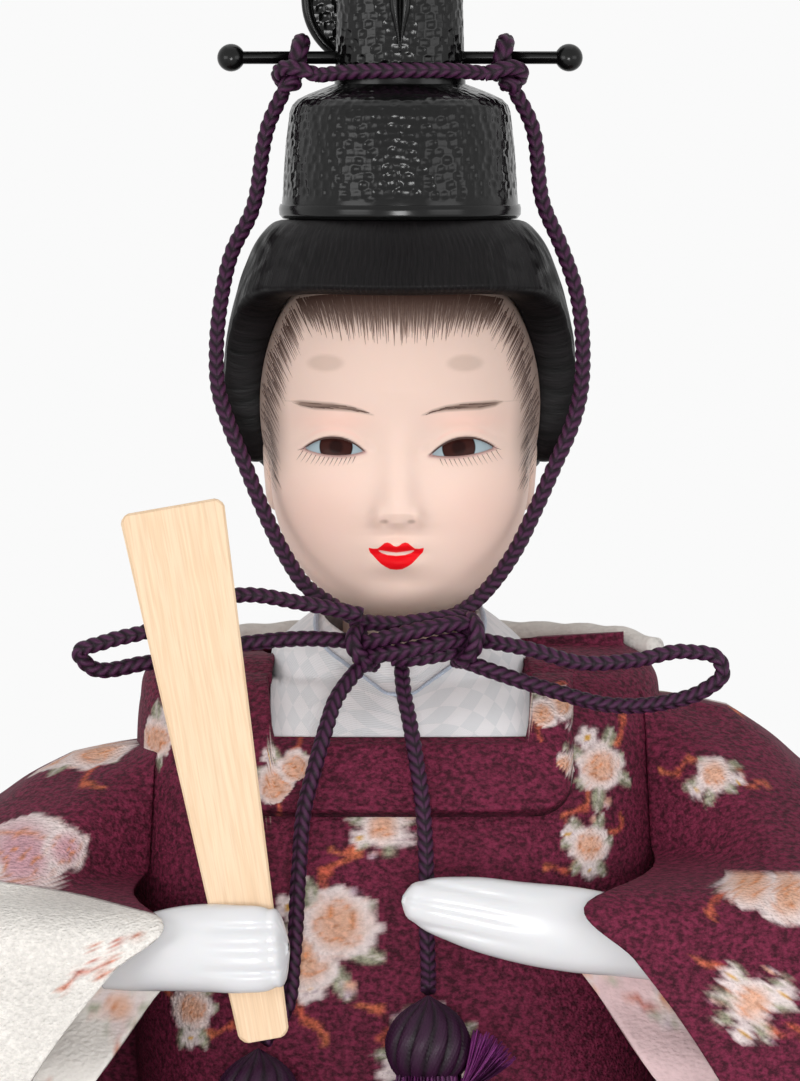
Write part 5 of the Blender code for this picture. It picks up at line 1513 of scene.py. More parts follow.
# Height, then outer reach, cuff edge, front and back, each as a share of the sleeve's own size
SLEEVE_TABLE = np.array([
    (0.003, 1.000, 0.625, 1.000, 1.00), (0.190, 0.953, 0.594, 0.968, 0.97),
    (0.380, 0.883, 0.547, 0.919, 0.90), (0.538, 0.805, 0.484, 0.871, 0.84),
    (0.684, 0.719, 0.398, 0.839, 0.77), (0.747, 0.680, 0.347, 0.839, 0.74),
    (0.797, 0.640, 0.300, 0.831, 0.71), (0.848, 0.594, 0.250, 0.806, 0.68),
    (0.873, 0.563, 0.303, 0.640, 0.65), (0.911, 0.500, 0.303, 0.480, 0.61),
    (0.950, 0.430, 0.302, 0.360, 0.55), (0.975, 0.395, 0.302, 0.260, 0.45),
    (1.000, 0.350, 0.302, 0.150, 0.29),
])
SLEEVE_GAP = 0.9 * MM


class Sleeve(Part):
    """One wide sleeve: the outer cloth about the bent arm and the pale layer inside its cuff."""

    def __init__(self, finishes: Finishes, sizes: SleeveSizes) -> None:
        """Keep the finishes and the sizes."""
        super().__init__(finishes)
        self.sizes = sizes

    def frame(self, share: float) -> tuple[float, float, float, float, float, float]:
        """Read the sleeve's frame at one height.

        Args:
            share: The height as a share of the shoulder's.

        Returns:
            Height, inner seam, outer reach, cuff edge, front and back, all for a left sleeve.
        """
        sizes = self.sizes
        reach, cuff, front, back = table(share, SLEEVE_TABLE[:, 0], SLEEVE_TABLE[:, 1:])
        z = sizes.top * share
        body = torso_sizes(z)[0] if z > LAP_HEIGHT else abs(lap_points(0.0, z)[0])
        shift = sizes.cuff_shift * smooth_step(0.60, 0.70, share) * smooth_step(0.90, 0.84, share)
        edge = sizes.reach * cuff + shift
        outer, inner = sizes.reach * reach, float(body) + SLEEVE_GAP
        return z - sizes.drop * share**6, inner, outer, edge, -sizes.front * front, sizes.back * back

    def outer_row(self, share: float, across: np.ndarray) -> Points:
        """Place one level of the outer cloth, from its back seam round the elbow to the cuff.

        Args:
            share: The height as a share of the shoulder's.
            across: Shares along the level.

        Returns:
            The points.
        """
        z, inner, outer, cuff, front, back = self.frame(share)
        lap = smooth_step(0.852, 0.885, share)
        edge = inner - 3.2 * MM
        seam = chest_y(edge, min(z, SHOULDER_Z)) - SLEEVE_GAP
        cuff, lip = cuff + (edge - cuff) * lap, front + (seam - front) * lap
        width = outer - inner
        tuck = inner - 4.5 * MM
        sizes = torso_sizes(max(z, 0.062))
        rear = sizes[2] * max(0.0, 1 - (tuck / sizes[0]) ** TORSO_ROUND) ** (1 / TORSO_ROUND) + 1.3 * MM
        start = (
            inner if z < LAP_HEIGHT + 2 * MM else tuck, max(back * 0.85, rear) if z > LAP_HEIGHT else back * 0.85
        )
        places = (
            start, (inner + width * 0.45, back), (outer - width * 0.16, back * 0.70),
            (outer, back * 0.10 + front * 0.15), (outer - width * 0.14, front * 0.60),
            ((outer + cuff) / 2, front * 0.90), (cuff, lip),
        )
        row = read_path(even_path([(x, y, z) for x, y in places], 240), across)
        drape = max(0.0, 1 - share / 0.74)
        middle = np.array([(inner + outer) / 2, 0, z])
        towards = row - middle
        towards /= np.linalg.norm(towards, axis=1)[:, None]
        fold = 1.1 * MM * drape * (1 - np.cos(8 * pi * across))
        fold = fold + 0.35 * MM * np.sin(22 * across + 9 * share)
        still = np.minimum(across, 1 - across) < 1e-6
        return row - towards * np.where(still, 0, fold)[:, None]

    def build(self) -> None:
        """Make and dress the sleeve's two layers."""
        self.outer()
        self.inner()

    def share_at(self, along: float) -> float:
        """Crowd the rows towards the shoulder and the forearm, where the print shows."""
        return 0.003 + 0.997 * (1 - (1 - along) ** 1.5)

    def outer(self) -> None:
        """Shape the outer cloth, closed over at the shoulder, and print it."""
        sizes = self.sizes
        columns, rows, cap = 206, 180, 6
        across = np.linspace(0, 1, columns + 1)
        laid = [self.outer_row(self.share_at(k / (rows - cap)), across) for k in range(rows - cap + 1)]
        rim = laid[-1]
        seam = rim[:, 0].min() + 0.5 * MM
        for k in range(1, cap + 1):
            part = k / cap
            target = np.stack([np.full(len(rim), seam), rim[:, 1] * 0.9, rim[:, 2]], axis=1)
            row = rim + (target - rim) * part
            row[:, 2] = rim[:, 2] + 1.8 * MM * sin(pi / 2 * part)
            laid.append(row)
        cloth = np.array(laid)

        def place(share_across: np.ndarray, share_along: np.ndarray) -> Points:
            level, column = np.round(share_along * rows), np.round(share_across * columns)
            return cloth[level.astype(int), column.astype(int)] * (sizes.side, 1, 1)

        inside = Vector((sizes.side * 0.066, 0, 0.08))
        sleeve = grid_piece(f"{sizes.word}_sleeve_cloth", columns, rows, place, outward=inside)
        points = print_cloth(sleeve, self.layout(vertex_places(sleeve), vertex_normals(sleeve)))
        if sizes.pale_forearm:
            self.print_panel(sleeve, points)
        thicken(sleeve, sizes.cloth)
        crepe = self.finishes.panelled_crepe if sizes.pale_forearm else self.finishes.crepe
        self.finish(sleeve, crepe, "burgundy_crepe", [f"{sizes.word}_sleeve"])

    def layout(self, points: Points, normals: Points) -> Print:
        """Lay out the sleeve's sprays.

        Args:
            points: The cloth's points.
            normals: Its outward directions.

        Returns:
            The layout.
        """
        pattern = Print(40 + self.sizes.side)
        front = points[:, 1] < -12 * MM
        if self.sizes.pale_forearm:
            for x, z, size in ((-51.0, 139.2, 6.6), (-44.9, 139.4, 3.2), (-58.5, 137.0, 5.0)):
                at = self.on_front(points, x, z)
                pattern.motifs.append(
                    Motif(Mark.ROSE, at, size * MM, x, tint=z, heart=Dye.ROSE_LILAC)
                )
        else:
            for x, z, radius, blooms in ((49.5, 135.0, 7.6, 2), (42.5, 149.5, 5.0, 1), (47.0, 120.5, 6.4, 1)):
                pattern.spray(self.on_front(points, x, z), radius * MM, blooms=blooms)
        shown = front & (points[:, 2] > 106 * MM) & (np.abs(points[:, 0]) < 57 * MM)
        pattern.scatter(points, normals, 25 * MM, 9 * MM, ~shown)
        return pattern

    def print_panel(self, sleeve: bpy.types.Object, points: Points) -> None:
        """Sew the pale panel on the forearm, up to a straight seam, and print its scroll.

        Args:
            sleeve: The sleeve's cloth.
            points: Its points.
        """
        pattern = Print(44)
        scrolls = ((-37.6, 128.2, 3.4, 0.75), (-43.0, 123.9, 3.6, 0.35), (-40.4, 126.0, 2.6, 2.1))
        for x, z, size, turn in scrolls:
            at = self.on_front(points, x, z)
            pattern.motifs.append(Motif(Mark.SCROLL, at, size * MM, turn, tint=1.3))
        print_cloth(sleeve, pattern, Dye.PALE_CREPE, "panel_dye")
        x, z = points[:, 0], points[:, 2]
        top = 131.7 * MM + 0.21 * (-x - 31.0 * MM) - 0.0016 * (-x - 31.0 * MM) ** 2 / MM
        inside = np.minimum(top - z, z - 86 * MM)
        inside = np.where(points[:, 1] < -10 * MM, inside, np.minimum(inside, -10 * MM))
        store_fields(sleeve, "panel", np.stack([inside / MM, x * 0, x * 0], axis=1))

    def on_front(self, points: Points, x: float, z: float) -> tuple[float, float, float]:
        """Find the sleeve's front point at a place seen from the front, given in millimetres."""
        front = points[points[:, 1] < -8 * MM]
        away = np.hypot(front[:, 0] - x * MM, front[:, 2] - z * MM)
        return tuple(front[int(away.argmin())])

    def inner(self) -> None:
        """Shape the pale layer that shows behind the cuff's edge."""
        sizes = self.sizes
        columns, rows = 60, 110

        def row_at(share: float) -> Points:
            z, inner, outer, cuff, front, _ = self.frame(share)
            behind = front + (9 + 6.5 * smooth_step(0.70, 0.765, share)) * MM
            seam = self.outer_row(share, np.array([11 / 16]))[0]
            inward = np.array([(inner + outer) / 2, 0, z]) - seam
            inward /= np.linalg.norm(inward)
            return even_path([
                (cuff - 9.0 * MM, behind + 1.0 * MM, z), (cuff - 1 * MM, behind + 1.1 * MM, z),
                ((outer + cuff) / 2, behind * 0.80, z), tuple(seam + inward * 2.2 * MM),
            ], 60)

        laid = [row_at(0.003 + 0.785 * k / rows) for k in range(rows + 1)]

        def place(across: np.ndarray, along: np.ndarray) -> Points:
            index = np.round(along * rows).astype(int)
            points = np.empty((len(across), 3))
            for level, route in enumerate(laid):
                points[index == level] = read_path(route, across[index == level])
            return points * (sizes.side, 1, 1)

        inside = Vector((sizes.side * 0.09, 0.0, 0.05))
        layer = grid_piece(f"{sizes.word}_sleeve_layer", columns, rows, place, outward=inside)
        ground = Dye.PALE_CREPE if sizes.pale_forearm else Dye.PALE_PRINT
        strew(layer, 60 + sizes.side, 13 * MM, 5.5 * MM, ground)
        thicken(layer, sizes.cloth)
        self.finish(layer, self.finishes.pale_crepe, "pale_crepe", [f"{sizes.word}_sleeve_inner"])


@dataclass(frozen=True)
class EyeShape:
    """One eye's opening seen from the front, in metres, and where its iris is."""

    word: str
    outer: tuple[float, float]
    inner: tuple[float, float]
    peak: tuple[float, float]
    dip: tuple[float, float]
    iris: tuple[float, float]

    def edges(self, x: np.ndarray) -> tuple[np.ndarray, np.ndarray]:
        """Give the heights of the upper and the lower lid's edge.

        Args:
            x: Places across; beyond the corners the corners' heights are kept.

        Returns:
            The two heights.
        """
        ends = sorted([self.outer, self.inner])
        span = ends[1][0] - ends[0][0]
        share = np.clip((x - ends[0][0]) / span, 0, 1)
        chord = ends[0][1] + (ends[1][1] - ends[0][1]) * share
        crown = (self.peak[0] - ends[0][0]) / span
        arch = np.where(share < crown, share / crown, (1 - share) / (1 - crown))
        arch = 1 - (1 - arch) ** 2.1
        base = np.interp(self.peak[0], [ends[0][0], ends[1][0]], [ends[0][1], ends[1][1]])
        return chord + (self.peak[1] - base) * arch, chord - (base - self.dip[1]) * arch

    def depth(self, x: np.ndarray, z: np.ndarray) -> np.ndarray:
        """Measure how far inside the opening a place is; outside it is negative.

        Args:
            x: Places across.
            z: Places up.

        Returns:
            The distance to the nearer lid, roughly.
        """
        upper, lower = self.edges(x)
        inside = np.minimum(upper - z, z - lower)
        beyond = np.maximum(min(self.outer[0], self.inner[0]) - x, x - max(self.outer[0], self.inner[0]))
        return np.where(beyond > 0, -np.hypot(beyond, np.maximum(-inside, 0)), inside)

    def above(self, x: np.ndarray, z: np.ndarray) -> np.ndarray:
        """Tell which places lie above the line from corner to corner."""
        ends = sorted([self.outer, self.inner])
        return z > np.interp(x, [ends[0][0], ends[1][0]], [ends[0][1], ends[1][1]]) + 0.2 * MM


@dataclass
class HeadSizes:
    """The head's two swelling forms and its neck, in metres."""

    heart: tuple[float, float, float] = (0.0, -0.003, 0.194)
    skull: tuple[float, float, float] = (0.0, 0.0005, 0.1990)
    skull_size: tuple[float, float, float] = (0.0191, 0.0205, 0.0240)
    jaw: tuple[float, float, float] = (0.0, -0.006, 0.188)
    jaw_size: tuple[float, float, float] = (0.0176, 0.0140, 0.0186)
    neck: float = 7.8 * MM
    middle: float = -0.3 * MM


EYES = (
    EyeShape("right", (-13.1 * MM, 193.25 * MM), (-4.75 * MM, 192.95 * MM), (-8.9 * MM, 194.8 * MM),
             (-8.3 * MM, 192.35 * MM), (-8.65 * MM, 193.6 * MM)),
    EyeShape("left", (12.95 * MM, 193.35 * MM), (4.0 * MM, 192.45 * MM), (8.4 * MM, 194.75 * MM),
             (7.9 * MM, 192.3 * MM), (7.95 * MM, 193.5 * MM)),
)


BROW_REACH = (3.2, 4.6, 6.4, 8.8, 11.2, 13.2, 14.4)
BROW_HEIGHTS = (197.9, 198.4, 198.8, 199.05, 199.15, 199.4, 199.65)


class Head(Part):
    """The painted head with its neck, ears, inset eyes and brushed strokes."""

    body = "head"

    def __init__(self, finishes: Finishes, sizes: HeadSizes) -> None:
        """Keep the finishes and the sizes."""
        super().__init__(finishes)
        self.sizes = sizes

    def reach(self, direction: Points, centre: Sequence[float], size: Sequence[float]) -> np.ndarray:
        """Measure from the head's heart to one swelling form along some directions."""
        start = (np.array(self.sizes.heart) - np.array(centre)) / np.array(size)
        scaled = direction / np.array(size)
        a = (scaled**2).sum(axis=1)
        b = scaled @ start
        c = start @ start - 1
        return (-b + np.sqrt(np.maximum(b * b - a * c, 0))) / a

    def bare(self, direction: Points) -> Points:
        """Place the plain egg of the head, before its features."""
        points = np.array(self.sizes.heart) + direction * self.egg_reach(direction)[:, None]
        points[:, 0] *= self.slimness(points[:, 2])
        return points

    def egg_reach(self, direction: Points) -> np.ndarray:
        """Measure from the heart to the blend of skull and jaw along some directions."""
        sizes, power = self.sizes, 34
        skull = self.reach(direction, sizes.skull, sizes.skull_size)
        jaw = self.reach(direction, sizes.jaw, sizes.jaw_size)
        return (skull**power + jaw**power) ** (1 / power)

    def slimness(self, z: np.ndarray) -> np.ndarray:
        """Give how much the face narrows towards the chin."""
        return np.interp(
            z, [0.168, 0.1715, 0.1745, 0.178, 0.184, 0.190, 0.2], [0.88, 0.92, 0.945, 0.965, 0.98, 1.0, 1.0]
        )

    def features(self, points: Points) -> np.ndarray:
        """Work out how far forward the features stand at some places of the face.

        Args:
            points: Places on the plain head.

        Returns:
            The distance forwards, negative where it is hollowed.
        """
        x, z = points[:, 0] / MM - self.sizes.middle / MM, points[:, 2] / MM

        def swell(height: float, cx: float, cz: float, wx: float, wz: float) -> np.ndarray:
            return height * np.exp(-(((x - cx) / wx) ** 2) - ((z - cz) / wz) ** 2)

        ridge = np.interp(
            z, [181.6, 182.5, 183.4, 184.7, 186.5, 190, 194, 198, 201], [0, 0.8, 2.3, 3.2, 2.9, 1.9, 1.05, 0.4, 0]
        )
        width = np.interp(z, [182, 184.5, 188, 194, 200], [2.9, 2.85, 2.3, 2.15, 3.2])
        forward = ridge * (
            0.55 * np.exp(-(np.abs(x / width) ** 2.6)) + 0.45 * np.exp(-(np.abs(x / (1.75 * width)) ** 2.2))
        )
        for side in (-1, 1):
            forward += swell(0.75, side * 2.8, 184.4, 0.95, 1.3)
            forward += swell(-0.45, side * 1.75, 183.3, 0.65, 0.45)
            forward += swell(-0.9, side * 6.2, 195.6, 3.2, 3.0)
            forward += swell(0.55, side * 9.5, 197.2, 4.6, 1.7)
            forward += swell(0.45, side * 9.0, 187.0, 5.0, 4.0)
            forward += swell(0.35, side * 1.35, 180.35, 1.5, 0.75)
        forward += swell(0.55, 0, 180.2, 3.4, 0.9) + swell(1.0, 0, 177.7, 2.7, 1.0)
        forward += swell(-0.55, 0, 179.2, 2.5, 0.32) + swell(-0.45, 0, 175.4, 4.2, 1.1)
        forward += swell(0.5, 0, 172.6, 4.6, 2.2) + swell(-0.18, 0, 181.9, 0.7, 0.8)
        return forward * MM

    def lids(self, points: Points) -> np.ndarray:
        """Work out how far back the skin turns in at the eyes' openings, and how the lids swell."""
        back = np.zeros(len(points))
        for eye in EYES:
            inside = eye.depth(points[:, 0], points[:, 2])
            back += 2.6 * MM * smooth_step(-0.02 * MM, 0.5 * MM, inside)
            rim = np.exp(-(((inside + 0.55 * MM) / (0.55 * MM)) ** 2))
            back -= 0.20 * MM * rim * np.where(eye.above(points[:, 0], points[:, 2]), 1.0, 0.45)
            crease = np.exp(-(((inside + 1.75 * MM) / (0.30 * MM)) ** 2))
            back += 0.05 * MM * crease * eye.above(points[:, 0], points[:, 2])
        return back

    def skin(self, direction: Points, opened: bool = True) -> Points:
        """Place the finished skin along some directions from the head's heart.

        Args:
            direction: Unit directions.
            opened: Whether the eyes' openings are turned in.

        Returns:
            The skin's points.
        """
        points = self.bare(direction)
        faces_front = smooth_step(-9 * MM, -13.5 * MM, points[:, 1])
        points[:, 1] -= self.features(points) * faces_front
        if opened:
            points[:, 1] += self.lids(points) * faces_front
        return points

    def directions(self, across: np.ndarray, along: np.ndarray) -> Points:
        """Spread directions over the head, closer together on the face."""
        turn = 2 * pi * (across - 0.5)
        turn = turn - 0.74 * np.sin(turn)
        tilt = pi * along
        tilt = tilt + 0.2 * (np.sin(2 * (tilt + 0.37)) - sin(0.74))
        tilt = np.where(along <= 0, 0, np.where(along >= 1, pi, tilt))
        return np.stack([np.sin(turn) * np.sin(tilt), -np.cos(turn) * np.sin(tilt), -np.cos(tilt)], axis=1)

    def build(self) -> None:
        """Make and dress the head's pieces."""
        self.shell()
        self.eyes()
        self.strokes()

    def shell(self) -> None:
        """Shape the head, neck and ears, and tint the features."""
        face = grid_piece(
            "painted_head", 330, 270, lambda across, along: self.skin(self.directions(across, along)), closed=True,
            outward=Vector(self.sizes.heart),
        )
        neck_route = [(0, 0.0003, 0.1501), (0, 0.0002, 0.158), (0, 0, 0.168), (0, 0, 0.178)]
        neck_path = even_path(neck_route, 40)
        neck = tube_piece(
            "neck", neck_path, self.sizes.neck, 48,
            lambda angle, along: 1.0 + 0.10 * np.abs(along / (14 * MM) - 1) ** 2 * (along < 14 * MM),
        )
        ears = [self.ear(side) for side in (-1, 1)]
        head = joined("painted_head", [face, neck, *ears])
        points = vertex_places(head)
        store_colour(head, self.tint(points))
        store_fields(head, "paint", self.painted(points))
        self.finish(head, self.finishes.skin, "painted_composition", ["head"])

    def ear(self, side: int) -> bpy.types.Object:
        """Shape one small ear with its rolled rim."""

        def place(across: np.ndarray, along: np.ndarray) -> Points:
            turn, tilt = 2 * pi * across, pi * along
            ring = np.sin(tilt)
            y = 2.6 * ring * np.cos(turn)
            z = 4.9 * np.cos(tilt)
            out = 1.5 * ring * np.sin(turn)
            hollow = 0.9 * np.exp(-((y / 1.3) ** 2) - ((z - 0.4) / 2.6) ** 2)
            x = side * (17.3 + 0.10 * (z + 2) + out - hollow * (out > 0))
            return np.stack([x * MM, (1.2 + y - 0.22 * z) * MM, (189.3 + z) * MM], axis=1)

        return grid_piece(f"ear_{side + 1}", 28, 22, place, closed=True)

    def temple(self, z: np.ndarray) -> np.ndarray:
        """Give how far from the middle the hair begins at some heights, in millimetres."""
        return np.interp(z, [188, 192, 199.5, 204.6, 208, 211.8, 214.2], [18.0, 18.8, 19.2, 18.6, 17.7, 15.8, 13.4])

    def tint(self, points: Points) -> np.ndarray:
        """Tint the face softly at its points, with painted shade on the forehead and in the nostrils.

        Args:
            points: The head's points.

        Returns:
            One colour for each point.
        """
        x, z = points[:, 0] / MM, points[:, 2] / MM
        front = smooth_step(-6.0, -8.0, points[:, 1] / MM)
        # Painted shade: the skin darkens by up to 13% towards the top of the forehead.
        colours = np.tile(linear(Dye.SKIN), (len(points), 1)) * (1 - 0.13 * smooth_step(189.0, 199.0, z))[:, None]

        def lay(dye: Dye, cover: np.ndarray) -> None:
            colours[:] += (linear(dye) - colours) * np.clip(cover * front, 0, 1)[:, None]

        down, aside = 214.0 - z, 1.15 * (self.temple(z) - np.abs(x))
        below = np.hypot(np.maximum(4.0 - down, 0), np.maximum(4.0 - aside, 0))
        depth = np.maximum(4.0 - below, 0) + np.maximum(np.minimum(down, aside) - 4.0, 0)
        above_cheek = smooth_step(187.0, 196.0, z)
        for side in (-1, 1):
            lay(Dye.BLUSH, 0.40 * np.exp(-(((x - side * 11) / 6) ** 2) - ((z - 184.5) / 6) ** 2))
            lay(Dye.BLUSH, 0.80 * np.exp(-(((x - side * 9.0) / 4.5) ** 2) - ((z - 197.2) / 1.4) ** 2))
            smudge = np.hypot((x - (-10.1 if side < 0 else 8.8)) / 2.5, (z - 204.9) / 1.15)
            lay(Dye.BROW_SMUDGE, 0.60 * smooth_step(1.2, 0.7, smudge))
            # Painted shade in the nostrils, in the brow smudge's colour.
            nostril = np.hypot((x - self.sizes.middle / MM - side * 1.85) / 0.62, (z - 183.6) / 0.3)
            lay(Dye.BROW_SMUDGE, 0.75 * smooth_step(1.3, 0.4, nostril))
        for eye in EYES:
            inside = eye.depth(points[:, 0], points[:, 2]) / MM
            above = eye.above(points[:, 0], points[:, 2])
            lay(Dye.LID_LINE, 0.92 * smooth_step(-0.34, -0.10, inside) * above)
            lay(Dye.LID_PINK, 0.8 * np.exp(-(((inside + 0.02) / 0.24) ** 2)) * ~above)
            lay(Dye.LID_LINE, 0.9 * smooth_step(0.15, 0.4, inside))
            within = (np.abs(points[:, 0] - eye.peak[0]) / MM - 2.6) / 1.4
            lay(Dye.BLUSH, 0.7 * np.exp(-(((inside + 1.2) / 0.26) ** 2)) * above * smooth_step(1.0, 0.0, within))
        shade = 0.92 * above_cheek * smooth_step(5.2, 1.4, depth) * (points[:, 1] < 4 * MM)
        shade *= 1 - 0.22 * smooth_step(9.0, 15.5, np.abs(x))
        return colours + (linear(Dye.HAIRLINE) - colours) * shade[:, None]

    def painted(self, points: Points) -> np.ndarray:
        """Measure how far inside the lips, the teeth and the brows each point lies.

        Args:
            points: The head's points.

        Returns:
            The three distances in millimetres, negative outside.
        """
        x, z = points[:, 0] / MM, points[:, 2] / MM
        away = np.abs(x + 0.5)
        upper = np.interp(
            away, [0, 0.35, 0.8, 1.2, 1.6, 2.0, 2.5, 3.1, 3.7, 4.3],
            [180.16, 180.26, 180.60, 180.72, 180.62, 180.28, 179.88, 179.84, 179.96, 179.9],
        )
        lower = np.interp(
            away, [0, 0.8, 1.5, 2.1, 2.67, 3.2, 3.6, 3.8], [176.95, 177.03, 177.38, 177.78, 178.36, 178.95, 179.35, 180.1]
        )
        gap_top = np.interp(away, [0, 0.9, 1.6, 2.4, 3.0], [179.30, 179.42, 179.54, 179.66, 179.4])
        gap_foot = np.interp(away, [0, 1.2, 2.0, 2.5, 3.0], [178.86, 178.98, 179.26, 179.62, 180.1])
        outward = np.abs(x - self.sizes.middle / MM)
        middle = np.interp(outward, BROW_REACH, BROW_HEIGHTS)
        half = np.interp(outward, [2.2, 3.2, 4.6, 6.6, 9.0, 11.2, 13.2, 14.4], [-0.6, -0.05, 0.17, 0.34, 0.46, 0.48, 0.34, -0.1])
        fields = [
            np.minimum(upper - z, z - lower), np.minimum(gap_top - z, z - gap_foot), half - np.abs(z - middle)
        ]
        behind = points[:, 1] > -6 * MM
        return np.stack([np.where(behind, -9.0, np.clip(field, -9, 9)) for field in fields], axis=1)

    def on_skin(self, x: np.ndarray, z: np.ndarray, lift: float = 0.0) -> Points:
        """Find the skin's front points at places seen from the front, in millimetres.

        Args:
            x: Places across.
            z: Places up.
            lift: How far in front of the skin the points lie, in millimetres.

        Returns:
            The points, in metres.
        """
        heart = np.array(self.sizes.heart)
        near, far = np.full(len(x), -0.034), np.full(len(x), heart[1])
        for _ in range(26):
            guess = (near + far) / 2
            place = np.stack([x * MM / self.slimness(z * MM), guess, z * MM], axis=1) - heart
            away = np.linalg.norm(place, axis=1)
            outside = away > self.egg_reach(place / away[:, None])
            near, far = np.where(outside, guess, near), np.where(outside, far, guess)
        points = np.stack([x * MM, guess, z * MM], axis=1)
        points[:, 1] -= self.features(points) * smooth_step(-9 * MM, -13.5 * MM, points[:, 1]) + lift * MM
        return points

    def eyes(self) -> None:
        """Set each glass eye just behind its lids."""
        for eye in EYES:
            low = np.array([min(eye.outer[0], eye.inner[0]), eye.dip[1]]) / MM - np.array([1.0, 0.9])
            high = np.array([max(eye.outer[0], eye.inner[0]), eye.peak[1]]) / MM + np.array([1.0, 0.9])

            def place(across: np.ndarray, along: np.ndarray) -> Points:
                x = low[0] + (high[0] - low[0]) * across
                z = low[1] + (high[1] - low[1]) * along
                bulge = 0.55 * (1 - ((2 * across - 1) ** 2)) * (1 - (2 * along - 1) ** 2)
                return self.on_skin(x, z, -0.85 + bulge)

            ball = grid_piece(f"{eye.word}_glass_eye", 60, 30, place, outward=Vector(self.sizes.heart))
            thicken(ball, 0.8 * MM)
            material = GlassEye(
                f"{eye.word}_brown_glass_eye", Dye.EYE_WHITE, 0.2, specular=0.07, centre=eye.iris
            ).build()
            self.finish(ball, material, "glass_eye", [f"{eye.word}_eye"])

    def strokes(self) -> None:
        """Brush the lower lashes, the brows' hairs and the fine hairs below the hairline."""
        chance = np.random.default_rng(5)
        lines: list[tuple[np.ndarray, np.ndarray, float, float]] = []
        for eye in EYES:
            side = -1 if eye.word == "right" else 1
            corners = np.array([eye.inner[0], eye.outer[0]]) / MM
            for k in range(13):
                share = (k + 0.5) / 13
                x = corners[0] + (corners[1] - corners[0]) * (0.12 + 0.92 * share)
                z = float(eye.edges(np.array([x * MM]))[1][0]) / MM - 0.22
                t = np.linspace(0, 1, 5)
                length = 1.15 + 0.4 * share
                lines.append((x + side * (0.40 + 0.22 * share) * length * t, z - length * t * (1 - 0.12 * t), 0.085, 0.2))
            for end, tail in ((corners[0], 0.0), (corners[1], 0.75)):
                t = np.linspace(0, 1, 24)
                x = eye.peak[0] / MM + (end + side * tail - eye.peak[0] / MM) * t
                z = eye.edges(x * MM)[0] / MM - 0.30 * np.maximum(side * (x - end), 0) * (tail > 0)
                lines.append((x, z + 0.03, 0.24, 0.0))
            for k in range(15):
                outward = 3.4 + 8.2 * (k + chance.uniform()) / 15
                t = np.linspace(0, 1, 8)
                away = outward + 2.8 * t
                half = 0.34 * float(np.interp(outward, [3.4, 8, 11.6], [0.3, 1.0, 1.0]))
                z = np.interp(away, BROW_REACH, BROW_HEIGHTS) + chance.uniform(-half, half) * (1 - 0.5 * t)
                lines.append((side * away + self.sizes.middle / MM, z, 0.08, 0.3))
        for count, least, most, wide in ((60, 6.0, 7.3, 0.24), (150, 4.2, 6.2, 0.20), (130, 3.0, 4.6, 0.18)):
            for k in range(count):
                x0 = -14.2 + 28.4 * (k + chance.uniform()) / count
                t = np.linspace(0, 1, 6)
                length = chance.uniform(least, most) * (1.0 - 0.30 * abs(x0 / 13) ** 2)
                lean = -0.12 * x0 + chance.uniform(-0.25, 0.25)
                z = 214.3 - 0.9 * (abs(x0) / 14) ** 4 - length * t
                lines.append((x0 + lean * t, z, wide, 0.35))
        for side in (-1, 1):
            for k in range(230):
                share = (k + chance.uniform()) / 230
                z0 = 213.8 - 25.0 * share
                start = float(self.temple(np.array([z0]))[0]) - chance.uniform(0.2, 2.1) * (1 - 0.3 * share)
                t = np.linspace(0, 1, 6)
                length = (chance.uniform(3.6, 4.6) if k % 3 == 0 else chance.uniform(2.4, 3.8)) * (1 - 0.45 * share)
                x = side * (start - 0.46 * length * t)
                lines.append((x, z0 - 0.90 * length * t, chance.uniform(0.10, 0.16), 0.35))
        paths, normals = [], []
        for x, z, width, pales in lines:
            path = self.on_skin(x, z, {0.0: 0.42, 0.2: 0.18}.get(pales, 0.07))
            paths.append((path, width * MM, pales))
            middle = path[len(path) // 2]
            normal = middle - np.array(self.sizes.heart)
            normals.append(normal / np.linalg.norm(normal))
        strokes = ribbon_strokes("brushed_strokes", paths, np.array(normals))
        self.finish(strokes, self.finishes.skin, "painted_composition")


@dataclass
class HairSizes:
    """The combed hair's outer form, in metres, and its lower edge round the head."""

    top_z: float = 0.2246
    half: float = 0.0239
    height: float = 0.046
    depth_ratio: float = 1.03
    middle_y: float = 0.0015
    roll: float = 1.3 * MM


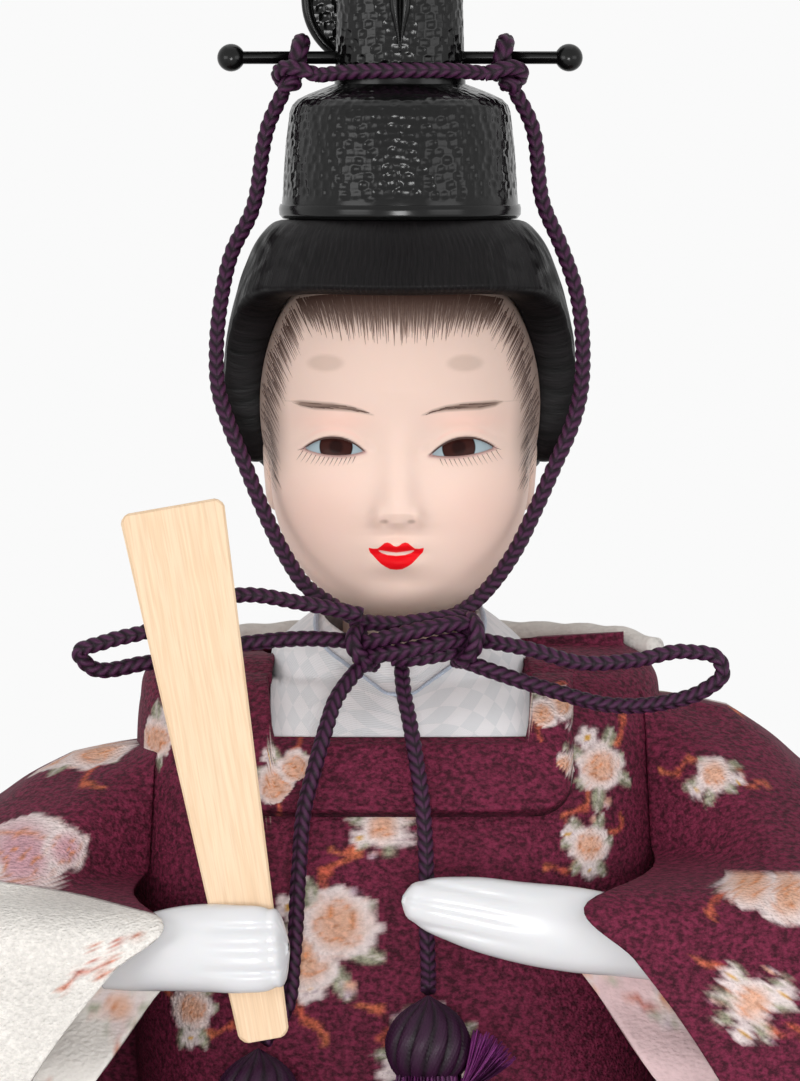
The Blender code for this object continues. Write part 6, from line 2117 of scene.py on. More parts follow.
class Hair(Part):
    """The combed hair, rolled under at its edge."""

    body = "head"

    def __init__(self, finishes: Finishes, sizes: HairSizes, head: Head) -> None:
        """Keep the finishes, the sizes and the head that the hair lies on."""
        super().__init__(finishes)
        self.sizes = sizes
        self.head = head

    def edge_z(self, turn: np.ndarray) -> np.ndarray:
        """Give the lower edge's height by the turn away from the front, in degrees."""
        return table(
            np.abs(turn),
            (0, 52, 62, 70, 77, 82, 86, 89, 92, 110, 125, 140, 160, 180),
            (214.1, 213.9, 213.5, 212.6, 210.6, 206.5, 200.5, 195.0, 192.6, 192.2, 187.0, 181.5, 179.0, 178.6),
        ) * MM

    def outer_radius(self, z: np.ndarray) -> np.ndarray:
        """Give the hair's outer radius at some heights."""
        drop = (self.sizes.top_z - z) / self.sizes.height
        return self.sizes.half * table(
            drop,
            (0.0, 0.055, 0.15, 0.28, 0.44, 0.60, 0.70, 0.82, 0.93, 1.0),
            (0.69, 0.79, 0.88, 0.955, 1.0, 0.985, 0.93, 0.82, 0.65, 0.48),
        )

    def skull_radius(self, turn: np.ndarray, z: np.ndarray) -> np.ndarray:
        """Give the head's radius under the hair at some turns and heights."""
        sizes = self.head.sizes
        best = np.zeros(len(turn))
        for centre, size in ((sizes.skull, sizes.skull_size), (sizes.jaw, sizes.jaw_size)):
            level = np.sqrt(np.clip(1 - ((z - centre[2]) / size[2]) ** 2, 1e-6, 1))
            dx, dy = np.sin(turn) / (size[0] * level), -np.cos(turn) / (size[1] * level)
            oy = (self.sizes.middle_y - centre[1]) / (size[1] * level)
            a, b, c = dx * dx + dy * dy, dy * oy, oy * oy - 1
            best = np.maximum(best, (-b + np.sqrt(np.maximum(b * b - a * c, 0))) / a)
        return np.maximum(best, 8.2 * MM)

    def build(self) -> None:
        """Shape the hair from the crown's rim down and round under its edge."""
        sizes = self.sizes
        columns, rows, under = 420, 120, 26

        def place(across: np.ndarray, along: np.ndarray) -> Points:
            turn = 2 * pi * (across - 0.5)
            turn = turn - 0.30 * np.sin(2 * turn)
            row = np.round(along * rows)
            foot = self.edge_z(np.degrees(turn))
            down = np.clip(row / (rows - under), 0, 1)
            z = sizes.top_z - (sizes.top_z - foot - sizes.roll) * down
            outer = self.outer_radius(z) * (0.62 + 0.38 * smooth_step(0, 0.05, down))
            grooves = 0.11 * MM * np.sin(150 * turn + 1.5 * np.sin(9 * down)) + 0.05 * MM * np.sin(41 * turn + 3 * down)
            outer = outer + grooves * smooth_step(0.05, 0.2, down)
            part = np.clip((row - (rows - under)) / under, 0, 1)
            inner = self.skull_radius(turn, foot) - 0.3 * MM
            rim = self.outer_radius(foot + sizes.roll) + grooves
            thick = np.maximum(rim - inner, 0.6 * MM)
            curl = pi * np.minimum(part, 1)
            radius = np.where(part > 0, inner + thick * (0.5 + 0.5 * np.cos(curl)), outer)
            height = np.where(part > 0, foot + sizes.roll * (1 - 1.0 * np.sin(curl)), z)
            height = np.where(part >= 1, foot + 2.4 * sizes.roll, height)
            return np.stack([
                radius * np.sin(turn), sizes.middle_y - radius * sizes.depth_ratio * np.cos(turn), height
            ], axis=1)

        hair = grid_piece("combed_hair", columns, rows, place, closed=True, outward=Vector((0, 0.002, 0.205)))
        self.finish(hair, self.finishes.hair, "silk_hair", ["hair"])


@dataclass
class CrownSizes:
    """The crown's cap, tower, pin and tail, in metres."""

    middle_y: float = 0.001
    ratio: float = 1.08
    tower_ratio: float = 0.80
    foot_z: float = 0.2247
    dent: float = 1.12 * MM
    dent_depth: float = 0.24 * MM
    pin_z: float = 0.2461
    pin_radius: float = 0.88 * MM
    ball: float = 1.9 * MM
    ball_x: float = 23 * MM


class Crown(Part):
    """The lacquered gauze crown: rim, cap, tower with its crease, pin and standing tail."""

    body = "head"

    def __init__(self, finishes: Finishes, sizes: CrownSizes) -> None:
        """Keep the finishes and the sizes."""
        super().__init__(finishes)
        self.sizes = sizes

    def gauze(self, arc: np.ndarray, height: np.ndarray) -> np.ndarray:
        """Press the gauze's small cells: courses of dents, each course set off from the next.

        Args:
            arc: The distance round the crown.
            height: The distance up it.

        Returns:
            How far in the surface is pressed.
        """
        pitch = self.sizes.dent
        up = height / pitch + 0.16 * np.sin(arc / (2.3 * MM)) + 0.10 * np.sin(arc / (0.9 * MM) + height / (1.7 * MM))
        course = np.floor(up)
        wander = 0.16 * np.sin(course * 2.4 + arc / (3.1 * MM)) + 0.2 * np.sin(course * 7.3)
        across = arc / (pitch * 1.25) + 0.5 * (course % 2) + wander
        cell = np.abs(np.sin(pi * across)) ** 0.4 * np.abs(np.sin(pi * up)) ** 0.4
        uneven = 0.65 + 0.35 * np.sin(course * 5.1 + np.floor(across) * 3.7)
        return self.sizes.dent_depth * cell * uneven

    def turned(
        self, name: str, profile: Sequence[tuple[float, float]], ratio: float, columns: int, rows: int,
        pressed: Callable[[np.ndarray], np.ndarray],
    ) -> bpy.types.Object:
        """Turn a profile and press the gauze into it.

        Args:
            name: The piece's name.
            profile: Radii and heights, from the foot up.
            ratio: Depth over width.
            columns: Steps around.
            rows: Steps along the profile.
            pressed: Gives how deep the dents are at some heights, from 0 to 1.

        Returns:
            The turned piece.
        """
        route = np.array([(radius, 0, z) for radius, z in profile])
        steps = np.concatenate([[0], np.cumsum(np.linalg.norm(np.diff(route, axis=0), axis=1))])

        def place(across: np.ndarray, along: np.ndarray) -> Points:
            away = along * steps[-1]
            radius, z = np.interp(away, steps, route[:, 0]), np.interp(away, steps, route[:, 2])
            turn = 2 * pi * across
            dents = self.gauze(turn * 0.0155 if ratio > 1 else turn * 0.0086, away) * pressed(z)
            radius = np.maximum(radius - dents, 0)
            return np.stack(
                [radius * np.sin(turn), self.sizes.middle_y - ratio * radius * np.cos(turn), z], axis=1
            )

        return grid_piece(name, columns, rows, place, closed=True)

    def build(self) -> None:
        """Make and dress the crown's pieces."""
        self.rim_and_cap()
        self.tower()
        self.pin()
        self.tail()

    def rim_and_cap(self) -> None:
        """Make the smooth rim and the dented cap above it."""
        foot = self.sizes.foot_z / MM
        rim_profile = [
            (14.4, foot - 0.5), (16.0, foot - 0.5), (16.45, foot + 0.05), (16.5, foot + 0.9), (16.35, foot + 1.45), (15.6, foot + 1.6),
            (14.4, foot + 1.6), (14.4, foot - 0.5),
        ]
        rim = self.turned(
            "crown_rim_band", [(r * MM, z * MM) for r, z in rim_profile], self.sizes.ratio, 200, 48,
            lambda z: np.zeros(len(z)),
        )
        self.finish(rim, self.finishes.lacquer, "black_lacquer", ["crown_rim"])
        cap_profile = [
            (15.2, foot + 1.2), (16.1, foot + 1.2), (15.95, 229.0), (15.6, 234.5), (15.1, 238.6), (14.7, 239.7),
            (13.9, 240.5), (12.4, 241.2), (10.6, 241.9), (8.9, 242.55), (6.4, 242.6), (6.4, 241.6), (12.0, 240.2),
            (14.0, 237.0), (15.2, foot + 1.2),
        ]
        cap = self.turned(
            "crown_gauze_cap", [(r * MM, z * MM) for r, z in cap_profile], self.sizes.ratio, 440, 212,
            lambda z: smooth_step(226.6 * MM, 227.6 * MM, z),
        )
        self.finish(cap, self.finishes.lacquer, "black_lacquer", ["crown_cap"])

    def tower(self) -> None:
        """Make the dented tower and the smooth folded crease up its front."""
        profile = [
            (8.0, 242.1), (8.95, 242.1), (8.75, 248.0), (8.6, 256.0), (8.4, 270.8), (8.1, 271.7), (7.2, 272.0), (0, 272.0),
        ]
        tower = self.turned(
            "crown_gauze_tower", [(r * MM, z * MM) for r, z in profile], self.sizes.tower_ratio, 300, 210,
            lambda z: smooth_step(243.4 * MM, 244.4 * MM, z) * smooth_step(271.6 * MM, 270.6 * MM, z),
        )
        self.finish(tower, self.finishes.lacquer, "black_lacquer", ["crown_tower"])

        def place(across: np.ndarray, along: np.ndarray) -> Points:
            spread = 2 * across - 1
            z = 247.0 + 24.4 * along
            narrow = smooth_step(0, 0.28, along) * 0.86 + 0.14
            front = 0.8 * (8.8 - 0.4 * along)
            fold = 0.95 * narrow * (np.sin(pi * np.abs(spread)) ** 0.8)
            return np.stack([1.45 * narrow * spread * MM, (1.0 - front - 0.25 - fold) * MM, z * MM], axis=1)

        crease = grid_piece("crown_front_crease", 28, 60, place, outward=Vector((0, 0.01, 0.26)))
        self.finish(crease, self.finishes.lacquer, "black_lacquer", ["crown_ridge"])

    def pin(self) -> None:
        """Turn the pin with its two ball ends."""
        sizes = self.sizes
        mesh = bmesh.new()
        start = np.arcsin(sizes.pin_radius / sizes.ball)
        outline = [(0.0, sizes.ball_x + sizes.ball)]
        for angle in np.linspace(0, pi - start, 14)[1:]:
            outline.append((sizes.ball * sin(angle), sizes.ball_x + sizes.ball * cos(angle)))
        outline += [(radius, -x) for radius, x in reversed(outline)]
        points = [mesh.verts.new((x, 0, radius)) for radius, x in outline]
        edges = [mesh.edges.new(pair) for pair in zip(points, points[1:])]
        bmesh.ops.spin(
            mesh, geom=points + edges, cent=(0, 0, 0), axis=(1, 0, 0), angle=2 * pi, steps=36, use_merge=True
        )
        bmesh.ops.remove_doubles(mesh, verts=mesh.verts, dist=MERGE)
        bmesh.ops.recalc_face_normals(mesh, faces=mesh.faces)
        bmesh.ops.translate(mesh, vec=(0, sizes.middle_y, sizes.pin_z), verts=mesh.verts)
        data = bpy.data.meshes.new("crown_ball_pin")
        mesh.to_mesh(data)
        mesh.free()
        data.shade_smooth()
        self.finish(link("crown_ball_pin", data), self.finishes.lacquer, "black_lacquer", ["crown_pin"])

    def tail(self) -> None:
        """Roll the tail's rim round its gauze panel."""
        rear = (1.0 + 8.9 * 0.8 + 0.3 + 1.9) * MM
        half, foot, top = 8.8 * MM, 245.2 * MM, 325.0 * MM
        path = []
        gap = 0.59
        for angle in np.linspace(gap - pi / 2, 1.5 * pi - gap, 120):
            middle = top - half if sin(angle) > 0 else foot + half
            path.append((-3.9 * MM + half * cos(angle), rear, middle + half * sin(angle)))
        rim = tube_piece("tail_rolled_rim", even_path(path, 260), 0.8 * MM, 16)
        self.finish(rim, self.finishes.lacquer, "black_lacquer", ["tail_rim"], body="crown_tail")

        def place(across: np.ndarray, along: np.ndarray) -> Points:
            z = (246.0 + 77.7 * along) * MM
            above = np.clip(z - (top - half), 0, None)
            below = np.clip((foot + half) - z, 0, None)
            width = np.sqrt(np.clip((8.5 * MM) ** 2 - np.maximum(above, below) ** 2, 0, None))
            width = np.where(z < foot + half, np.maximum(width, 2.9 * MM), np.maximum(width, 0.4 * MM))
            x = -3.9 * MM + width * (2 * across - 1)
            dents = self.gauze(x + 0.05, z) * 1.2
            return np.stack([x, rear - 0.4 * MM + dents, z], axis=1)

        panel = grid_piece("tail_gauze_panel", 80, 380, place, outward=Vector((0, 0.02, 0.28)))
        thicken(panel, 0.7 * MM)
        self.finish(panel, self.finishes.lacquer, "black_lacquer", ["tail_panel"], body="crown_tail")


@dataclass(frozen=True)
class CordRun:
    """One stretch of the braided cord: its route in metres and how it is held."""

    name: str
    node: str
    route: tuple[tuple[float, float, float], ...]
    lay: str
    far_end: str
    body: str = "head"


CORD_RUNS = (
    CordRun("front_braid", "front_cord", (
        (-0.0113, -0.0036, 0.2437), (-0.0070, -0.0064, 0.2442), (0, -0.0078, 0.2444), (0.0070, -0.0064, 0.2444),
        (0.0113, -0.0036, 0.2440)), "taut", "object"),
    CordRun("right_side_braid", "right_side_cord", (
        (-0.0158, -0.0006, 0.2416), (-0.0176, -0.0014, 0.2378), (-0.0203, -0.0036, 0.2249),
        (-0.0228, -0.0056, 0.2198), (-0.0243, -0.0078, 0.2132), (-0.0249, -0.0096, 0.2068),
        (-0.0246, -0.0108, 0.2010), (-0.0232, -0.0116, 0.1965), (-0.0210, -0.0122, 0.1910),
        (-0.0186, -0.0132, 0.1851), (-0.0158, -0.0152, 0.1793), (-0.0127, -0.0182, 0.1748),
        (-0.0096, -0.0208, 0.1726), (-0.0060, -0.0236, 0.1706)), "hanging", "knot"),
    CordRun("left_side_braid", "left_side_cord", (
        (0.0156, -0.0006, 0.2416), (0.0176, -0.0014, 0.2378), (0.0196, -0.0036, 0.2259),
        (0.0219, -0.0056, 0.2205), (0.0240, -0.0078, 0.2141), (0.0248, -0.0096, 0.2068),
        (0.0244, -0.0108, 0.2003), (0.0231, -0.0116, 0.1958), (0.0210, -0.0122, 0.1910),
        (0.0184, -0.0132, 0.1851), (0.0155, -0.0152, 0.1793), (0.0122, -0.0182, 0.1748),
        (0.0094, -0.0212, 0.1722), (0.0068, -0.0236, 0.1708)), "hanging", "knot"),
    CordRun("right_bow_braid", "right_bow_loop", (
        (-0.0052, -0.0264, 0.1712), (-0.0130, -0.0284, 0.1728), (-0.0212, -0.0298, 0.1740),
        (-0.0341, -0.0306, 0.1691), (-0.0400, -0.0306, 0.1676), (-0.0432, -0.0300, 0.1662),
        (-0.0420, -0.0294, 0.1645), (-0.0341, -0.0290, 0.1648), (-0.0207, -0.0282, 0.1674),
        (-0.0130, -0.0272, 0.1680), (-0.0063, -0.0254, 0.1676)), "loose", "knot"),
    CordRun("left_bow_braid", "left_bow_loop", (
        (0.0094, -0.0252, 0.1680), (0.0174, -0.0276, 0.1666), (0.0245, -0.0292, 0.1648),
        (0.0315, -0.0302, 0.1652), (0.0386, -0.0306, 0.1664), (0.0430, -0.0304, 0.1652),
        (0.0434, -0.0300, 0.1634), (0.0410, -0.0298, 0.1612), (0.0362, -0.0296, 0.1596),
        (0.0286, -0.0290, 0.1591), (0.0204, -0.0284, 0.1611), (0.0128, -0.0274, 0.1635),
        (0.0080, -0.0262, 0.1652)), "loose", "knot"),
    CordRun("right_hanging_braid", "right_hanging_cord", (
        (-0.0042, -0.0256, 0.1652), (-0.0064, -0.0280, 0.1630), (-0.0086, -0.0308, 0.1600),
        (-0.0100, -0.0332, 0.1560), (-0.0113, -0.0350, 0.1515), (-0.0128, -0.0362, 0.1457),
        (-0.0136, -0.0372, 0.1369), (-0.0143, -0.0378, 0.1257), (-0.0152, -0.0392, 0.1190),
        (-0.0183, -0.0410, 0.1143)), "hanging", "object", "torso"),
    CordRun("left_hanging_braid", "left_hanging_cord", (
        (0.0002, -0.0258, 0.1642), (0.0005, -0.0286, 0.1610), (0.0013, -0.0316, 0.1570),
        (0.0021, -0.0340, 0.1524), (0.0030, -0.0358, 0.1462), (0.0035, -0.0368, 0.1385),
        (0.0036, -0.0378, 0.1291), (0.0038, -0.0398, 0.1236), (0.0038, -0.0420, 0.1214)), "hanging", "object", "torso"),
)


class Cords(Part):
    """The round silk braid that ties the crown under the chin, with its knots."""

    body = "head"
    radius = 1.1 * MM
    pitch = 1.5 * MM

    def braid(self, name: str, path: Points, radius: float | None = None) -> bpy.types.Object:
        """Braid one stretch along its path and paint shade and highlight on its strands."""
        size = radius or self.radius
        rope = tube_piece(name, path, size, 32, braid_relief(self.pitch))
        store_colour(rope, braid_colours(rope, path, size, Dye.CORD_DEEP, Dye.CORD_HIGH))
        return rope

    def build(self) -> None:
        """Braid every run and tie the knots."""
        knots = self.knots()
        for run in CORD_RUNS:
            rough = even_path(run.route, 200)
            length = path_length(rough)
            path = even_path(run.route, max(40, int(length / (0.17 * MM))))
            rope = self.braid(run.name, path)
            if run.body == "torso":
                rope.data.materials.append(self.finishes.cord)
                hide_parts(run.node)
                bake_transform(rope)
            else:
                self.finish(rope, self.finishes.cord, "braided_silk", [run.node])

    def knots(self) -> bpy.types.Object:
        """Tie the knot under the chin and the two hitches on the pin.

        Returns:
            The knot under the chin.
        """
        routes = (
            ((-0.0064, -0.0250, 0.1672), (-0.0040, -0.0274, 0.1676), (0.0000, -0.0288, 0.1686),
             (0.0045, -0.0290, 0.1696), (0.0082, -0.0276, 0.1700), (0.0100, -0.0256, 0.1690)),
            ((-0.0058, -0.0250, 0.1655), (-0.0030, -0.0276, 0.1658), (0.0010, -0.0286, 0.1665),
             (0.0052, -0.0284, 0.1674), (0.0090, -0.0262, 0.1680)),
            ((-0.0064, -0.0238, 0.1703), (-0.0030, -0.0254, 0.1700), (0.0000, -0.0264, 0.1700), (0.0030, -0.0268, 0.1704),
             (0.0066, -0.0262, 0.1708), (0.0092, -0.0240, 0.1706)),
            ((0.0084, -0.0236, 0.1706), (0.0096, -0.0262, 0.1704), (0.0104, -0.0282, 0.1688),
             (0.0100, -0.0284, 0.1668), (0.0088, -0.0270, 0.1652), (0.0076, -0.0244, 0.1650)),
            ((-0.0052, -0.0244, 0.1690), (-0.0062, -0.0268, 0.1684), (-0.0062, -0.0282, 0.1668),
             (-0.0050, -0.0276, 0.1652), (-0.0036, -0.0250, 0.1644)),
            ((-0.0010, -0.0262, 0.1652), (0.0026, -0.0272, 0.1654), (0.0062, -0.0268, 0.1660),
             (0.0088, -0.0250, 0.1664)),
        )
        turns = [
            self.braid(f"knot_turn_{k}", even_path(route, 90), 1.15 * MM) for k, route in enumerate(routes)
        ]
        knot = joined("chin_cord_knot", turns)
        self.finish(knot, self.finishes.cord, "braided_silk", ["chin_knot"])
        for word, side in (("right", -1), ("left", 1)):
            x = side * 13.9
            angle = np.linspace(-0.9, 2 * pi - 0.2, 90)
            over = np.stack([
                (x + 0.45 * np.sin(angle)) * MM, (1.0 - 2.1 * np.cos(angle)) * MM, (246.1 + 2.1 * np.sin(angle)) * MM
            ], axis=1)
            lump = even_path([
                (side * px * MM, py * MM, pz * MM) for px, py, pz in (
                    (11.4, -3.6, 243.8), (13.4, -3.5, 244.5), (15.4, -2.6, 244.8), (16.5, -0.8, 244.0),
                    (15.9, 0.7, 242.9), (14.5, -0.4, 242.5), (14.7, -2.2, 242.9), (15.8, -1.2, 242.0),
                )
            ], 110)
            hitch = joined(f"{word}_pin_hitch", [
                self.braid(f"{word}_hitch_over", over, 1.3 * MM), self.braid(f"{word}_hitch_lump", lump, 1.12 * MM)
            ])
            self.finish(hitch, self.finishes.cord, "braided_silk", [f"{word}_pin_knot"])
        return knot


@dataclass(frozen=True)
class TasselSizes:
    """One tassel: its side, the top of its head and how its fringe leans."""

    word: str
    top: tuple[float, float, float]
    head: float = 11 * MM
    radius: float = 5.7 * MM
    tuft: bool = False
    neck: float = 4.2 * MM
    length: float = 34 * MM


class Tassel(Part):
    """One silk tassel: looped head, magenta tie and a fringe of twisted threads."""

    def __init__(self, finishes: Finishes, sizes: TasselSizes) -> None:
        """Keep the finishes and the sizes."""
        super().__init__(finishes)
        self.sizes = sizes

    def build(self) -> None:
        """Make and dress the tassel's pieces."""
        sizes = self.sizes
        top = np.array(sizes.top)
        fringe = self.fringe(top)
        head = self.head(top)
        tassel = joined(f"{sizes.word}_silk_tassel", [head, fringe])
        self.finish(tassel, self.finishes.tassel, "tassel_silk", [f"{sizes.word}_tassel"])
        angle = np.linspace(0, 2 * pi * 3, 160)
        tie = np.stack([
            top[0] + (sizes.neck + 0.4 * MM) * np.cos(angle), top[1] + (sizes.neck + 0.4 * MM) * np.sin(angle),
            top[2] - sizes.head - 0.5 * MM - 0.65 * MM * angle / (2 * pi),
        ], axis=1)
        band = tube_piece(f"{sizes.word}_tassel_tie", tie, 0.42 * MM, 10, braid_relief(0.7 * MM))
        store_colour(band, np.tile(linear(Dye.MAGENTA), (len(band.data.vertices), 1)))
        self.finish(band, self.finishes.tassel, "tassel_silk", [f"{sizes.word}_tassel_band"])

    def head(self, top: Points) -> bpy.types.Object:
        """Shape the head: plied loops of thread gathered over a silk ball, with a painted highlight on the loops' tops.
        """
        sizes = self.sizes

        def place(across: np.ndarray, along: np.ndarray) -> Points:
            radius = table(
                along, (0, 0.06, 0.22, 0.45, 0.70, 0.90, 1.0), (0.02, 0.22, 0.66, 0.95, 1.0, 0.86, 0.70)
            ) * sizes.radius
            turn = 2 * pi * across
            loops = np.abs(np.cos(6.5 * (turn + 0.55 * along))) ** 0.7
            radius = radius * (0.86 + 0.14 * loops) + 0.13 * MM * np.sin(65 * turn + 60 * along) * (along > 0.1)
            return np.stack([
                top[0] + radius * np.cos(turn), top[1] + radius * np.sin(turn), top[2] - sizes.head * along
            ], axis=1)

        head = grid_piece(f"{sizes.word}_tassel_head", 168, 70, place, closed=True, outward=Vector(top) - Vector((0, 0, 0.006)))
        points = vertex_places(head)
        away = np.hypot(points[:, 0] - top[0], points[:, 1] - top[1])
        along = (top[2] - points[:, 2]) / sizes.head
        plain = table(np.clip(along, 0, 1), (0, 0.06, 0.22, 0.45, 0.70, 0.90, 1.0), (0.02, 0.22, 0.66, 0.95, 1.0, 0.86, 0.70))
        # Painted highlight: the outermost points of the loops turn slightly towards magenta.
        share = smooth_step(0.90, 1.0, away / np.maximum(plain * sizes.radius, 1e-6))
        colours = linear(Dye.CORD_DEEP) + (linear(Dye.MAGENTA) - linear(Dye.CORD_DEEP)) * (0.09 * share)[:, None]
        store_colour(head, colours)
        return head

    def fringe(self, top: Points) -> bpy.types.Object:
        """Hang the fringe: fine twisted threads, drawn in at the neck and loose below."""
        sizes = self.sizes
        chance = np.random.default_rng(17)
        start_z = top[2] - sizes.head + 0.4 * MM
        foot_z = top[2] - sizes.length
        part = np.linspace(0, 1, 8)
        paths = []
        for k in range(300):
            depth = ((k + 0.5) / 300) ** 0.5
            spread = np.where(part > 0, 0.6 + 0.4 * depth, 1.0)
            reach = (sizes.neck * (1 - part) ** 2 + sizes.radius * 1.04 * (1 - (1 - part) ** 2)) * depth * spread
            angle = 2.39996 * k + chance.uniform(-0.25, 0.25) * part
            paths.append(np.stack([
                top[0] + reach * np.cos(angle), top[1] + reach * np.sin(angle),
                start_z - (start_z - foot_z) * part * chance.uniform(0.94, 1.0),
            ], axis=1))
        fringe = self.threads("fringe", paths, 0.27 * MM, 0.55)
        return joined(f"{sizes.word}_fringe", [fringe, self.tuft(top)]) if sizes.tuft else fringe

    def tuft(self, top: Points) -> bpy.types.Object:
        """Fan out the short loose threads that spring from under the tie."""
        sizes = self.sizes
        chance = np.random.default_rng(23)
        part = np.linspace(0, 1, 8)
        paths = []
        for _ in range(150):
            lean, depth = chance.uniform(0.25, 1.05), chance.uniform(-1.0, 1.0)
            length = chance.uniform(7.0, 9.4) * MM
            paths.append(np.stack([
                top[0] + sizes.neck * 0.9 + length * part * sin(lean) + 0.8 * MM * part * (1 - part),
                top[1] - 1.2 * MM + (0.5 + 1.9 * part) * depth * MM,
                top[2] - sizes.head - 2.2 * MM + length * (part**1.25) * cos(lean),
            ], axis=1))
        return self.threads("tuft", paths, 0.14 * MM, 1.0, Dye.TUFT_DEEP)

    def threads(
        self, name: str, paths: Sequence[Points], size: float, shine: float, deep: Dye = Dye.CORD_DEEP
    ) -> bpy.types.Object:
        """Spin one twisted thread along each path.

        Args:
            name: What the threads form.
            paths: Each thread's points.
            size: The threads' radius at the root.
            shine: How strongly the brightest are dyed.
            deep: The darkest threads' dye.

        Returns:
            The threads as one mesh object.
        """
        chance = np.random.default_rng(31)
        mesh = bmesh.new()
        shades: list[float] = []
        for k, path in enumerate(paths):
            shade = chance.uniform(0.25, 1.0)
            rows = []
            for level, middle in enumerate(path):
                thin = size * (1 - 0.2 * level / len(path))
                ring = []
                for corner in range(3):
                    spin = 2 * pi * corner / 3 + 2.2 * level + 2.4 * k
                    ring.append(mesh.verts.new(Vector(middle) + Vector((thin * cos(spin), thin * sin(spin), 0))))
                    shades.append(shade)
                rows.append(ring)
            for first, second in zip(rows, rows[1:]):
                for corner in range(3):
                    other = (corner + 1) % 3
                    mesh.faces.new((first[corner], first[other], second[other], second[corner]))
            mesh.faces.new(rows[-1])
        data = bpy.data.meshes.new(f"{self.sizes.word}_{name}")
        mesh.to_mesh(data)
        mesh.free()
        spun = link(f"{self.sizes.word}_{name}", data)
        light = np.array(shades)[:, None]
        store_colour(spun, linear(deep) + (linear(Dye.MAGENTA) - linear(deep)) * light * shine)
        return spun


@dataclass(frozen=True)
class HandSizes:
    """One moulded hand: its wrist, its fingertips, its sections and its fingers."""

    word: str
    wrist: tuple[float, float, float]
    tip: tuple[float, float, float]
    half_height: float
    half_thickness: float
    sections: tuple[tuple[float, float, float, float, float], ...]
    finger_start: float
    groove: float


RIGHT_HAND = HandSizes(
    "right", (-0.0398, -0.0408, 0.1252), (-0.0149, -0.0476, 0.1276), 0.0059, 0.0046,
    ((0.000, 0.000, 0.000, 0.621, 0.696), (0.134, 0.013, 0.015, 0.776, 0.826), (0.317, 0.030, 0.033, 0.914, 1.000),
     (0.541, 0.052, 0.031, 1.000, 0.900), (0.744, 0.088, 0.012, 1.000, 0.565), (0.907, 0.047, 0.001, 0.900, 0.522),
     (0.970, 0.020, 0.000, 0.720, 0.450), (1.000, 0.000, 0.000, 0.180, 0.120)),
    0.50, 0.62 * MM,
)
LEFT_HAND = HandSizes(
    "left", (0.0398, -0.0410, 0.1260), (0.0003, -0.0473, 0.1340), 0.0057, 0.0039,
    ((0.000, 0.000, 0.000, 0.679, 0.821), (0.097, 0.015, 0.006, 0.786, 0.923), (0.224, 0.025, 0.015, 0.911, 1.000),
     (0.403, 0.027, 0.009, 1.000, 1.000), (0.607, 0.021, -0.001, 0.946, 0.923), (0.811, 0.009, 0.000, 0.786, 0.795),
     (0.939, 0.004, 0.000, 0.520, 0.580), (0.985, 0.002, 0.000, 0.300, 0.330), (1.000, 0.000, 0.000, 0.080, 0.080)),
    0.50, 0.34 * MM,
)


class Hand(Part):
    """One glossy moulded hand with simplified fingers."""

    def __init__(self, finishes: Finishes, sizes: HandSizes) -> None:
        """Keep the finishes and the sizes."""
        super().__init__(finishes)
        self.sizes = sizes
        self.body = f"{sizes.word}_hand"

    def build(self) -> None:
        """Shape the hand and its fingers' grooves."""
        sizes = self.sizes
        wrist, tip = np.array(sizes.wrist), np.array(sizes.tip)
        run = tip - wrist
        length = np.linalg.norm(run)
        along_axis = run / length
        upright = np.array([0, 0, 1]) - along_axis * along_axis[2]
        upright /= np.linalg.norm(upright)
        across_axis = np.cross(along_axis, upright)
        if across_axis[1] > 0:
            across_axis = -across_axis
        rows = np.array(sizes.sections)

        def place(across: np.ndarray, along: np.ndarray) -> Points:
            last = np.round(along * 90).astype(int)
            share = np.clip((last - 1) / 88, 0, 1)
            forward, up, tall, thick = (table(share, rows[:, 0], rows[:, k]) for k in range(1, 5))
            turn = 2 * pi * across
            height = sizes.half_height * tall * rounded(np.cos(turn), 2.3)
            width = sizes.half_thickness * thick * rounded(np.sin(turn), 2.3)
            level = height / sizes.half_height
            fingers = smooth_step(sizes.finger_start, sizes.finger_start + 0.25, share)
            grooves = sum(np.exp(-(((level - line) / 0.075) ** 2)) for line in (-0.52, -0.02, 0.48))
            front = smooth_step(-0.2, 0.4, np.sin(turn))
            width = width - sizes.groove * grooves * fingers * front
            closing = ((last == 0) | (last == 90))
            height, width = np.where(closing, 0, height), np.where(closing, 0, width)
            middle = wrist + run * share[:, None]
            middle = middle + np.stack([np.zeros(len(share)), -forward * length, up * length], axis=1)
            return middle + upright * height[:, None] + across_axis * width[:, None]

        hand = grid_piece(f"{sizes.word}_moulded_hand", 72, 90, place, closed=True)
        pieces = [hand]
        if sizes.word == "right":
            thumb_path = even_path([
                (-0.0310, -0.0425, 0.1272), (-0.0270, -0.0412, 0.1290), (-0.0230, -0.0402, 0.1296),
                (-0.0195, -0.0400, 0.1292)], 40)
            pieces.append(tube_piece(
                "thumb", thumb_path, 1.9 * MM, 20,
                lambda angle, along: np.sqrt(np.clip(1 - (np.clip(along - 9.0 * MM, 0, None) / (3.2 * MM)) ** 2, 0.05, 1)),
            ))
        hand = joined(f"{sizes.word}_moulded_hand", pieces)
        self.finish(hand, self.finishes.moulding, "white_moulding", [f"{sizes.word}_hand"])


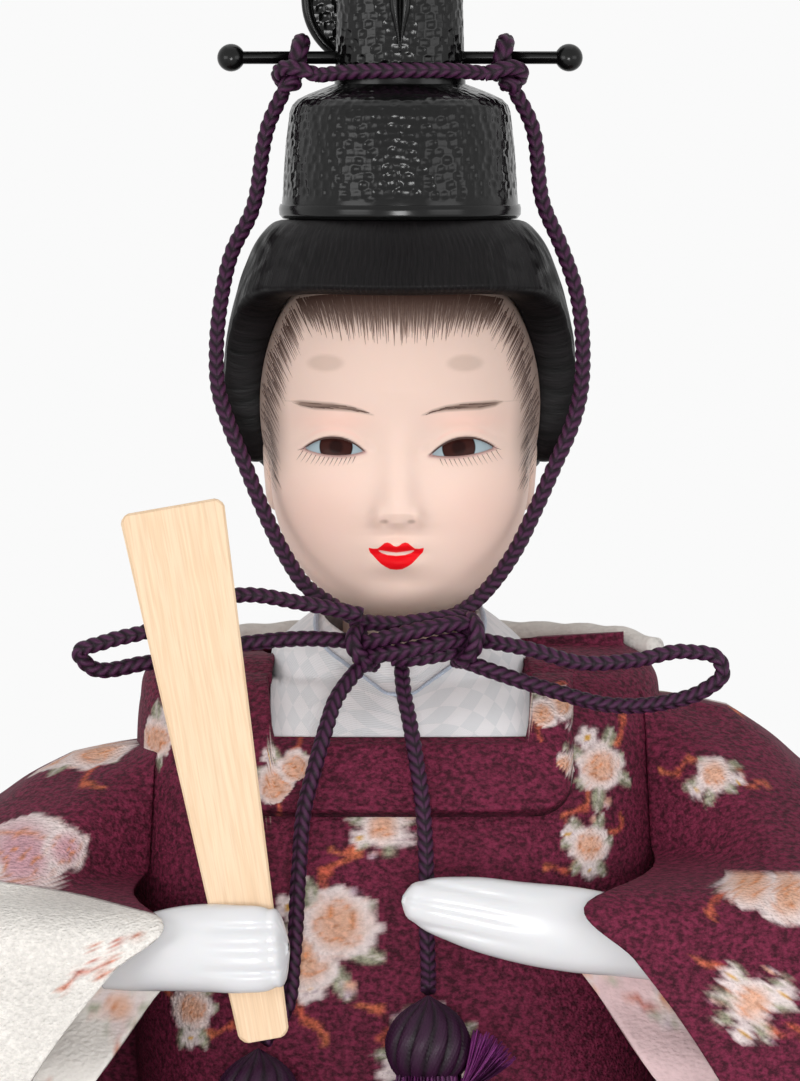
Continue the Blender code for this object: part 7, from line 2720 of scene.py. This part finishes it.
class Packed(Part):
    """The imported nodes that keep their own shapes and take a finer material."""

    def build(self) -> None:
        """Dress each kept node."""
        dressed = {
            "seat_board": self.finishes.fir, "body_core": self.finishes.straw, "left_leg_roll": self.finishes.straw,
            "right_leg_roll": self.finishes.straw, "left_arm_padding": self.finishes.cotton,
            "right_arm_padding": self.finishes.cotton, "arm_wire": self.finishes.wire,
            "neck_peg": self.finishes.peg, "topknot": self.finishes.hair, "shaku": self.finishes.cypress,
            "tail_socket": self.finishes.lacquer,
        }
        for name, material in dressed.items():
            node = bpy.data.objects[name]
            node.data.materials.clear()
            node.data.materials.append(material)
            LOG.info("%s keeps its packed shape", name)


@dataclass
class StudioSizes:
    """The camera's stand and the lamps, in metres and watts."""

    distance: float = 2.4
    elevation: float = radians(1.9)
    target: tuple[float, float, float] = (0.0, -0.020, 0.1810)
    view_height: float = 0.14608
    key_power: float = 6.1
    fill_power: float = 4.9
    front_power: float = 2.5
    top_power: float = 1.0


class Studio:
    """The white sweep, the lamps and the camera."""

    def __init__(self, sizes: StudioSizes) -> None:
        """Keep the sizes."""
        self.sizes = sizes

    def build(self) -> None:
        """Set up the whole studio."""
        self.camera()
        self.backdrop()
        self.lamps()
        bpy.context.scene.view_settings.view_transform = "Standard"

    def camera(self) -> None:
        """Place the camera at the photograph's angle, with its frame on the doll's upper half."""
        sizes = self.sizes
        data = bpy.data.cameras.new("photograph")
        data.sensor_width = 36
        data.lens = 36 * (sizes.distance) / sizes.view_height
        data.clip_end = 20
        camera = bpy.data.objects.new("photograph", data)
        bpy.context.scene.collection.objects.link(camera)
        target = Vector(sizes.target)
        away = Vector((0, -cos(sizes.elevation), sin(sizes.elevation)))
        camera.location = target + away * sizes.distance
        camera.rotation_euler = (target - camera.location).to_track_quat("-Z", "Y").to_euler()
        bpy.context.scene.camera = camera

    def backdrop(self) -> None:
        """Lay a pale floor that keeps the doll's shadow, and white all round it."""
        floor = grid_piece(
            "studio_floor", 4, 4,
            lambda across, along: np.stack([6 * across - 3, 6 * along - 3, np.full(len(across), -0.0004)], axis=1),
        )
        made, tree, shader = Finish("white_paper_sweep", Dye.PAPER_WHITE, 0.9).start()
        away = add_node(tree, "VectorMath", {0: add_node(tree, "TexCoord").outputs["Object"]}, operation="LENGTH")
        far = add_node(tree, "MapRange", {"Value": away.outputs["Value"], "From Min": 0.22, "From Max": 0.50})
        seen = add_node(tree, "Emission", {"Color": rgba(Dye.PAPER_WHITE)})
        path = add_node(tree, "LightPath").outputs
        view = add_node(tree, "Math", {0: path["Is Camera Ray"], 1: path["Is Glossy Ray"]}, operation="MAXIMUM").outputs[0]
        share = add_node(tree, "Math", {0: far.outputs[0], 1: view}, operation="MULTIPLY")
        sweep = add_node(tree, "MixShader", {0: share.outputs[0], 1: shader.outputs[0], 2: seen.outputs[0]})
        tree.links.new(sweep.outputs[0], tree.nodes["Material Output"].inputs["Surface"])
        floor.data.materials.append(made)
        world = bpy.data.worlds.new("white_studio")
        bpy.context.scene.world = world
        world.use_nodes = True
        tree = world.node_tree
        for node in list(tree.nodes):
            tree.nodes.remove(node)
        light = add_node(tree, "Background", {"Color": (1, 1, 1, 1), "Strength": 0.52})
        seen = add_node(tree, "Background", {"Color": rgba(Dye.PAPER_WHITE), "Strength": 1.0})
        path = add_node(tree, "LightPath")
        direct = add_node(tree, "Math", {0: path.outputs["Is Camera Ray"], 1: path.outputs["Is Transmission Ray"]},
                          operation="MAXIMUM").outputs[0]
        direct = add_node(tree, "Math", {0: direct, 1: path.outputs["Is Glossy Ray"]}, operation="MAXIMUM")
        blended = add_node(tree, "MixShader", {0: direct.outputs[0], 1: light.outputs[0], 2: seen.outputs[0]})
        add_node(tree, "OutputWorld", {"Surface": blended.outputs[0]})

    def lamps(self) -> None:
        """Hang four soft lamps: one from each side in front, a low one to lift the chin and one from above."""
        sizes = self.sizes
        for name, place, size, power in (
            ("key", (-1.05, -1.00, 0.15), 0.8, sizes.key_power), ("fill", (1.10, -1.00, 0.14), 0.9, sizes.fill_power),
            ("low_front", (0.0, -0.85, 0.10), 0.2, sizes.front_power), ("top", (0.0, 0.25, 1.25), 0.9, sizes.top_power),
        ):
            data = bpy.data.lights.new(name, "AREA")
            data.size = size
            data.energy = power
            lamp = bpy.data.objects.new(name, data)
            bpy.context.scene.collection.objects.link(lamp)
            lamp.location = place
            lamp.rotation_euler = (Vector((0, 0, 0.17)) - Vector(place)).to_track_quat("-Z", "Y").to_euler()


def main() -> None:
    """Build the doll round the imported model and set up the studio."""
    logging.basicConfig(level=logging.INFO, format="%(message)s")
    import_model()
    Studio(StudioSizes()).build()
    finishes = Finishes()
    Cords(finishes).build()
    Packed(finishes).build()
    Robe(finishes, RobeSizes()).build()
    NeckCollar(finishes, NeckSizes()).build()
    LowerDress(finishes, SkirtSizes()).build()
    Sleeve(finishes, SleeveSizes("right", -1, 6.5 * MM, 0.0, True)).build()
    Sleeve(finishes, SleeveSizes("left", 1, 0.0, -7.0 * MM, False)).build()
    head = Head(finishes, HeadSizes())
    head.build()
    Hair(finishes, HairSizes(), head).build()
    Crown(finishes, CrownSizes()).build()
    Tassel(finishes, TasselSizes("right", (-0.0190, -0.0413, 0.1136))).build()
    Tassel(finishes, TasselSizes("left", (0.0038, -0.0430, 0.1208), tuft=True)).build()
    Hand(finishes, RIGHT_HAND).build()
    Hand(finishes, LEFT_HAND).build()


if __name__ == "__main__":
    main()
